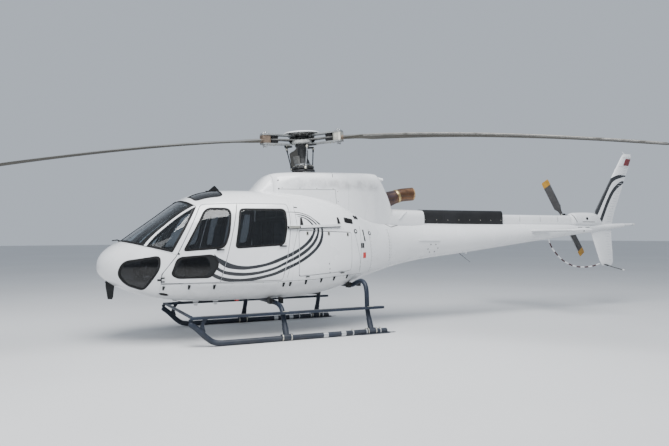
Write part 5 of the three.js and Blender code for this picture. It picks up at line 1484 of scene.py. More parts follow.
lifting_surface("upper_fin_skin", UPPER_FIN, upright, lambda s: np.interp(s, [1.66, 1.99, 3.16],
                                                                          [0.038, 0.038, 0.026]),
                zones=[(1, ribbon(line, width)) for line, width in FIN_STRIPES], paints=STRIPED,
                replaces=["upper_fin"], smooth_rows=False)
lifting_surface("lower_fin_skin", LOWER_FIN, hanging, lambda s: np.interp(s, [-1.66, -0.93],
                                                                          [0.034, 0.026]),
                paints=[PAINTS["white"]], replaces=["lower_fin"], smooth_rows=False)
for label, side in SIDES.items():
    lifting_surface("tailplane_" + label, TAILPLANE, lambda s, c, t, side=side: np.stack(
                    [c, side * s, 1.5875 + t], -1), lambda s: np.full_like(s, 0.03),
                    paints=[PAINTS["white"]], replaces=["stabiliser_" + label], smooth_rows=False)

print("fins and tailplane: 4 skins")

# %% [markdown]
# A blade is long, thin and bends under its own weight when the rotor stands still. It is made
# flat, then each point is turned by the pitch at its radius, lowered by the droop and set on its
# arm. An armature could bend it too, but a formula needs no weights and gives the same mesh.

# %% Main rotor blades
ROTOR_HUB = Vector((-0.136, 0, 3.08))
ROTOR_TILT = math.radians(-2.8)
ROTOR_RADIUS = 5.345
BLADE_AZIMUTHS = [67.5, 187.5, 307.5]
HUB = Matrix.Translation(ROTOR_HUB) @ Matrix.Rotation(ROTOR_TILT, 4, "Y")


def blade_frame(azimuth):
    return HUB @ turned(azimuth, "Z")


def moved_points(points, place):
    matrix = np.array(place)
    return points @ matrix[:3, :3].T + matrix[:3, 3]


def droop(radius):
    """How far a blade at rest hangs below the hub."""
    return -0.6 * (radius / ROTOR_RADIUS)**1.7


BLADE = [  # radius, leading edge, trailing edge, half-thickness, pitch in degrees
    [0.735, -0.045, 0.105, 0.034, 0], [0.9, -0.057, 0.133, 0.032, 4], [1.18, -0.105, 0.245, 0.021, 7],
    [1.9, -0.105, 0.245, 0.021, 6], [2.7, -0.105, 0.245, 0.021, 4], [3.5, -0.105, 0.245, 0.02, 3],
    [4.3, -0.105, 0.245, 0.019, 1], [5.1, -0.105, 0.245, 0.017, 0], [5.325, -0.1035, 0.2415, 0.016, -1],
    [5.345, -0.09, 0.21, 0.01, -1],
]
table = np.array(BLADE)


def blade_place(place):
    """Turns a flat blade point by its pitch, lets it droop and sets it on its arm."""
    def put(span, chord, height):
        pitch = np.radians(np.interp(span, table[:, 0], table[:, 4]))
        c, s = np.cos(pitch), np.sin(pitch)
        local = np.stack([span, chord * c + height * s, droop(span) - chord * s + height * c], -1)
        return moved_points(local, place)
    return put


PAINTS["blade_top"] = finish("blade_grey", (0.115, 0.117, 0.115), 0.52, tone=0.16, tone_scale=4,
                             worn=(0.2, 0.2, 0.19), stretch=(3, 3, 3), cover=0.26, grain=0.2, specular=0.35)
PAINTS["blade_under"] = finish("blade_olive", (0.062, 0.057, 0.046), 0.6, tone=0.2, tone_scale=4, grain=0.2,
                               specular=0.3)
METALS["edge_strip"] = finish("edge_strip", (0.24, 0.235, 0.22), 0.45, metal=0.6, tone=0.2, tone_scale=5,
                              worn=(0.12, 0.115, 0.105), stretch=(3, 3, 3), cover=0.34)
PAINTS["red"] = finish("red_band", (0.5, 0.035, 0.03), 0.4, tone=0.12, coat=0.3)
PAINTS["yellow"] = finish("amber_band", (0.42, 0.215, 0.02), 0.45, tone=0.2, tone_scale=8, coat=0.2)
for number, azimuth in enumerate(BLADE_AZIMUTHS, 1):
    edge = [[1.15, -0.3], [5.4, -0.3], [5.4, -0.068], [1.15, -0.068]]
    cuff = [[0.7, -0.3], [0.79, -0.3], [0.79, 0.3], [0.7, 0.3]]
    lifting_surface("main_blade_%d_skin" % number, [row[:3] for row in BLADE],
                    blade_place(blade_frame(azimuth)),
                    lambda s: np.interp(s, table[:, 0], table[:, 3]),
                    zones=[(1, fill_line(edge, 0.05, True)), (2, fill_line(cuff, 0.05, True))],
                    paints=[PAINTS["blade_top"], METALS["edge_strip"], METALS["brown_cuff"]],
                    under=PAINTS["blade_under"], step=0.035, stretch=3.0, tip=0.01, body="main_rotor",
                    replaces=["main_blade_%d" % number])
print("blades done")

# %% [markdown]
# The landing gear is bent steel tube, painted navy. Each skid starts as a slanted bar, touches
# the ground and ends on a thick wear plate. Two cross tubes join the skids under the belly, and
# a long flat step hangs between them on each side. A bent bar is a line whose corners are eased
# over a radius, which is what a bending machine does.


# %% Bent bars and pipes
def bent(points, radius, parts=6):
    """A bar's line through points in space, each corner eased over a radius."""
    p = [np.array(q, float) for q in points]
    line = [p[0]]
    for before, here, after in zip(p, p[1:], p[2:]):
        back, ahead = before - here, after - here
        reach = min(radius, 0.48 * np.linalg.norm(back), 0.48 * np.linalg.norm(ahead))
        start = here + back / np.linalg.norm(back) * reach
        end = here + ahead / np.linalg.norm(ahead) * reach
        for t in np.linspace(0, 1, parts + 1):
            line.append((1 - t)**2 * start + 2 * t * (1 - t) * here + t * t * end)
    line.append(p[-1])
    return np.array(line)


def round_ends(line, radius):
    """The line with its ends drawn in, and a share of the radius for each point."""
    line = [np.array(p, float) for p in line]
    first = (line[1] - line[0]) / np.linalg.norm(line[1] - line[0])
    last = (line[-2] - line[-1]) / np.linalg.norm(line[-2] - line[-1])
    shares = [0.35, 0.75, 0.94, 1.0]
    depths = [0.0, 0.12, 0.35, 0.7]
    head = [line[0] + first * radius * d for d in depths]
    tail = [line[-1] + last * radius * d for d in depths][::-1]
    return head + line[1:-1] + tail, shares + [1.0] * (len(line) - 2) + shares[::-1]


def pipe(maker, line, radius, wall_width, finish=0, sides=32):
    """An open pipe along a line: an outer and an inner wall, joined at both mouths."""
    line = [Vector(p) for p in line]
    radii = radius if isinstance(radius, (list, tuple)) else [radius] * len(line)
    points = []
    for shrink in (0.0, wall_width):
        for k, here in enumerate(line):
            ahead = (line[min(k + 1, len(line) - 1)] - line[max(k - 1, 0)]).normalized()
            across = Vector((0, 1, 0))
            other = ahead.cross(across).normalized()
            for j in range(sides):
                turn = 2 * math.pi * j / sides
                points.append(here + (across * math.cos(turn) + other * math.sin(turn)) * (radii[k] - shrink))
    count = len(line) * sides
    faces = []
    for k in range(len(line) - 1):
        for j in range(sides):
            n = (j + 1) % sides
            a, b = k * sides + j, k * sides + n
            faces.append((a, a + sides, b + sides, b))
            faces.append((a + count, b + count, b + sides + count, a + sides + count))
    for end, flip in ((0, False), (count - sides, True)):
        for j in range(sides):
            a, b = end + j, end + (j + 1) % sides
            faces.append((a, a + count, b + count, b) if flip else (a, b, b + count, a + count))
    return maker.add(points, faces, finish)


SKID_Y = 1.087
SKID_RADIUS = 0.04
SKID_LINE = [[-2.215, 1.048, 0.332], [-2.12, 1.056, 0.262], [-1.99, 1.072, 0.13], [-1.9, 1.082, 0.062],
             [-1.8, SKID_Y, SKID_RADIUS], [0.83, SKID_Y, SKID_RADIUS]]
CROSS_RADIUS = 0.036
FRONT_TUBE_X, REAR_TUBE_X = -0.825, 0.56
FRONT_TUBE = [[0.56, 0.505], [0.7, 0.5], [0.83, 0.47], [0.905, 0.42], [0.945, 0.33], [1.0, 0.22],
              [1.08, 0.05]]
REAR_TUBE = [[0.43, 0.7], [0.6, 0.76], [0.76, 0.8], [0.88, 0.76], [0.93, 0.66], [0.94, 0.52],
             [0.945, 0.38], [1.005, 0.22], [1.08, 0.05]]


def mirrored(points, side):
    return [[p[0], side * p[1], p[2]] for p in points]

# %% [markdown]
# The long tubes are swept by the tube tree, with ends that are drawn in to a round. Rings, plates
# and clamp bolts are turned or extruded bodies that sit on them.

# %% Skids, cross tubes and clamps
CLAMPS_X = [0.232, 0.463, 0.702]
PALE_BANDS_X = [-0.217, 0.073]
for label, side in SIDES.items():
    line, shares = round_ends(fill_line(bent(mirrored(SKID_LINE, side), 0.12), 0.12), SKID_RADIUS)
    tube("skid_tube_" + label, line, SKID_RADIUS, PAINTS["navy"], replaces=["skid_" + label], sides=28,
         radii=shares)
    y = side * SKID_Y
    plate = Maker("skid_wear_plate_" + label, PAINTS["navy"], METALS["steel"])
    plate.prism(rounded([[0.33, y - 0.055, 0.02], [0.88, y - 0.055, 0.05], [0.88, y + 0.055, 0.05],
                         [0.33, y + 0.055, 0.02]]), 0.004, 0.018)
    plate.box((0.84, y - 0.022, 0.006), (0.975, y + 0.022, 0.012), 1)
    plate.done(slot="skid_paint", bevel=0.002)
    bands = Maker("skid_bands_" + label, METALS["aluminium"], METALS["zinc"])
    for x in CLAMPS_X + PALE_BANDS_X:
        wide = 0.016 if x in CLAMPS_X else 0.075
        proud = 0.005 if x in CLAMPS_X else 0.002
        place = shifted(x, y, SKID_RADIUS + proud) @ turned(90, "Y")
        outer, inner = SKID_RADIUS + proud, 0.0385 - proud
        bands.lathe(hoop(inner, outer, -wide / 2, wide / 2), 0, place, ring=True)
        if x in CLAMPS_X:
            bands.box((x - 0.013, y - 0.012, 2 * SKID_RADIUS),
                      (x + 0.013, y + 0.012, 2 * SKID_RADIUS + 0.018), 1)
    bands.done(slot="rotor_metal", bevel=0.001)

for name, x, legs in [("front_cross_tube", FRONT_TUBE_X, FRONT_TUBE),
                      ("rear_cross_tube", REAR_TUBE_X, REAR_TUBE)]:
    right = [[x, y, z] for y, z in legs]
    line = bent(mirrored(right, -1)[::-1] + right, 0.16, 5)
    tube(name + "_bar", line, CROSS_RADIUS, PAINTS["navy"], replaces=[name], sides=24)
    for label, side in SIDES.items():
        shoe = Maker("%s_shoe_%s" % (name, label), PAINTS["navy"], METALS["zinc"])
        foot = bent(mirrored([[x, y, z] for y, z in legs[-3:]], side), 0.05)
        shoe.rod(foot[3:], [0.041] * (len(foot) - 5) + [0.044, 0.046], 0, sides=22)
        place = shifted(x, side * SKID_Y, SKID_RADIUS + 0.01) @ turned(90, "Y")
        shoe.lathe(hoop(0.0285, 0.047, -0.085, 0.085), 0, place, ring=True)
        for shift in (-0.066, 0.066):
            shoe.lathe(hoop(0.0285, 0.05, shift - 0.008, shift + 0.008), 1, place, ring=True)
        shoe.done(slot="skid_paint")

bar = Maker("front_cross_bar_tube", PAINTS["navy"])
bar.rod([(-2.17, -0.9945, 0.4), (-2.17, 0.9945, 0.4)], 0.022, sides=20)
bar.done(slot="skid_paint", replaces=["front_cross_bar"])

# %% [markdown]
# A step is a flat board with a strip of grit on top, bolted to both cross tubes. At its front a
# pressed bracket with a hole joins it to the skid, cut as a net with one hole and given two sides.

# %% Steps
STEP_FROM, STEP_TO = -2.2, 0.8
for label, side in SIDES.items():
    step = Maker("step_board_" + label, PAINTS["navy"], PAINTS["step_grit"], METALS["zinc"])
    near, far = sorted((side * 0.996, side * 1.094))
    outline = rounded([[STEP_FROM, near, 0.012], [STEP_TO - 0.06, near, 0.012],
                       [STEP_TO, near + 0.02, 0.02],
                       [STEP_TO, far - 0.02, 0.02], [STEP_TO - 0.06, far, 0.012], [STEP_FROM, far, 0.012]])
    step.prism(outline, 0.3785, 0.4125)
    for x_from, x_to in [(-2.05, -1.1), (-0.62, 0.4)]:
        step.prism(hoop(x_from, x_to, near + 0.012, far - 0.012),
                   0.4125, 0.4155, 1)
    for x in (FRONT_TUBE_X, REAR_TUBE_X):
        low, high = sorted((side * 0.945, side * 1.0))
        step.box((x - 0.045, low, 0.384), (x + 0.045, high, 0.4))
        step.box((x - 0.0445, near + 0.02, 0.4126), (x + 0.0445, near + 0.06, 0.42), 2)
    step.done(slot="skid_paint", replaces=["step_" + label], bevel=0.003)
    bracket = Maker("step_bracket_" + label, PAINTS["navy"])
    y = side * 1.045
    gusset = [[-2.225, 0.385, 0.01], [-2.205, 0.3, 0.02], [-2.02, 0.185, 0.03], [-1.985, 0.19, 0.02],
              [-2.02, 0.3, 0.05], [-1.95, 0.385, 0.01]]
    hole = [[-2.175, 0.372, 0.012], [-2.16, 0.32, 0.02], [-2.065, 0.262, 0.03], [-2.06, 0.31, 0.03],
            [-2.02, 0.372, 0.02]]
    outer, inner = rounded(gusset, 0.03), rounded(hole, 0.03)
    flat, faces, _ = net([outer], [inner], [], 0.05)
    n = len(flat)
    sheet = [tuple(f) for f in faces] + [(c + n, b + n, a + n) for a, b, c in faces]
    sheet += [(j, i, i + n, j + n) for i, j in border_edges(faces)]
    points = [(u, v, 0.006) for u, v in flat] + [(u, v, -0.006) for u, v in flat]
    bracket.add(points, sheet, 0, shifted(0, y, 0) @ SIDE_ON)
    bracket.done(slot="skid_paint", bevel=0.0015)
print("landing gear done")

# %% [markdown]
# The tail guard is a bent rod with maroon and white bands, which keeps people away from the tail
# rotor. Its line is cut into stretches of equal length, and each stretch takes the next colour.

# %% Tail guard, tail skid and tail lamp
GUARD = [[5.2, 1.449], [5.24, 1.34], [5.31, 1.225], [5.44, 1.095], [5.6, 0.975], [5.87, 0.865],
         [6.13, 0.832], [6.39, 0.842], [6.612, 0.888]]
GUARD_BAND = 0.105
PAINTS["maroon"] = finish("maroon_band", (0.05, 0.009, 0.01), 0.45, tone=0.25, tone_scale=9, coat=0.2)
line = smooth_line([[x, 0, z] for x, z in GUARD], 12)
travel = np.concatenate([[0], np.cumsum(np.linalg.norm(np.diff(line, axis=0), axis=1))])
bands = int(travel[-1] / GUARD_BAND)
guard = Maker("tail_guard_rod", PAINTS["white"], PAINTS["maroon"])
for k in range(bands):
    at = np.linspace(k, k + 1, 5) * travel[-1] / bands
    stretch = np.stack([np.interp(at, travel, line[:, axis]) for axis in range(3)], -1)
    guard.rod(stretch, 0.014, k % 2, sides=14)
guard.box((5.15, -0.02, 1.44), (5.25, 0.02, 1.452))
guard.done(slot="guard_paint", replaces=["tail_guard"], bevel=0)
tail_rod = Maker("tail_skid_rod", METALS["grey_cast"], PAINTS["white"], METALS["dark_cast"])
tail_rod.rod([(6.79, 0, 0.87), (7.05, 0, 0.8), (7.29, 0, 0.748)], 0.01)
tail_rod.rod([(7.285, 0, 0.749), (7.3, 0, 0.746), (7.34, 0, 0.737), (7.35, 0, 0.735)],
             [0.009, 0.017, 0.017, 0.01], 1)
tail_rod.rod([(6.7, 0, 0.893), (6.72, 0, 0.888), (6.86, 0, 0.85), (6.875, 0, 0.846)],
             [0.008, 0.018, 0.016, 0.009], 2)
tail_rod.done(slot="rotor_metal")
PAINTS["lamp_grey"] = finish("lamp_housing", (0.55, 0.57, 0.6), 0.35, tone=0.1, coat=0.3)
lamp = Maker("tail_lamp", PAINTS["white"], GLASS["clear_lens"], PAINTS["lamp_grey"])
lamp.rod([(6.64, 0, 1.658), (6.7, 0, 1.661), (7.0, 0, 1.682), (7.33, 0, 1.702), (7.345, 0, 1.703)],
         [0.06, 0.068, 0.056, 0.044, 0.03], 0, sides=36)
lamp.rod([(7.322, 0, 1.712), (7.365, 0, 1.716), (7.46, 0, 1.719), (7.56, 0, 1.721)],
         [0.027, 0.025, 0.024, 0.023], 0, sides=20)
lamp.rod([(7.56, 0, 1.721), (7.572, 0, 1.721), (7.61, 0, 1.722), (7.615, 0, 1.722)],
         [0.023, 0.029, 0.029, 0.026], 2, sides=20)
lamp.rod([(7.615, 0, 1.722), (7.64, 0, 1.722), (7.668, 0, 1.722), (7.69, 0, 1.722), (7.697, 0, 1.722)],
         [0.0265, 0.026, 0.023, 0.014, 0.004], 1, sides=20)
lamp.done(slot="body_paint")
print("guard bands:", bands)

# %% [markdown]
# The exhaust pipe glows hot in flight, and the steel takes on a skin of oxides: purple near the
# engine, then brown and straw towards the mouth. That colour follows the pipe's length, so a ramp
# along X gives it, broken up by clouds and fine streaks.


# %% Exhaust
def heated_steel():
    material, tree, shader, place = blank_material("heat_tinted_steel")
    cloud = use_group(tree, "tone", {"Place": place, "Scale": 6.0})
    length = add(tree, "ShaderNodeSeparateXYZ", {0: place}).outputs["X"]
    shifted = plus(tree, length, times(tree, cloud, 0.1))
    warm = ramp(tree, shifted, 1.6, 1.74)
    brown = mix_colours(tree, cloud, (0.12, 0.062, 0.036, 1), (0.23, 0.125, 0.07, 1))
    purple = mix_colours(tree, cloud, (0.05, 0.04, 0.05, 1), (0.115, 0.078, 0.082, 1))
    base = mix_colours(tree, warm, purple, brown)
    mouth = ramp(tree, length, 1.958, 1.98)
    base = mix_colours(tree, mouth, base, (0.58, 0.4, 0.22, 1))
    streak = use_group(tree, "scratches", {"Place": place, "Stretch": (3, 50, 50), "Cover": 0.42})
    tree.links.new(mix_colours(tree, streak, base, (0.12, 0.08, 0.06, 1)), shader.inputs["Base Color"])
    rough = plus(tree, times(tree, cloud, 0.15), 0.36)
    tree.links.new(rough, shader.inputs["Roughness"])
    shader.inputs["Metallic"].default_value = 0.85
    return material


METALS["heated"] = heated_steel()
EXHAUST = smooth_line([[1.2303, 0, 2.12], [1.42, 0, 2.128], [1.58, 0, 2.172], [1.76, 0, 2.222],
                       [1.99, 0, 2.248]], 8)
EXHAUST_RADIUS = [float(r) for r in np.interp(EXHAUST[:, 0], [1.23, 1.42, 1.64], [0.142, 0.142, 0.117])]
exhaust = Maker("exhaust_pipe", METALS["heated"], METALS["brass"], METALS["steel"])
pipe(exhaust, EXHAUST, EXHAUST_RADIUS, 0.004)
along = np.argmin(np.abs(EXHAUST[:, 0] - 1.67))
pipe(exhaust, EXHAUST[along - 1:along + 2], [0.119, 0.1235, 0.119], 0.003, 1)
lip_ring = [EXHAUST[-1] - [0.012, 0, 0.001], EXHAUST[-1]]
pipe(exhaust, lip_ring, [0.1182, 0.1182], 0.003, 0)
exhaust.done(slot="heat_tinted_steel", replaces=["exhaust"], bevel=0)
print("exhaust done")

# %% [markdown]
# The rotor head holds three blades without any flapping hinge. A flat three-armed star of glass
# fibre sits in the middle and bends instead. Two sleeve plates run from the hub to each blade's
# root, one above and one below the star, with a black elastic damper between them and the star's
# tip. A horn on the lower plate takes the pitch link. Seen from the side, the sky shows between
# the plates, and that is what makes the head recognisable.

# %% Rotor head
PLATE_LOW, PLATE_HIGH = 0.062, 0.084
DAMPER = (0.475, 0.585)
METALS["star_grey"] = finish("star_grey", (0.42, 0.43, 0.42), 0.45, metal=0.25, tone=0.12, tone_scale=7,
                             worn=(0.24, 0.24, 0.23), stretch=(20, 20, 20), cover=0.27)
METALS["plate_grey"] = finish("plate_grey", (0.26, 0.27, 0.27), 0.42, metal=0.5, tone=0.2, tone_scale=8,
                              worn=(0.1, 0.1, 0.1), stretch=(20, 20, 20), cover=0.3)
head = Maker("rotor_head_mast", METALS["dark_cast"], METALS["grey_cast"], METALS["steel"],
             METALS["star_grey"])
head.lathe([(0, -0.4695), (0.172, -0.4695), (0.178, -0.463), (0.178, -0.437), (0.17, -0.43),
            (0.122, -0.412),
            (0.104, -0.34), (0.088, -0.305), (0.082, -0.292), (0.082, -0.125), (0.112, -0.104),
            (0.118, -0.098), (0.118, -0.064), (0.1, -0.056), (0.093, -0.046), (0.093, 0.066), (0, 0.0698)],
           0, HUB, parts=56)
head.lathe([(0.095, -0.058), (0.2, -0.054), (0.208, -0.047), (0.208, -0.012), (0.2, -0.004),
            (0.095, 0.0)], 3, HUB, parts=56, ring=True)
head.lathe([(0.095, 0.02), (0.132, 0.022), (0.136, 0.03), (0.136, 0.052), (0.128, 0.06), (0.095, 0.062)],
           0, HUB, parts=48, ring=True)
for k, (radius, height) in enumerate([(0.15, -0.4295), (0.135, -0.408)]):
    head.lathe(hoop(radius - 0.02, radius, height, height + 0.016),
               1 + k, HUB, parts=48, ring=True)
cone_rows = [(0.128, -0.425), (0.146, -0.345), (0.163, -0.262)]
cone_turns = np.linspace(math.radians(85), math.radians(228), 15)
points, count = [], len(cone_turns)
for inset in (0.0, 0.006):
    for radius, height in cone_rows:
        points += [((radius - inset) * math.cos(a), (radius - inset) * math.sin(a),
                    height) for a in cone_turns]
faces, wall_count = [], 3 * count
for row in range(2):
    for k in range(count - 1):
        a, b = row * count + k, (row + 1) * count + k
        faces += [(a, a + 1, b + 1, b), (a + wall_count, b + wall_count, b + 1 + wall_count,
                                         a + 1 + wall_count)]
for row, order in ((0, 1), (2, -1)):
    for k in range(count - 1):
        a = row * count + k
        face = (a, a + wall_count, a + 1 + wall_count, a + 1)
        faces.append(face[::order])
for k, order in ((0, -1), (count - 1, 1)):
    for row in range(2):
        a = row * count + k
        face = (a, a + wall_count, a + count + wall_count, a + count)
        faces.append(face[::order])
head.add(points, faces, 1, HUB)
head.done(body="main_rotor", slot="rotor_metal", replaces=["rotor_head"])
print("rotor head: %d faces" % len(head.faces))

# %% Hub cap
cap = Maker("hub_cap_dome", PAINTS["white"], METALS["grey_cast"])
cap.lathe([(0, 0.0705), (0.106, 0.0705), (0.116, 0.074), (0.12, 0.082), (0.15, 0.085), (0.228, 0.088),
           (0.238, 0.096), (0.24, 0.103), (0.286, 0.106), (0.2985, 0.112), (0.3, 0.119), (0.292, 0.127),
           (0.262, 0.134), (0.2, 0.14), (0.11, 0.1435), (0, 0.1445)], 0, HUB, parts=72)
under_faces = 72 * 8
cap.numbers[:under_faces] = [1] * under_faces
cap.done(body="main_rotor", slot="body_paint", replaces=["hub_cap"])

spots, facings, alongs = [], [], []
for k in range(12):
    turn = turned(30 * k, "Z")
    spots.append(HUB @ turn @ Vector((0.196, 0, 0.076)))
    facings.append((HUB @ turn).to_3x3() @ Vector((0, 0, 1)))
    alongs.append((HUB @ turn).to_3x3() @ Vector((1, 0, 0)))
blocks("hub_cap_blocks", spots, facings, alongs, (0.055, 0.03, 0.026), METALS["grey_cast"], "main_rotor")

# %% [markdown]
# Every arm is built once in its own frame, with X outwards along the blade, and set on the hub by
# one matrix. The blades differ by their azimuth only, so a loop makes all three.

# %% Sleeves, dampers, horns and pitch links
bolt_spots, bolt_facings = [], []
for number, azimuth in enumerate(BLADE_AZIMUTHS, 1):
    place = blade_frame(azimuth)
    up = place.to_3x3() @ Vector((0, 0, 1))
    cuff_finish = METALS["zinc"] if number == 3 else METALS["brown_cuff"]
    arm = Maker("blade_sleeve_%d" % number, METALS["plate_grey"], cuff_finish, METALS["steel"],
                PAINTS["rubber"], METALS["grey_cast"], METALS["dark_cast"])
    edge = smooth_line([[0.1, 0.125], [0.22, 0.088], [0.38, 0.064], [0.5, 0.062], [0.592, 0.054]], 5)
    star = [tuple(p) for p in edge] + [(u, -v) for u, v in edge[::-1]]
    arm.prism(star, -0.011, 0.011, 4, place)
    plate = rounded([[0.2, -0.055, 0.03], [0.59, -0.08, 0.1], [0.745, -0.074, 0.04], [0.745, 0.074, 0.04],
                     [0.59, 0.08, 0.1], [0.2, 0.055, 0.03]], 0.03)
    arm.prism(plate, PLATE_LOW, PLATE_HIGH, 0, place)
    arm.prism(plate, -PLATE_HIGH, -PLATE_LOW, 0, place)
    for low, high in ((-PLATE_LOW, -0.013), (0.013, PLATE_LOW)):
        for k in range(3):
            step = (high - low) / 3
            grow = 0.004 if k == 1 else 0.0
            arm.box((DAMPER[0] - grow, -0.062 - grow, low + k * step + 0.0004),
                    (DAMPER[1] + grow, 0.062 + grow, low + (k + 1) * step - 0.0004), 3, place)
    root = [[0.602, -0.068, 0.02], [0.75, -0.064, 0.03], [0.75, 0.064, 0.03], [0.602, 0.068, 0.02]]
    arm.prism(rounded(root, 0.03), -0.061, 0.061, 1, place)
    arm.prism(rounded(moved(root, 0.012), 0.03), PLATE_HIGH, PLATE_HIGH + 0.012, 2, place)
    for y in (-0.036, 0.036):
        bolt = place @ shifted(0.682, y, 0)
        arm.lathe([(0, -0.128), (0.013, -0.128), (0.017, -0.122), (0.017, -0.1), (0.022, -0.098),
                   (0.022, -0.0845),
                   (0, -0.0845)], 2, bolt, parts=18)
        arm.lathe([(0, 0.0965), (0.022, 0.0965), (0.022, 0.108), (0.014, 0.112), (0.014, 0.124),
                   (0, 0.126)], 2, bolt,
                  parts=18)
    horn = [[0.15, -0.05, 0.01], [0.175, -0.17, 0.03], [0.187, -0.2, 0.02], [0.216, -0.194, 0.02],
            [0.27, -0.11, 0.06], [0.31, -0.05, 0.01]]
    arm.prism(rounded(horn, 0.02), -0.109, -0.0845, 5, place)
    arm.lathe([(0, -0.04), (0.034, -0.04), (0.044, -0.028), (0.044, 0.028), (0.034, 0.04), (0, 0.04)], 3,
              place @ shifted(0.19, 0, 0) @ turned(90, "Y"), parts=28)
    arm.done(body="main_rotor", slot="rotor_metal")
    for radius, y in [(0.275, -0.032), (0.275, 0.032), (0.5, -0.05), (0.5, 0.05), (0.56, -0.05),
                      (0.56, 0.05)]:
        for level, way in ((PLATE_HIGH, 1), (-PLATE_HIGH, -1)):
            bolt_spots.append(place @ Vector((radius, y, level)))
            bolt_facings.append(up * way)
    bright = METALS["steel"] if number == 3 else METALS["dark_cast"]
    link = Maker("pitch_link_%d" % number, bright, METALS["dark_cast"], METALS["zinc"])
    link.rod([(0.085, -0.09, -0.448), (0.135, -0.15, -0.452)], [0.024, 0.018], 1, place)
    low, high = Vector((0.135, -0.155, -0.46)), Vector((0.196, -0.182, -0.122))
    way = (high - low).normalized()
    link.rod([low, low + way * 0.05, low + way * 0.055, high - way * 0.055, high - way * 0.05, high],
             [0.015, 0.014, 0.0095, 0.0095, 0.014, 0.015], 0, place)
    for end in (low, high):
        eye = place @ Matrix.Translation(end) @ turned(90, "Y")
        link.lathe([(0, -0.014), (0.021, -0.014), (0.024, -0.008), (0.024, 0.008), (0.021, 0.014),
                    (0, 0.014)], 2, eye,
                   parts=20)
    link.done(body="main_rotor", slot="rotor_metal", bevel=0)
for k in range(16):
    turn = HUB @ turned(22.5 * k, "Z")
    bolt_spots += [turn @ Vector((0.172, 0, -0.003)), turn @ Vector((0.158, 0, -0.428))]
    bolt_facings += [turn.to_3x3() @ Vector((0, 0, 1))] * 2
heads("rotor_head_bolts", bolt_spots, bolt_facings, 0.0105, 0.01, METALS["zinc"], "main_rotor", sides=6,
      share=0.9)
print("rotor bolts:", len(bolt_spots))

# %% [markdown]
# Under the head a ribbed case disappears into the cowl. Only its upper rings show through the
# round hole, so the lathe gives it rings and the lower part stays a plain box.

# %% Gearbox under the rotor
case = Maker("main_gearbox_case", METALS["grey_cast"], METALS["dark_cast"], METALS["steel"])
case.lathe([(0, -0.75), (0.188, -0.75), (0.188, -0.6), (0.176, -0.585), (0.176, -0.56), (0.188, -0.556),
            (0.19, -0.548), (0.178, -0.54), (0.182, -0.522), (0.19, -0.516), (0.19, -0.492),
            (0.184, -0.486),
            (0.16, -0.482), (0.155, -0.4705), (0, -0.4705)], 1, HUB, parts=60)
case.lathe([(0.186, -0.534), (0.197, -0.531), (0.197, -0.524), (0.186, -0.521)], 2, HUB, parts=60,
           ring=True)
case.box((ROTOR_HUB.x - 0.21, -0.22, 2.052), (ROTOR_HUB.x + 0.26, 0.22, 2.4))
case.done(slot="rotor_metal", replaces=["main_gearbox"])
collar = Maker("cowl_hole_collar", PAINTS["rubber"])
collar.lathe([(0.2, 2.515), (0.222, 2.515), (0.222, 2.548), (0.2, 2.552)], 0, shifted(MAST_X, 0, 0),
             parts=64, ring=True)
collar.done(bevel=0.002)

# %% [markdown]
# The tail rotor has two narrow blades on a seesaw hub at the starboard side of the boom. Its
# blades are twisted a little, dark grey, with an ochre tip that shows while it turns.

# %% Tail rotor
TAIL_HUB = shifted(5.98, 0.35, 1.85) @ turned(57, "Y")
TAIL_BLADE = [[0.098, -0.024, 0.036], [0.2, -0.034, 0.052], [0.285, -0.072, 0.108], [0.9, -0.074, 0.111],
              [0.922, -0.068, 0.102], [0.93, -0.058, 0.09]]
TAIL_TWIST = 0.12
PAINTS["tail_blade"] = finish("tail_blade_grey", (0.06, 0.058, 0.058), 0.5, tone=0.2, tone_scale=7,
                              grain=0.25,
                              worn=(0.22, 0.21, 0.2), stretch=(6, 6, 6), cover=0.27)


def tail_place(place):
    def put(span, chord, height):
        return moved_points(np.stack([span, chord * TAIL_TWIST + height, chord], -1), place)
    return put


tip_band = fill_line([[0.8, -0.2], [0.94, -0.2], [0.94, 0.2], [0.8, 0.2]], 0.03, True)
edge_band = fill_line([[0.3, -0.2], [0.8, -0.2], [0.8, -0.055], [0.3, -0.055]], 0.03, True)
for number in (1, 2):
    place = TAIL_HUB @ turned(180 * (number - 1), "Y")
    lifting_surface("tail_blade_%d" % number, TAIL_BLADE, tail_place(place),
                    lambda s: np.interp(s, [0.098, 0.2, 0.29, 0.9], [0.0155, 0.014, 0.012, 0.008]),
                    zones=[(1, tip_band), (2, edge_band)],
                    paints=[PAINTS["tail_blade"], PAINTS["yellow"], METALS["steel"]], step=0.022, tip=0.012,
                    body="tail_rotor", smooth_rows=False,
                    replaces=["tail_rotor_blades"] if number == 1 else [])
hub = Maker("tail_rotor_hub_parts", METALS["dark_cast"], METALS["steel"], METALS["zinc"])
along_y = TAIL_HUB @ turned(-90, "X")
hub.lathe([(0, -0.1145), (0.03, -0.1145), (0.032, -0.11), (0.032, -0.034), (0, -0.034)], 1, along_y)
hub.lathe([(0, -0.08), (0.07, -0.08), (0.078, -0.074), (0.078, -0.067), (0.066, -0.062), (0, -0.062)], 0,
          along_y)
hub.prism(rounded(oblong(-0.094, -0.06, 0.094, 0.06, 0.025),
                  0.01), -0.033, 0.033, 0, along_y)
hub.lathe([(0, 0.033), (0.034, 0.033), (0.034, 0.04), (0.024, 0.044), (0.02, 0.058), (0, 0.06)], 1, along_y,
          parts=24)
for way in (-1, 1):
    hub.box((way * 0.1 - 0.028, -0.0165, -0.026), (way * 0.1 + 0.028, 0.0165, 0.026), 1, TAIL_HUB)
    hub.rod([(way * 0.058, -0.07, -0.03), (way * 0.12, -0.02, -0.034)], 0.008, 2, TAIL_HUB)
hub.done(body="tail_rotor", slot="rotor_metal", replaces=["tail_rotor_hub"])
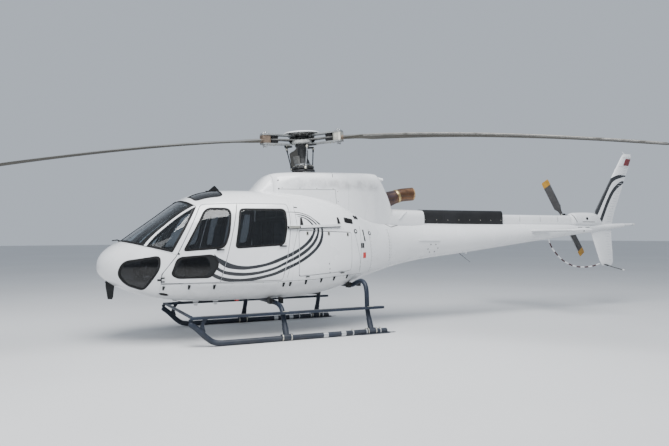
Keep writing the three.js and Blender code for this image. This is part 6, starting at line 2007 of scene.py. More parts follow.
print("tail rotor: %.2f m across" % (2 * TAIL_BLADE[-1][0]))

# %% [markdown]
# Small outside fittings give the machine its working look: blades above and below the cabin that
# cut a wire before it reaches the crew, a short probe ahead of the windscreen, rod aerials, and
# a drain pipe at the rear of the cowl. Each stands on the skin that carries it.

# %% Wire cutters, probe and aerials
cutter = Maker("roof_wire_cutter", PAINTS["black"], METALS["steel"])
cutter.prism([(-1.72, 2.186), (-1.7, 2.212), (-1.612, 2.288), (-1.596, 2.29), (-1.52, 2.212),
              (-1.505, 2.19)],
             -0.009, 0.009, 0, SIDE_ON)
cutter.box((-1.74, -0.03, 2.186), (-1.49, 0.03, 2.2105))
cutter.done()
cutter = Maker("nose_wire_cutter", PAINTS["black"], METALS["steel"])
cutter.prism([(-3.19, 0.88), (-3.19, 0.8), (-3.16, 0.612), (-3.1, 0.606), (-3.085, 0.64), (-3.07, 0.8),
              (-3.06, 0.85)], -0.01, 0.01, 0, SIDE_ON)
cutter.box((-3.195, -0.028, 0.845), (-3.06, 0.028, 0.862))
cutter.done()
probe = Maker("nose_probe", METALS["dark_cast"], METALS["steel"])
probe.rod([(-3.0, 0, 1.42), (-3.01, 0, 1.452), (-3.03, 0, 1.462), (-3.105, 0, 1.452)],
          [0.014, 0.013, 0.01, 0.008], 0)
probe.done(slot="rotor_metal")
aerial = Maker("boom_aerial", PAINTS["white"], PAINTS["black"])
aerial.rod([(2.918, 0, 1.236), (2.95, 0, 1.212)], [0.02, 0.01], 0)
aerial.rod([(2.95, 0, 1.212), (3.258, 0, 1.001)], [0.006, 0.0025], 1, sides=8)
aerial.rod([(3.165, 0, 1.196), (3.165, 0, 1.157)], [0.022, 0.012], 0)
aerial.done(slot="body_paint", bevel=0)
aerial = Maker("fin_tip_aerial", PAINTS["white"])
aerial.rod([(7.44, 0, 3.205), (7.4, 0, 3.238), (7.339, 0, 3.289)], [0.018, 0.01, 0.006])
aerial.done(slot="body_paint", bevel=0)
vent = Maker("cowl_drain_pipe", PAINTS["white"])
pipe(vent, [(1.06, -0.1, 2.512), (1.16, -0.1, 2.495), (1.32, -0.1, 2.468)], 0.032, 0.004, sides=24)
vent.done(slot="body_paint", bevel=0)
print("outside fittings done")

# %% [markdown]
# Seen through the windows, the cabin is mostly floor, seats and a dark rear wall. The floor is a
# flat board as wide as the skin allows, with a ribbed mat, and its front tongue carries the
# pedals. The rear wall is the skin's own section, filled in.


# %% Cabin floor and rear wall
def inner_outline(x_values, z, margin):
    """A flat outline at a height: both sides of the skin, drawn in by a margin."""
    wide = [(x, float(HULL.half_width(x, z)) - margin) for x in x_values]
    return [(x, -y) for x, y in wide] + [(x, y) for x, y in wide[::-1]]


PAINTS["floor"] = finish("floor_mat", (0.06, 0.062, 0.066), 0.75, tone=0.2, grain=0.8, grain_scale=210,
                         worn=(0.13, 0.13, 0.13), stretch=(9, 9, 9), cover=0.34)
PAINTS["moulded"] = finish("moulded_plastic", (0.085, 0.088, 0.094), 0.55, tone=0.1, grain=0.5,
                           grain_scale=330)
PAINTS["webbing"] = finish("harness_webbing", (0.03, 0.031, 0.034), 0.8, tone=0.15, weave=0.7,
                           threads=2200.0)
PAINTS["cloth"] = finish("seat_cloth", (0.085, 0.1, 0.13), 0.88, tone=0.1, tone_scale=9, weave=0.6,
                         threads=1900.0)
floor = Maker("cabin_floor_board", PAINTS["lining"], PAINTS["floor"])
floor.prism(inner_outline(np.linspace(-2.6, -0.668, 20), 0.835, 0.06), 0.815, 0.848)
floor.prism([(-2.95, -0.28), (-2.95, 0.28), (-2.601, 0.56), (-2.601, -0.56)], 0.825, 0.848)
floor.prism([(-2.08, -0.72), (-2.08, 0.72), (-0.69, 0.74), (-0.69, -0.74)], 0.8482, 0.8515, 1)
floor.prism([(-1.42, -0.68), (-1.42, 0.68), (-1.16, 0.68), (-1.16, -0.68)], 0.8517, 0.856)
for k in range(30):
    y = -0.7 + k * 0.0483
    for x_from, x_to in ((-2.06, -1.425), (-1.155, -0.7)):
        floor.box((x_from, y - 0.006, 0.8516), (x_to, y + 0.006, 0.8535), 1)
floor.done(slot="cabin_plastic", bevel=0)
angles = np.linspace(HULL.angle_at_height(np.array([-0.668]), np.array([0.87]))[0], math.pi / 2, 40)
half = [(p[1] - 0.055 if p[1] > 0.1 else p[1], p[2] - 0.055 * max(0, math.sin(a)))
        for p, a in zip(HULL.point(np.full(40, HULL.length_of(-0.668)), angles), angles)]
rear_wall = Maker("cabin_rear_wall", PAINTS["lining"], PAINTS["moulded"], METALS["zinc"])
rear_wall.prism([(max(y, 0), z) for y, z in half] + [(-max(y, 0), z) for y, z in half[-2::-1]], -0.676,
                -0.664, 0, END_ON)
for y in (-0.55, 0.0, 0.55):
    panel_line = rounded([[y - 0.24, 1.82, 0.04], [y + 0.24, 1.82, 0.04], [y + 0.24, 2.04, 0.08],
                          [y - 0.24, 2.04, 0.08]], 0.03)
    rear_wall.prism([(u * 0.92, v) for u, v in panel_line], -0.6815, -0.6765, 1, END_ON)
rear_wall.done(slot="cabin_plastic", bevel=0.001)
console = Maker("overhead_console", PAINTS["moulded"], PAINTS["black"], METALS["zinc"])
console.prism(rounded([[-2.02, -0.1, 0.03], [-1.62, -0.08, 0.03], [-1.62, 0.08, 0.03],
                       [-2.02, 0.1, 0.03]]), 1.985, 2.05)
for k in range(4):
    for y in (-0.045, 0.0, 0.045):
        knob = shifted(-1.95 + 0.085 * k, y, 1.985)
        console.lathe([(0, -0.022), (0.008, -0.022), (0.01, -0.004), (0.014, -0.0005), (0, -0.0005)], 1,
                      knob, parts=14)
console.done(slot="cabin_plastic")
print("floor and wall done")

# %% [markdown]
# A cushion is foam in a sewn cover. Foam pushes outwards and thread holds the edges, so the middle
# stands proud, the sides pull in between the corners and the cloth puckers along each seam. It is
# made as a net of even squares in the shape of a rounded box, crowned by formula, then blown up a
# little by a cloth simulation. Points may only move a few millimetres, so it keeps its size. The
# net keeps its rows and columns through all this, so channels and piping can follow them after.


# %% Cushions: the net
def lattice(parts):
    """The points and squares on the surface of a box with so many parts each way, from -1 to 1."""
    numbers, spots, faces = {}, [], []

    def index(cell):
        if cell not in numbers:
            numbers[cell] = len(spots)
            spots.append([2 * c / n - 1 for c, n in zip(cell, parts)])
        return numbers[cell]

    for axis in range(3):
        a, b = (axis + 1) % 3, (axis + 2) % 3
        for level in (0, parts[axis]):
            for i in range(parts[a]):
                for j in range(parts[b]):
                    ring = []
                    for di, dj in ((0, 0), (1, 0), (1, 1), (0, 1)):
                        cell = [0, 0, 0]
                        cell[axis], cell[a], cell[b] = level, i + di, j + dj
                        ring.append(index(tuple(cell)))
                    faces.append(tuple(ring if level else ring[::-1]))
    return np.array(spots), faces


def cushion_points(spots, size, radius, crown, pull):
    """A rounded box, crowned on top and pulled in along its sides."""
    half = np.array(size) / 2
    p = spots * half
    core = np.clip(p, -(half - radius), half - radius)
    away = p - core
    reach = np.linalg.norm(away, axis=1, keepdims=True)
    p = core + np.where(reach > 1e-9, away / np.maximum(reach, 1e-9) * radius, 0)
    u, v, w = (p / half).T
    top = np.clip((w + 1) / 2, 0, 1)
    p[:, 2] += crown * (1 - u**4) * (1 - v**4) * top - crown * 0.4
    p[:, 0] *= 1 - pull * (1 - v**2)
    p[:, 1] *= 1 - pull * (1 - u**2)
    return p


# %% Cushions: foam pressure
FOAM_FRAMES = 20


def blown(name, points, faces, cap):
    """The net after the foam has pushed it out, each point moved by no more than cap."""
    mesh = bpy.data.meshes.new(name)
    mesh.from_pydata([tuple(p) for p in points], [], faces)
    holder = bpy.data.objects.new(name, mesh)
    bpy.context.scene.collection.objects.link(holder)
    cloth = holder.modifiers.new("foam", "CLOTH")
    cloth.settings.quality = 5
    cloth.settings.mass = 0.3
    cloth.settings.tension_stiffness = 12
    cloth.settings.compression_stiffness = 12
    cloth.settings.bending_stiffness = 0.6
    cloth.settings.use_pressure = True
    cloth.settings.uniform_pressure_force = 4.0
    cloth.settings.effector_weights.gravity = 0.0
    cloth.point_cache.frame_start, cloth.point_cache.frame_end = 1, FOAM_FRAMES
    scene = bpy.context.scene
    for number in range(1, FOAM_FRAMES + 1):
        scene.frame_set(number)
    final = holder.evaluated_get(bpy.context.evaluated_depsgraph_get()).data
    after = np.empty(3 * len(points))
    final.vertices.foreach_get("co", after)
    scene.frame_set(1)
    bpy.data.objects.remove(holder)
    shift = after.reshape(-1, 3) - points
    size = np.linalg.norm(shift, axis=1, keepdims=True)
    return points + shift * np.minimum(1, cap / np.maximum(size, 1e-9))


def sewn(points, spots, channels, pucker):
    """Channels pressed in along lines of the net, and puckers in the cloth next to the seams."""
    u, v, w = spots.T
    front = np.clip(w, 0, 1)
    depth = np.zeros(len(points))
    for axis, level in channels:
        near = np.abs((u, v)[axis] - level)
        depth = np.maximum(depth, 0.011 * np.exp(-(near / 0.055)**2))
        across = (v, u)[axis]
        depth += pucker * np.exp(-(near / 0.16)**2) * (0.5 + 0.5 * np.sin(across * 41 + level * 9)) * 0.7
    rim = np.maximum(np.abs(u), np.abs(v))
    along = np.arctan2(v, u)
    depth += pucker * np.exp(-((1 - rim) / 0.12)**2) * (0.5 + 0.5 * np.sin(along * 37))
    result = points.copy()
    result[:, 2] -= depth * front
    return result


PAD_KINDS = {  # size along, across and through, net parts, corner radius, crown, side pull, channels
    "seat": ((0.42, 0.45, 0.125), (34, 36, 10), 0.04, 0.028, 0.035, [(1, -0.55), (1, 0.55), (0, 0.1)]),
    "back": ((0.58, 0.42, 0.085), (46, 34, 7), 0.034, 0.022, 0.035,
             [(1, -0.6), (1, 0.6), (0, -0.35), (0, 0.3)]),
    "head": ((0.145, 0.25, 0.075), (14, 22, 7), 0.03, 0.014, 0.03, []),
    "bench_seat": ((0.36, 0.49, 0.13), (30, 38, 10), 0.04, 0.03, 0.03, [(0, 0.0)]),
    "bench_back": ((0.7, 0.46, 0.066), (54, 36, 6), 0.028, 0.012, 0.03, [(0, -0.3), (0, 0.3)]),
}
PADS = {}
for kind, (size, parts, radius, crown, pull, channels) in PAD_KINDS.items():
    spots, faces = lattice(parts)
    points = cushion_points(spots, size, radius, crown, pull)
    points = blown("pad_" + kind, points, faces, 0.007)
    PADS[kind] = (sewn(points, spots, channels, 0.0022), spots, faces)
    print("pad", kind, "is", [round(float(v), 3) for v in np.ptp(PADS[kind][0], axis=0)], "m")

# %% [markdown]
# Each seat takes its pads from those nets. A cord of piping runs round the seam of every pad, on
# the row of points where top and side meet. The seat frames, shells and harness straps around
# them are plain bodies: the straps lie on the back cushion and end in a round buckle.


# %% Seats and bench
def set_pad(name, kind, place, body="root"):
    points, spots, faces = PADS[kind]
    matrix = np.array(place)
    mesh = bpy.data.meshes.new(name)
    moved_pad = points @ matrix[:3, :3].T + matrix[:3, 3]
    mesh.from_pydata([tuple(p) for p in moved_pad], [], faces)
    mesh.materials.append(PAINTS["cloth"])
    mesh.shade_smooth()
    pad = add_object(name, place_mesh(mesh), body)
    pad.modifiers.new("smooth", "SUBSURF").levels = 1
    pad.modifiers["smooth"].render_levels = 1
    level = 0.62
    rim = np.where((np.abs(spots[:, 2] - level) == np.min(np.abs(spots[:, 2] - level)))
                   & (np.maximum(np.abs(spots[:, 0]), np.abs(spots[:, 1])) > 0.999))[0]
    middle = moved_pad.mean(0)
    local = points[rim]
    order = np.argsort(np.arctan2(local[:, 1], local[:, 0]))
    away = local[order] * [1, 1, 0]
    seam = local[order] + away / np.linalg.norm(away, axis=1, keepdims=True) * 0.0015
    seam = seam @ matrix[:3, :3].T + matrix[:3, 3]
    cord = Maker(name + "_piping", PAINTS["cloth"])
    ring, sides = [], 6
    for k, here in enumerate(seam):
        ahead = Vector(seam[(k + 1) % len(seam)] - seam[k - 1]).normalized()
        out = Vector(here - middle)
        out = (out - ahead * out.dot(ahead)).normalized()
        other = ahead.cross(out)
        ring += [Vector(here) + (out * math.cos(t) + other * math.sin(t)) * 0.0045
                 for t in (2 * math.pi * j / sides for j in range(sides))]
    count = len(seam)
    quads = [(k * sides + j, ((k + 1) % count) * sides + j, ((k + 1) % count) * sides + (j + 1) % sides,
              k * sides + (j + 1) % sides) for k in range(count) for j in range(sides)]
    cord.add(ring, quads)
    cord.done(body, "seat_fabric", bevel=0)
    return pad


# %% Harness webbing
def strap(maker, line, width, across, finish=0, thick=0.002):
    """Flat webbing along a line."""
    line = [Vector(p) for p in line]
    across = Vector(across).normalized() * width / 2
    points = []
    for k, here in enumerate(line):
        ahead = (line[min(k + 1, len(line) - 1)] - line[max(k - 1, 0)]).normalized()
        out = ahead.cross(across).normalized() * thick / 2
        points += [here - across - out, here + across - out, here + across + out, here - across + out]
    maker.add(points, bar_faces(len(line)), finish)

# %% Front seats
LEAN = 0.2
for label, side in SIDES.items():
    y = side * 0.43
    seat = Maker("front_seat_frame_" + label, PAINTS["moulded"], METALS["dark_cast"], PAINTS["webbing"],
                 METALS["steel"])
    seat.prism(rounded([[-1.945, 0.985, 0.03], [-1.93, 1.02, 0.02], [-1.515, 1.01, 0.02],
                        [-1.52, 0.965, 0.03]], 0.02),
               -0.232, 0.232, 0, Matrix(((1, 0, 0, 0), (0, 0, 1, y), (0, 1, 0, 0), (0, 0, 0, 1))))
    for way in (-0.17, 0.17):
        seat.box((-1.92, y + way - 0.022, 0.8525), (-1.54, y + way + 0.022, 0.872), 1)
        seat.prism([(-1.9, 0.873), (-1.86, 0.984), (-1.6, 0.965), (-1.56, 0.873)], way - 0.01, way + 0.01,
                   1,
                   Matrix(((1, 0, 0, 0), (0, 0, 1, y), (0, 1, 0, 0), (0, 0, 0, 1))))
    back = shifted(-1.43, y, 1.48) @ Matrix.Rotation(LEAN, 4, "Y")
    shell = [[0.01, -0.375, 0.02], [0.01, 0.355, 0.02], [0.03, 0.372, 0.02], [0.043, 0.36, 0.02],
             [0.043, -0.375, 0.02]]
    turn = Matrix(((1, 0, 0, 0), (0, 0, 1, 0), (0, 1, 0, 0), (0, 0, 0, 1)))
    seat.prism(rounded(shell, 0.02), -0.222, 0.222, 0, back @ turn)
    set_pad("seat_cushion_" + label, "seat", shifted(-1.728, y, 1.098) @ Matrix.Rotation(-0.05, 4, "Y"))
    face_on = Matrix(((0, 0, -1, 0), (0, 1, 0, 0), (1, 0, 0, 0), (0, 0, 0, 1)))
    set_pad("back_cushion_" + label, "back", back @ shifted(-0.002, 0, -0.055) @ face_on)
    set_pad("head_cushion_" + label, "head", back @ shifted(-0.004, 0, 0.292) @ face_on)
    for way in (-1, 1):
        belt = [back @ Vector(p) for p in ((0.046, way * 0.085, 0.345), (0.02, way * 0.085, 0.3755),
                (-0.03, way * 0.085, 0.335), (-0.0535, way * 0.08, 0.215), (-0.0585, way * 0.07, 0.05),
                (-0.06, way * 0.05, -0.12))]
        strap(seat, smooth_line(belt, 5), 0.045, back.to_3x3() @ Vector((0, 1, 0)), 2)
        lap = [(-1.545, y + way * 0.215, 1.12), (-1.6, y + way * 0.185, 1.186),
               (-1.65, y + way * 0.1, 1.196),
               (-1.655, y + way * 0.03, 1.196)]
        strap(seat, smooth_line(lap, 5), 0.045, (1, 0, 0.1), 2)
    seat.lathe([(0, -0.008), (0.03, -0.008), (0.034, 0), (0.03, 0.01), (0, 0.012)], 3,
               shifted(-1.655, y, 1.203), parts=24)
    seat.done(slot="cabin_plastic", replaces=["front_seat_" + label])

# %% Rear bench
bench = Maker("rear_bench_frame", PAINTS["moulded"], METALS["dark_cast"], PAINTS["webbing"],
              METALS["steel"])
bench.box((-1.125, -0.765, 0.985), (-0.765, 0.765, 1.01))
bench.box((-0.712, -0.735, 1.01), (-0.692, 0.735, 1.775))
for y in (-0.7, -0.26, 0.26, 0.7):
    bench.rod([(-1.09, y, 0.856), (-1.09, y, 0.986)], 0.014, 1)
    bench.rod([(-0.8, y, 0.856), (-0.8, y, 0.986)], 0.014, 1)
    bench.rod([(-1.09, y, 0.88), (-0.8, y, 0.98)], 0.01, 1)
for k, y in enumerate((-0.515, 0.0, 0.515)):
    set_pad("bench_cushion_%d" % (k + 1), "bench_seat", shifted(-0.948, y, 1.078))
    set_pad("bench_back_%d" % (k + 1), "bench_back", shifted(-0.742, y, 1.415) @ face_on)
    lap = [(-0.775, y + 0.19, 1.135), (-0.82, y + 0.12, 1.162), (-0.9, y, 1.168), (-0.82, y - 0.12, 1.162),
           (-0.775, y - 0.19, 1.135)]
    strap(bench, smooth_line(lap, 5), 0.045, (1, 0, 0.3), 2)
    strap(bench, smooth_line([(-0.786, y + 0.12, 1.7), (-0.789, y + 0.1, 1.45), (-0.8, y + 0.06, 1.22)],
                             5), 0.045,
          (0, 1, 0), 2)
bench.done(slot="cabin_plastic", replaces=["rear_bench"])
print("seats done")

# %% [markdown]
# The instrument panel is one hooded box on a pedestal. The round dials are turned: a black bezel
# ring, a face set a little back and a glass over it. Their ticks are blocks on points, and the
# needles are thin bars. The pilots' sticks, levers and pedals are bent rods.

# %% Instrument panel
cockpit = Maker("instrument_panel_box", PAINTS["moulded"], PAINTS["black"], PAINTS["lining"],
                METALS["zinc"],
                PAINTS["white"])
box_side = rounded([[-2.635, 1.085, 0.02], [-2.635, 1.392, 0.03], [-2.5, 1.398, 0.01],
                    [-2.485, 1.385, 0.01],
                    [-2.52, 1.378, 0.01], [-2.505, 1.085, 0.02]], 0.02)
cockpit.prism(box_side, -0.325, 0.325, 0, SIDE_ON)
pedestal = rounded([[-2.555, 0.8525, 0.01], [-2.555, 1.084, 0.01], [-2.44, 1.084, 0.02],
                    [-2.21, 0.985, 0.03],
                    [-2.205, 0.8525, 0.01]], 0.02)
cockpit.prism(pedestal, -0.145, 0.145, 0, SIDE_ON)
face_z = Vector((0.9987, 0, 0.051)).normalized()
tick_spots, tick_facings, tick_alongs = [], [], []


def dial(y, z, radius):
    x = -2.52 + (1.378 - z) * 0.0512
    place = frame_at((x, y, z), face_z, (0, 1, 0))
    cockpit.lathe([(radius * 0.84, 0.001), (radius, 0.001), (radius, 0.006), (radius * 0.92, 0.009),
                   (radius * 0.84, 0.004)], 1, place, parts=28, ring=True)
    cockpit.lathe(disc(radius * 0.84, 0.0005, 0.0018), 1, place, parts=28)
    turn = place @ turned(40 + 90 * y + 300 * z, "Z")
    cockpit.box((-radius * 0.1, -radius * 0.03, 0.0022), (radius * 0.62, radius * 0.03, 0.0032), 4, turn)
    cockpit.lathe(disc(radius * 0.1, 0.002, 0.0042), 1, place, parts=12)
    for k in range(10):
        arm = place @ turned(-60 + 33.3 * k, "Z")
        tick_spots.append(arm @ Vector((radius * 0.72, 0, 0.0023)))
        tick_facings.append(face_z)
        tick_alongs.append(arm.to_3x3() @ Vector((1, 0, 0)))


for y in (-0.255, -0.165):
    for z in (1.315, 1.225, 1.14):
        dial(y, z, 0.04)
for y, z in [(0.1, 1.335), (0.165, 1.335), (0.23, 1.335), (0.1, 1.27), (0.165, 1.27), (0.23, 1.27)]:
    dial(y, z, 0.028)
screen_place = frame_at((-2.519, -0.03, 1.27), face_z, (0, 1, 0))
PAINTS["screen"] = finish("display_glass", (0.012, 0.016, 0.022), 0.08, tone=0.3, tone_scale=20, coat=0.8)
cockpit.finishes = (*cockpit.finishes, PAINTS["screen"])
for low, high in (((-0.06, -0.01), (0.065, 0.1)), ((-0.06, -0.135), (0.065, -0.03))):
    frame_line = rounded([[low[0], low[1], 0.01], [high[0], low[1], 0.01], [high[0], high[1], 0.01],
                          [low[0], high[1], 0.01]], 0.01)
    cockpit.prism(frame_line, 0.0005, 0.006, 1, screen_place)
    cockpit.box((low[0] + 0.012, low[1] + 0.012, 0.0062), (high[0] - 0.012, high[1] - 0.012, 0.007), 5,
                screen_place)
radio_place = frame_at((-2.508, 0.195, 1.16), face_z, (0, 1, 0))
for row in range(3):
    cockpit.box((-0.11, -0.055 + 0.04 * row, 0.0005), (0.11, -0.019 + 0.04 * row, 0.005), 1, radio_place)
    cockpit.box((-0.06, -0.046 + 0.04 * row, 0.0052), (0.03, -0.028 + 0.04 * row, 0.006), 5, radio_place)
    for x in (-0.085, 0.06, 0.09):
        knob = radio_place @ shifted(x, -0.037 + 0.04 * row, 0.0052)
        cockpit.lathe([(0, 0), (0.009, 0), (0.008, 0.014), (0, 0.015)], 3, knob, parts=14)
slope = frame_at((-2.325, 0, 1.0345), (0.395, 0, 0.918), (0.918, 0, -0.395))
for row in range(4):
    cockpit.box((-0.105 + row * 0.05, -0.12, 0.0006), (-0.062 + row * 0.05, 0.12, 0.005), 1, slope)
    for k in range(6):
        cockpit.box((-0.092 + row * 0.05, -0.1 + 0.036 * k, 0.0052),
                    (-0.075 + row * 0.05, -0.082 + 0.036 * k, 0.012), 3 if k % 2 else 2,
                    slope)
cockpit.done(slot="cabin_plastic", replaces=["instrument_panel"], bevel=0.0008)
blocks("dial_ticks", tick_spots, tick_facings, tick_alongs, (0.008, 0.0018, 0.0008), PAINTS["white"])

# %% [markdown]
# Sticks, levers and pedals show as dark strokes behind the glass. They are rods along eased lines,
# each with a thicker grip, made once for each side.

# %% Flying controls
controls = Maker("flying_controls", METALS["dark_cast"], PAINTS["rubber"], METALS["steel"])
for side in (-1, 1):
    y = side * 0.43
    stick = smooth_line([(-2.1, y, 0.8525), (-2.14, y, 1.0), (-2.12, y, 1.16), (-2.06, y, 1.27)], 6)
    controls.rod(stick, 0.011, 0)
    controls.rod([(-2.066, y, 1.262), (-2.052, y, 1.3), (-2.056, y, 1.345), (-2.07, y, 1.372)],
                 [0.014, 0.019, 0.018, 0.012], 1)
    controls.lathe([(0.012, 0), (0.05, 0), (0.032, 0.022), (0.018, 0.034), (0.012, 0.036)], 1,
                   shifted(-2.1, y, 0.854), parts=24, ring=True)
    lever = [(-1.56, y - 0.285, 0.88), (-1.8, y - 0.285, 1.0), (-1.98, y - 0.285, 1.085)]
    controls.rod(lever, 0.011, 0)
    controls.rod([(-1.94, y - 0.285, 1.066), (-2.07, y - 0.285, 1.124)], [0.019, 0.021], 1)
    controls.box((-1.6, y - 0.303, 0.8525), (-1.53, y - 0.267, 0.885), 0)
    for way in (-0.09, 0.09):
        controls.rod([(-2.6, y * 0.8 + way, 0.8485), (-2.72, y * 0.8 + way, 0.93),
                      (-2.735, y * 0.8 + way, 0.985)],
                     0.01, 2)
        controls.box((-2.752, y * 0.8 + way - 0.045, 0.95), (-2.736, y * 0.8 + way + 0.045, 1.03), 1)
controls.done(slot="rotor_metal")
print("cockpit done")

# %% [markdown]
# Up close the skin is full of small work: seams, rows of rivets, drain wedges, latches, handles.
# Thin bands that follow a line of the side view make the seams, and everything that repeats is set
# on points by the head and block trees. A fitting's place is given as station and height, and the
# skin's own formula says where that is in space and which way it faces.


# %% Fittings on the skin
def on_form(form, x, z, side=1):
    """Points of a form's skin and the directions in which they face."""
    length, angle = form.length_of(np.atleast_1d(x)), form.angle_at_height(np.atleast_1d(x),
                                                                           np.atleast_1d(z))
    flip = np.array([1.0, side, 1.0])
    return form.point(length, angle) * flip, form.normal(length, angle) * flip


def band_on(maker, line, width, finish=0, side=1, form=HULL, rise=0.0006, depth=0.003, step=0.03):
    """A thin band along a line of the side view."""
    x, z = fill_line(line, step).T
    points, normals = on_form(form, x, z, side)
    normals /= np.linalg.norm(normals, axis=1, keepdims=True)
    ahead = np.gradient(points, axis=0)
    across = np.cross(normals, ahead)
    across *= width / 2 / np.linalg.norm(across, axis=1, keepdims=True)
    corners = np.stack([points - across - normals * depth, points + across - normals * depth,
                        points + across + normals * rise, points - across + normals * rise], 1).reshape(-1,
                                                                                                        3)
    maker.add(corners, bar_faces(len(points)), finish)


def fitting_place(x, z, side, form=HULL, along=(1, 0, 0)):
    point, facing = on_form(form, x, z, side)
    return frame_at(point[0], facing[0], along)


def spread(line, pitch):
    """Points at an even distance along a line of the side view."""
    line = np.asarray(line, float)
    travel = np.concatenate([[0], np.cumsum(np.linalg.norm(np.diff(line, axis=0), axis=1))])
    at = np.linspace(0, travel[-1], max(2, int(travel[-1] / pitch)))
    return np.stack([np.interp(at, travel, line[:, k]) for k in (0, 1)], -1)

# %% Seams, rivets and side fittings
PAINTS["seam"] = finish("seam_shadow", (0.16, 0.165, 0.17), 0.7, tone=0.3, tone_scale=14)
SKIN_SEAMS = [
    [[-2.531, 0.849], [-2.172, 0.852], [-1.764, 0.846], [-1.334, 0.838], [-0.884, 0.838], [-0.591, 0.846],
     [-0.28, 0.85], [0.056, 0.875], [0.673, 0.901]],
    [[-0.602, 1.966], [-0.581, 1.602], [-0.667, 1.247], [-0.747, 0.894]],
    [[0.777, 1.606], [0.852, 0.905]], [[0.609, 0.92], [0.551, 1.222], [0.47, 1.545]],
    [[1.232, 1.617], [1.263, 1.204], [1.286, 1.077]], [[0.592, 1.662], [0.584, 0.956]],
]
RIVET_LINES = [
    ([[-2.5, 0.838], [-1.8, 0.834], [-0.88, 0.826]], 0.19), ([[-0.55, 0.836], [0.056, 0.862],
                                                              [0.66, 0.888]], 0.12),
    ([[0.8, 1.6], [0.872, 0.92]], 0.055), ([[1.255, 1.6], [1.306, 1.09]], 0.045),
    ([[1.21, 1.6], [1.266, 1.09]], 0.045), ([[-0.56, 1.64], [0.24, 1.612]], 0.1),
]
WEDGES = [(-2.498, 0.829), (-2.168, 0.836), (-1.823, 0.83), (-0.791, 0.826), (-0.686, 0.831),
          (-0.431, 0.848),
          (-0.166, 0.865), (0.072, 0.883), (0.336, 0.899)]
for label, side in SIDES.items():
    seams = Maker("skin_seams_" + label, PAINTS["seam"])
    for line in SKIN_SEAMS:
        band_on(seams, line, 0.005, 0, side)
    seams.done(bevel=0)
    spots, facings = [], []
    for line, pitch in RIVET_LINES:
        x, z = spread(line, pitch).T
        points, normals = on_form(HULL, x, z, side)
        spots += list(points)
        facings += list(normals)
    heads("skin_rivets_" + label, spots, facings, 0.0048, 0.0024, METALS["grey_cast"])
    fittings = Maker("side_fittings_" + label, PAINTS["black"], METALS["zinc"], PAINTS["white"],
                     METALS["dark_cast"],
                     PAINTS["red"], PAINTS["rubber"])
    for x, z in WEDGES:
        place = fitting_place(x, z - 0.035, side)
        lean = side * 0.004
        wedge = [(-0.019, 0.037), (0.019, 0.037), (0.013 + lean, -0.034), (-0.009 + lean, -0.034)]
        fittings.prism([(u, -side * v) for u, v in wedge], -0.006, 0.01, 0, place)
    for x, z in [(0.602, 1.35), (0.64, 1.35)]:
        fittings.box((-0.016, -0.04, -0.004), (0.016, 0.04, 0.004), 3, fitting_place(x, z, side))
    fittings.box((-0.034, -0.046, -0.004), (0.034, 0.046, 0.0016), 4, fitting_place(0.664, 1.193, side))
    for x, z, radius in [(0.491, 1.576, 0.038), (0.8, 1.546, 0.034)]:
        ring = fitting_place(x, z, side)
        fittings.lathe(disc(radius, -0.004, 0.003), 5, ring, parts=36)
        fittings.lathe([(0, 0.0032), (radius * 0.5, 0.0032), (radius * 0.48, 0.006), (0, 0.007)], 2, ring,
                       parts=30)
    fittings.box((-0.028, -0.008, -0.003), (0.028, 0.008, 0.004), 0, fitting_place(-0.572, 1.935, side))
    band_on(fittings, [[1.145, 1.745], [1.363, 1.65], [1.712, 1.715]], 0.012, 5, side, rise=0.003)
    band_on(fittings, [[1.05, 1.8], [1.15, 1.745]], 0.042, 5, side, rise=0.014)
    for x in (5.9, 6.12):
        band_on(fittings, [[x, 1.655], [x + 0.12, 1.655]], 0.012, 3, side, rise=0.001)
    fittings.box((-0.012, -0.095, -0.004), (0.012, 0.095, 0.003), 5,
                 fitting_place(0.664, 1.51, side, along=(1, 0, 0.15)))
    for x, z in [(-0.51, 1.722), (0.159, 1.74)]:
        fittings.prism([(-0.054, -0.026), (0.056, -0.013), (0.056, 0.013), (-0.054, 0.026)], -0.004, 0.012,
                       5,
                       fitting_place(x, z, side, along=(0, 0, 1)))
    for tilt in (-0.5, 0.9):
        fittings.box((-0.048, -0.018, -0.004), (0.048, 0.018, 0.012), 5, fitting_place(0.56, 1.798, side,
                                                                              along=(1, 0, tilt)))
    fittings.lathe([(0, -0.004), (0.014, -0.004), (0.015, 0.001), (0.012, 0.005), (0, 0.006)], 3,
                   fitting_place(-2.317, 1.268, side), parts=20)
    fittings.lathe([(0, -0.005), (0.034, -0.005), (0.04, 0.001), (0.034, 0.007), (0, 0.01)], 5,
                   fitting_place(-2.476, 0.701, side, along=(1, 0, 0)) @ Matrix.Diagonal((1.7, 1, 1, 1)),
                   parts=30)
    grille = fitting_place(0.378, 1.743, side)
    fittings.prism([(u, v * side) for u, v in rounded([[-0.098, -0.046, 0.01], [0.094, -0.046, 0.01],
                                                       [0.07, 0.046, 0.01],
                                                       [-0.098, 0.046, 0.01]], 0.02)], -0.01, 0.003, 5,
                   grille)
    for k in range(7):
        fittings.box((-0.088 + 0.026 * k, -0.04, 0.003), (-0.074 + 0.026 * k, 0.04, 0.008), 5, grille)
    handle = fitting_place(2.13, 1.421, side, along=(1, 0, 0))
    fittings.prism(rounded([[-0.235, -0.015, 0.012], [0.235, -0.013, 0.012], [0.235, 0.013, 0.012],
                            [-0.235, 0.015, 0.012]],
                           0.02), -0.004, 0.016, 2, handle)
    fittings.done(bevel=0.001)
    spots, facings = zip(*[(p[0], n[0]) for p, n in (on_form(HULL, x, z, side) for x, z in [
        (2.175, 1.345), (2.286, 1.343), (2.127, 1.266), (2.346, 1.28), (2.183, 1.211), (2.295, 1.218)])])
    heads("boom_studs_" + label, list(spots), list(facings), 0.012, 0.006, METALS["dark_cast"])
print("side fittings done")

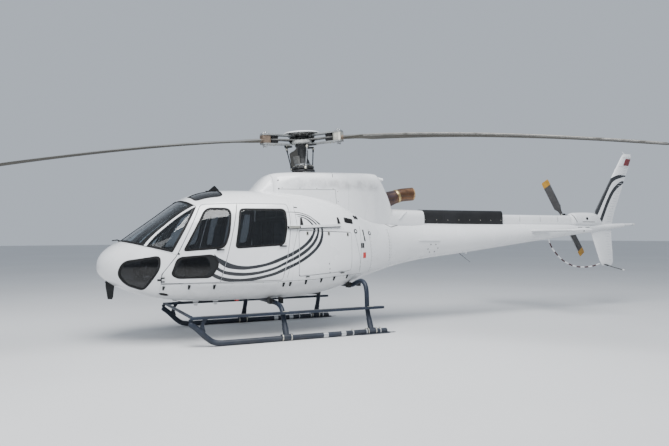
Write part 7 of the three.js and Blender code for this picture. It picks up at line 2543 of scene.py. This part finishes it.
# %% [markdown]
# Handles, locks, latches, hinges and the sliding door's rail belong to the doors' own bodies or to
# the fuselage, whichever they move with. A hinge has one half on each side of the joint.

# %% Door furniture
for label, side in SIDES.items():
    for name, body, bar_x, bar_z, lock in [
        ("front_door_%s_handle" % label, "front_door_" + label, -1.753, 1.318, (-1.695, 1.351)),
        ("rear_door_%s_handle" % label, "root", -0.82, 1.36, (-0.775, 1.398)),
    ]:
        handle = Maker(name, PAINTS["black"], METALS["zinc"])
        place = fitting_place(bar_x, bar_z, side)
        handle.prism(rounded([[-0.058, -0.011, 0.01], [0.058, -0.009, 0.01], [0.058, 0.009, 0.01],
                              [-0.058, 0.011, 0.01]],
                             0.01), 0.01, 0.019, 0, place)
        for way in (-0.044, 0.044):
            handle.lathe(disc(0.008, -0.006, 0.0105), 0,
                         place @ shifted(way, 0, 0), parts=14)
        handle.lathe([(0, -0.004), (0.011, -0.004), (0.0115, 0.001), (0.008, 0.003), (0, 0.0032)], 1,
                     fitting_place(*lock, side), parts=18)
        handle.done(body)
    latches = Maker("baggage_latches_" + label, METALS["zinc"], PAINTS["black"])
    for x, z in [(-0.046, 1.54), (-0.42, 1.545), (0.32, 1.525)]:
        place = fitting_place(x, z, side)
        latches.prism(rounded(oblong(-0.02, -0.028, 0.02, 0.028, 0.006), 0.01), -0.003, 0.0025, 0, place)
        latches.box((-0.008, -0.02, 0.0025), (0.008, 0.02, 0.0075), 1, place)
    for x, z in [(-0.046, 1.081), (-0.032, 1.002), (-0.025, 0.945)]:
        latches.box((-0.005, -0.012, -0.003), (0.005, 0.012, 0.003), 1, fitting_place(x, z, side))
    latches.done("baggage_door_" + label, slot="rotor_metal", bevel=0.0006)
    rail = Maker("door_rail_%s_track" % label, PAINTS["white"], PAINTS["rubber"], METALS["zinc"])
    x, top, low = np.linspace(-0.738, 0.183, 24), np.linspace(1.6475, 1.6815, 24), np.linspace(1.6135,
                                                                                               1.6495, 24)
    for high_line, low_line, near, far, finish_number in [(top + 0.01, low + 0.004, -0.004, 0.032, 0),
                                                          (low + 0.004, low - 0.006, -0.004, 0.022, 1)]:
        corners = []
        for station, z_low, z_high in zip(x, low_line, high_line):
            skin = max(HULL.half_width(station, z_low), HULL.half_width(station, z_high))
            inner, outer = side * (skin + near - 0.012), side * (skin + far)
            corners += [(station, inner, z_low), (station, outer, z_low), (station, outer, z_high),
                        (station, inner, z_high)]
        rail.add(corners, bar_faces(len(x)), finish_number)
    place = fitting_place(-0.64, 1.636, side)
    rail.box((-0.085, -0.018, 0.01), (0.085, 0.014, 0.04), 2, place)
    rail.box((-0.1, -0.022, 0.012), (-0.085, 0.018, 0.036), 1, place)
    rail.box((0.085, -0.022, 0.012), (0.1, 0.018, 0.036), 1, place)
    rail.done(slot="body_paint", replaces=["door_rail_" + label])
    hinge = Maker("front_door_hinge_" + label, METALS["dark_cast"], METALS["zinc"])
    body_hinge = Maker("nose_hinge_" + label, METALS["dark_cast"])
    for maker, spans in ((hinge, [(0.88, 0.8995), (0.9305, 0.95)]), (body_hinge, [(0.9002, 0.9298)])):
        for low, high in spans:
            maker.lathe(disc(0.009, low, high), 0,
                        shifted(-2.548, side * 0.845, 0), parts=20)
    for low, high in ((0.88, 0.8995), (0.9305, 0.95)):
        hinge.box((-2.546, side * 0.838 - 0.004, low), (-2.5, side * 0.838 + 0.004, high))
    body_hinge.box((-2.6, side * 0.838 - 0.004, 0.9002), (-2.55, side * 0.838 + 0.004, 0.9298))
    hinge.done("front_door_" + label, slot="rotor_metal", bevel=0.0008)
    body_hinge.done(slot="rotor_metal", bevel=0.0008)
    start, end = np.array([-0.56, 0.925, 0.888]), np.array([0.395, 0.792, 0.944])
    flip = np.array([1, side, 1])
    axis_way = (end - start) / np.linalg.norm(end - start)
    for maker_name, shift, body, up in [("baggage_door_hinge_", (0.0, 0.03), "baggage_door_" + label,
                                         0.036),
                                        ("rear_body_hinge_", (-0.0305, -0.0005), "root", -0.03)]:
        maker = Maker(maker_name + label, METALS["dark_cast"])
        for share in (0.15, 0.8):
            spot = start + (end - start) * share
            a, b = [(spot + axis_way * s) * flip for s in shift]
            maker.rod([a, b], 0.0085, 0, sides=16)
            inner = (a + b) / 2
            maker.box((inner[0] - 0.013, min(inner[1], inner[1] - side * 0.04),
                       inner[2] - 0.003 + min(0, up) * 0.1),
                      (inner[0] + 0.013, max(inner[1], inner[1] - side * 0.04),
                       inner[2] + 0.003 + max(0, up) * 0.1))
        maker.done(body, slot="rotor_metal", bevel=0.0006)
print("door furniture done")

# %% [markdown]
# Behind the baggage door is a plain tray pressed into the body. It is one closed sheet: a rounded
# opening behind the skin, walls that narrow towards the middle, and a flat back.

# %% Baggage holds and the belly
for label, side in SIDES.items():
    mouth = rounded(moved(BAGGAGE_DOOR, -0.012), 0.05)
    deep = rounded(moved([[-0.56, 0.905, 0.06], [-0.56, 1.59, 0.06], [0.395, 1.56, 0.06],
                          [0.395, 0.96, 0.06]], 0.02),
                   0.05)
    count = min(len(mouth), len(deep))
    mouth, deep = (loop[np.round(np.linspace(0, len(loop), count, endpoint=False)).astype(int)]
                   for loop in (mouth, deep))
    centre = deep.mean(0)
    tray = Maker("baggage_tray_" + label, PAINTS["lining"])
    layers = []
    for grow, gap in ((0.0, 0.0), (0.004, -0.004)):
        rim = [(x + grow * np.sign(x - centre[0]), side * (float(HULL.half_width(x, z)) - 0.038),
                z + grow * np.sign(z - centre[1]))
               for x, z in mouth]
        back = [(x + grow * np.sign(x - centre[0]), side * (0.3 + gap),
                 z + grow * np.sign(z - centre[1])) for x, z in deep]
        layers.append((rim, back))
    points = layers[0][0] + layers[0][1] + layers[1][0] + layers[1][1]
    n = count
    quads = [tuple(range(n, 2 * n)), tuple(range(3 * n, 4 * n))[::-1]]
    for k in range(n):
        m = (k + 1) % n
        quads += [(k, m, m + n, k + n), (k + 2 * n, k + 3 * n, m + 3 * n, m + 2 * n),
                  (k, k + 2 * n, m + 2 * n, m)]
    tray.add(points, quads)
    tray.done(slot="cabin_plastic", bevel=0)

# %% Belly fittings
belly_parts = Maker("belly_fittings", PAINTS["black"], METALS["dark_cast"], METALS["steel"],
                    PAINTS["white"],
                    GLASS["red_lens"])
belly_parts.prism(rounded(oblong(-0.15, -0.11, 0.15, 0.11, 0.02), 0.02),
                  0.5505, 0.6, 1)
for x in (-0.12, 0.12):
    for y in (-0.085, 0.085):
        belly_parts.lathe([(0, 0.5502), (0.012, 0.5502), (0.014, 0.554), (0.014, 0.56), (0, 0.56)], 2,
                          shifted(x, y, 0), parts=6)
for x, reach, z in ((-0.913, 0.6, 0.52), (-0.737, 0.6, 0.52), (0.47, 0.47, 0.7), (0.65, 0.47, 0.72)):
    for side in (-1, 1):
        belly_parts.box((x - 0.022, side * reach - 0.055, z - 0.03),
                        (x + 0.022, side * reach + 0.055, z + 0.06), 0)
belly_parts.lathe([(0, 0.492), (0.03, 0.498), (0.044, 0.515), (0.046, 0.545), (0, 0.545)], 4,
                  shifted(-1.25, 0, 0), parts=28)
belly_parts.lathe([(0, 0.524), (0.06, 0.524), (0.066, 0.53), (0.066, 0.552), (0, 0.552)], 0,
                  shifted(-1.25, 0, 0), parts=28)
for x in (-1.9, -1.595):
    belly_parts.prism([(x - 0.045, 0.56), (x - 0.02, 0.455), (x + 0.03, 0.455), (x + 0.06, 0.56)], -0.006,
                      0.006, 3, SIDE_ON)
belly_parts.rod(smooth_line([(-2.3, -0.3, 0.585), (-2.1, -0.3, 0.545), (-1.75, -0.29, 0.532),
                             (-1.35, -0.28, 0.528)], 5),
                0.005, 0)
belly_parts.done(bevel=0.001)
print("belly done")

# %% [markdown]
# The covers on top get their own small work: seams where the cowl panels meet, quarter-turn
# screws along them, a gauze of rivets along the drive covers' lower edges, and an inspection hole
# in the tail gearbox fairing.

# %% Cowl and drive cover details
seams = Maker("cowl_seams", PAINTS["seam"], PAINTS["rubber"], PAINTS["white"])
screw_spots, screw_facings = [], []
cover_spots, cover_facings = [], []
for side in (-1, 1):
    for line in ([[-0.708, 2.235], [-0.3, 2.24], [0.262, 2.25]],
                 [[0.262, 2.25], [0.268, 2.13], [0.285, 2.02]]):
        band_on(seams, line, 0.007, 0, side, COWL)
    band_on(seams, [[0.25, 2.53], [0.24, 2.49], [0.225, 2.45]], 0.012, 0, side, COWL)
    for z in (2.375, 2.243):
        seams.lathe(disc(0.012, -0.002, 0.002), 1, fitting_place(-0.7, z, side, COWL),
                    parts=16)
    for line, pitch in (([[-0.65, 2.255], [0.22, 2.262]], 0.21), ([[0.3, 2.22], [0.31, 2.06]], 0.075)):
        x, z = spread(line, pitch).T
        points, normals = on_form(COWL, x, z, side)
        screw_spots += list(points)
        screw_facings += list(normals)
    for form, x_from, x_to, z in ((FRONT_COVER, 2.2, 3.92, 1.785), (REAR_COVER, 4.02, 5.7, 1.785)):
        x = np.linspace(x_from, x_to, int((x_to - x_from) / 0.2))
        points, normals = on_form(form, x, np.full(len(x), z), side)
        cover_spots += list(points)
        cover_facings += list(normals)
    for form, joints in ((FRONT_COVER, (2.62, 3.1, 3.56)), (REAR_COVER, (4.4, 4.92, 5.38))):
        for x in joints:
            band_on(seams, [[x, 1.765], [x, 1.88]], 0.006, 1, side, form)
    band_on(seams, [[1.56, 1.79], [1.66, 1.87], [1.75, 1.925]], 0.02, 2, side, DECK, rise=0.014)
    band_on(seams, [[5.775, 1.915], [5.8, 1.885], [5.84, 1.81], [5.872, 1.76]], 0.012, 1, side, GEARBOX,
            rise=0.002)
    band_on(seams, [[6.02, 1.768], [6.38, 1.768]], 0.01, 1, side, GEARBOX, rise=0.002)
    hole = fitting_place(6.15, 1.835, side, GEARBOX)
    seams.lathe(disc(0.026, -0.002, 0.0012), 1, hole, parts=26)
    seams.lathe([(0.026, -0.002), (0.032, -0.002), (0.031, 0.003), (0.026, 0.003)], 0, hole, parts=26,
                ring=True)
seams.done(slot="body_paint", bevel=0)
heads("cowl_screws", screw_spots, screw_facings, 0.0075, 0.003, METALS["grey_cast"], sides=12)
heads("cover_screws", cover_spots, cover_facings, 0.0065, 0.0035, METALS["zinc"], sides=12)

# %% Engine block
turbine = Maker("engine_block", METALS["aluminium"], METALS["dark_cast"], METALS["heated"], METALS["steel"])
shaft = shifted(0.64, 0, 2.15) @ turned(90, "Y")
turbine.lathe([(0, 0), (0.08, 0), (0.11, 0.03), (0.11, 0.1), (0.15, 0.13), (0.15, 0.3), (0.135, 0.33),
               (0.135, 0.42),
               (0.118, 0.46), (0.118, 0.585), (0, 0.585)], 0, shaft, parts=40)
for shift in (0.12, 0.31, 0.44):
    turbine.lathe(hoop(0.1, 0.162, shift, shift + 0.018), 1, shaft,
                  parts=40, ring=True)
for x in (0.75, 1.13):
    for side in (-1, 1):
        turbine.rod([(x, side * 0.145, 1.86), (x, side * 0.12, 2.06)], 0.016, 1)
turbine.box((0.7, -0.15, 1.78), (0.8, 0.15, 1.862), 1)
turbine.box((1.08, -0.15, 1.762), (1.18, 0.15, 1.862), 1)
turbine.done(slot="engine_metal", replaces=["engine"])
print("cowl details done")

# %% [markdown]
# The tail carries the last small pieces: pressed ribs that stiffen the rear half of both fins,
# rounded lobes at the tailplane's tips, each with the base of a small lamp, and one red patch.
# The ribs are painted a darker grey than the fin, as painted shade along each rib.

# %% Tail details
PAINTS["deep_red"] = finish("deep_red_patch", (0.16, 0.008, 0.012), 0.35, tone=0.12, coat=0.4)
# The ribs get a grey darker than the fin's white: a painted shade in place of the shading along each rib.
PAINTS["rib_painted_shade"] = finish("rib_painted_shade", (0.56, 0.575, 0.6), 0.3, tone=0.06, coat=0.4)
fin_marks = Maker("fin_ribs", PAINTS["rib_painted_shade"], PAINTS["deep_red"], PAINTS["seam"])
fin_rows = np.array(UPPER_FIN)
lower_rows = np.array([[-s, lead, trail] for s, lead, trail in LOWER_FIN])[::-1]
UPPER_HALF = ([1.66, 1.99, 3.16], [0.038, 0.038, 0.026])
LOWER_HALF = ([0.93, 1.66], [0.026, 0.034])


def fin_skin(z, share, way, rows=fin_rows, half=UPPER_HALF):
    lead, trail = (np.interp(z, rows[:, 0], rows[:, k]) for k in (1, 2))
    return lead + (trail - lead) * share, way * section_share(share) * np.interp(z, *half)


for way in (-1, 1):
    for k in range(22):
        z = 1.78 + 0.055 * k
        points = [Vector((*fin_skin(z, share, way), z)) for share in (0.56, 0.66, 0.76, 0.86, 0.93)]
        fin_marks.rod([p + Vector((0, -way * 0.0015, 0)) for p in points],
                      [0.001, 0.0045, 0.0045, 0.004, 0.001], 0, sides=8)
    for k in range(11):
        z = 0.97 + 0.055 * k
        points = [Vector((*fin_skin(z, share, way, lower_rows, LOWER_HALF), z)) for share in (0.56, 0.68,
                                                                                              0.8, 0.92)]
        fin_marks.rod([p + Vector((0, -way * 0.0012, 0)) for p in points], [0.001, 0.004, 0.0036, 0.001],
                      0, sides=8)
    for low, high, finish_number, near, far in ((2.99, 3.14, 1, 0.43, 0.97), (3.158, 3.163, 2, 0.1, 0.95),
                                                (2.962, 2.967, 2, 0.1, 0.95)):
        shares = np.linspace(near, far, 9)
        outer, inner = [], []
        for share in shares:
            for z in (low, high):
                x, y = fin_skin(z, share, way)
                outer.append((x, y + way * 0.0018, z))
                inner.append((x, y - way * 0.002, z))
        n = len(outer)
        quads = [(0, 1, n + 1, n), (n - 2, 2 * n - 2, 2 * n - 1, n - 1)]
        for k in range(0, n - 2, 2):
            quads += [(k, k + 2, k + 3, k + 1), (k + n, k + 1 + n, k + 3 + n, k + 2 + n),
                      (k, k + n, k + n + 2, k + 2),
                      (k + 1, k + 3, k + n + 3, k + n + 1)]
        fin_marks.add(outer + inner, quads, finish_number)
fin_marks.done(slot="body_paint", bevel=0)
tips = Maker("tailplane_tips", PAINTS["white"], METALS["grey_cast"])
for side in (-1, 1):
    line = [(x, side * y, 1.585) for x, y in ((4.6, 1.24), (4.64, 1.232), (4.74, 1.222), (4.86, 1.22),
                                               (4.98, 1.224), (5.06, 1.236), (5.085, 1.24))]
    tips.rod(line, [0.006, 0.022, 0.04, 0.044, 0.036, 0.02, 0.005], 0, sides=24)
    tips.lathe([(0, -0.004), (0.014, -0.004), (0.014, 0.003), (0, 0.005)], 1,
               frame_at((4.83, side * 1.262, 1.572), (0, side, -0.15)), parts=18)
tips.done(slot="body_paint", bevel=0)
print("tail details done")

# %% [markdown]
# A pale floor, a broad light overhead and a weak one in front give soft shadows, as under an
# overcast sky. The world colour lights what the lamps leave out.


# %% Stage
def make_stage():
    floor = bpy.data.meshes.new("floor")
    reach = 120.0
    corners = [(-reach, -reach, GROUND), (reach, -reach, GROUND), (reach, reach, GROUND),
               (-reach, reach, GROUND)]
    floor.from_pydata(corners, [], [(0, 1, 2, 3)])
    floor.materials.append(finish("studio_floor", (0.6, 0.605, 0.61), 0.7, tone=0.03, tone_scale=0.15))
    piece = bpy.data.objects.new("floor", floor)
    bpy.context.scene.collection.objects.link(piece)
    world = bpy.data.worlds.new("studio")
    world.use_nodes = True
    world.node_tree.nodes["Background"].inputs["Color"].default_value = (0.76, 0.84, 0.95, 1)
    world.node_tree.nodes["Background"].inputs["Strength"].default_value = 0.66
    bpy.context.scene.world = world
    for name, place, target, size, power in [
        ("overhead", (-2, -5, 11), (0, 0, 1), 9, 2900),
        ("front_fill", (-11, -8, 5), (-1, 0, 0.8), 7, 380),
    ]:
        light = bpy.data.lights.new(name, "AREA")
        light.shape = "SQUARE"
        light.size = size
        light.energy = power
        lamp = bpy.data.objects.new(name, light)
        lamp.location = place
        aim = Vector(target) - Vector(place)
        lamp.rotation_euler = aim.to_track_quat("-Z", "Y").to_euler()
        bpy.context.scene.collection.objects.link(lamp)


make_stage()

# %% [markdown]
# It has to stay inside the box of the construction model.
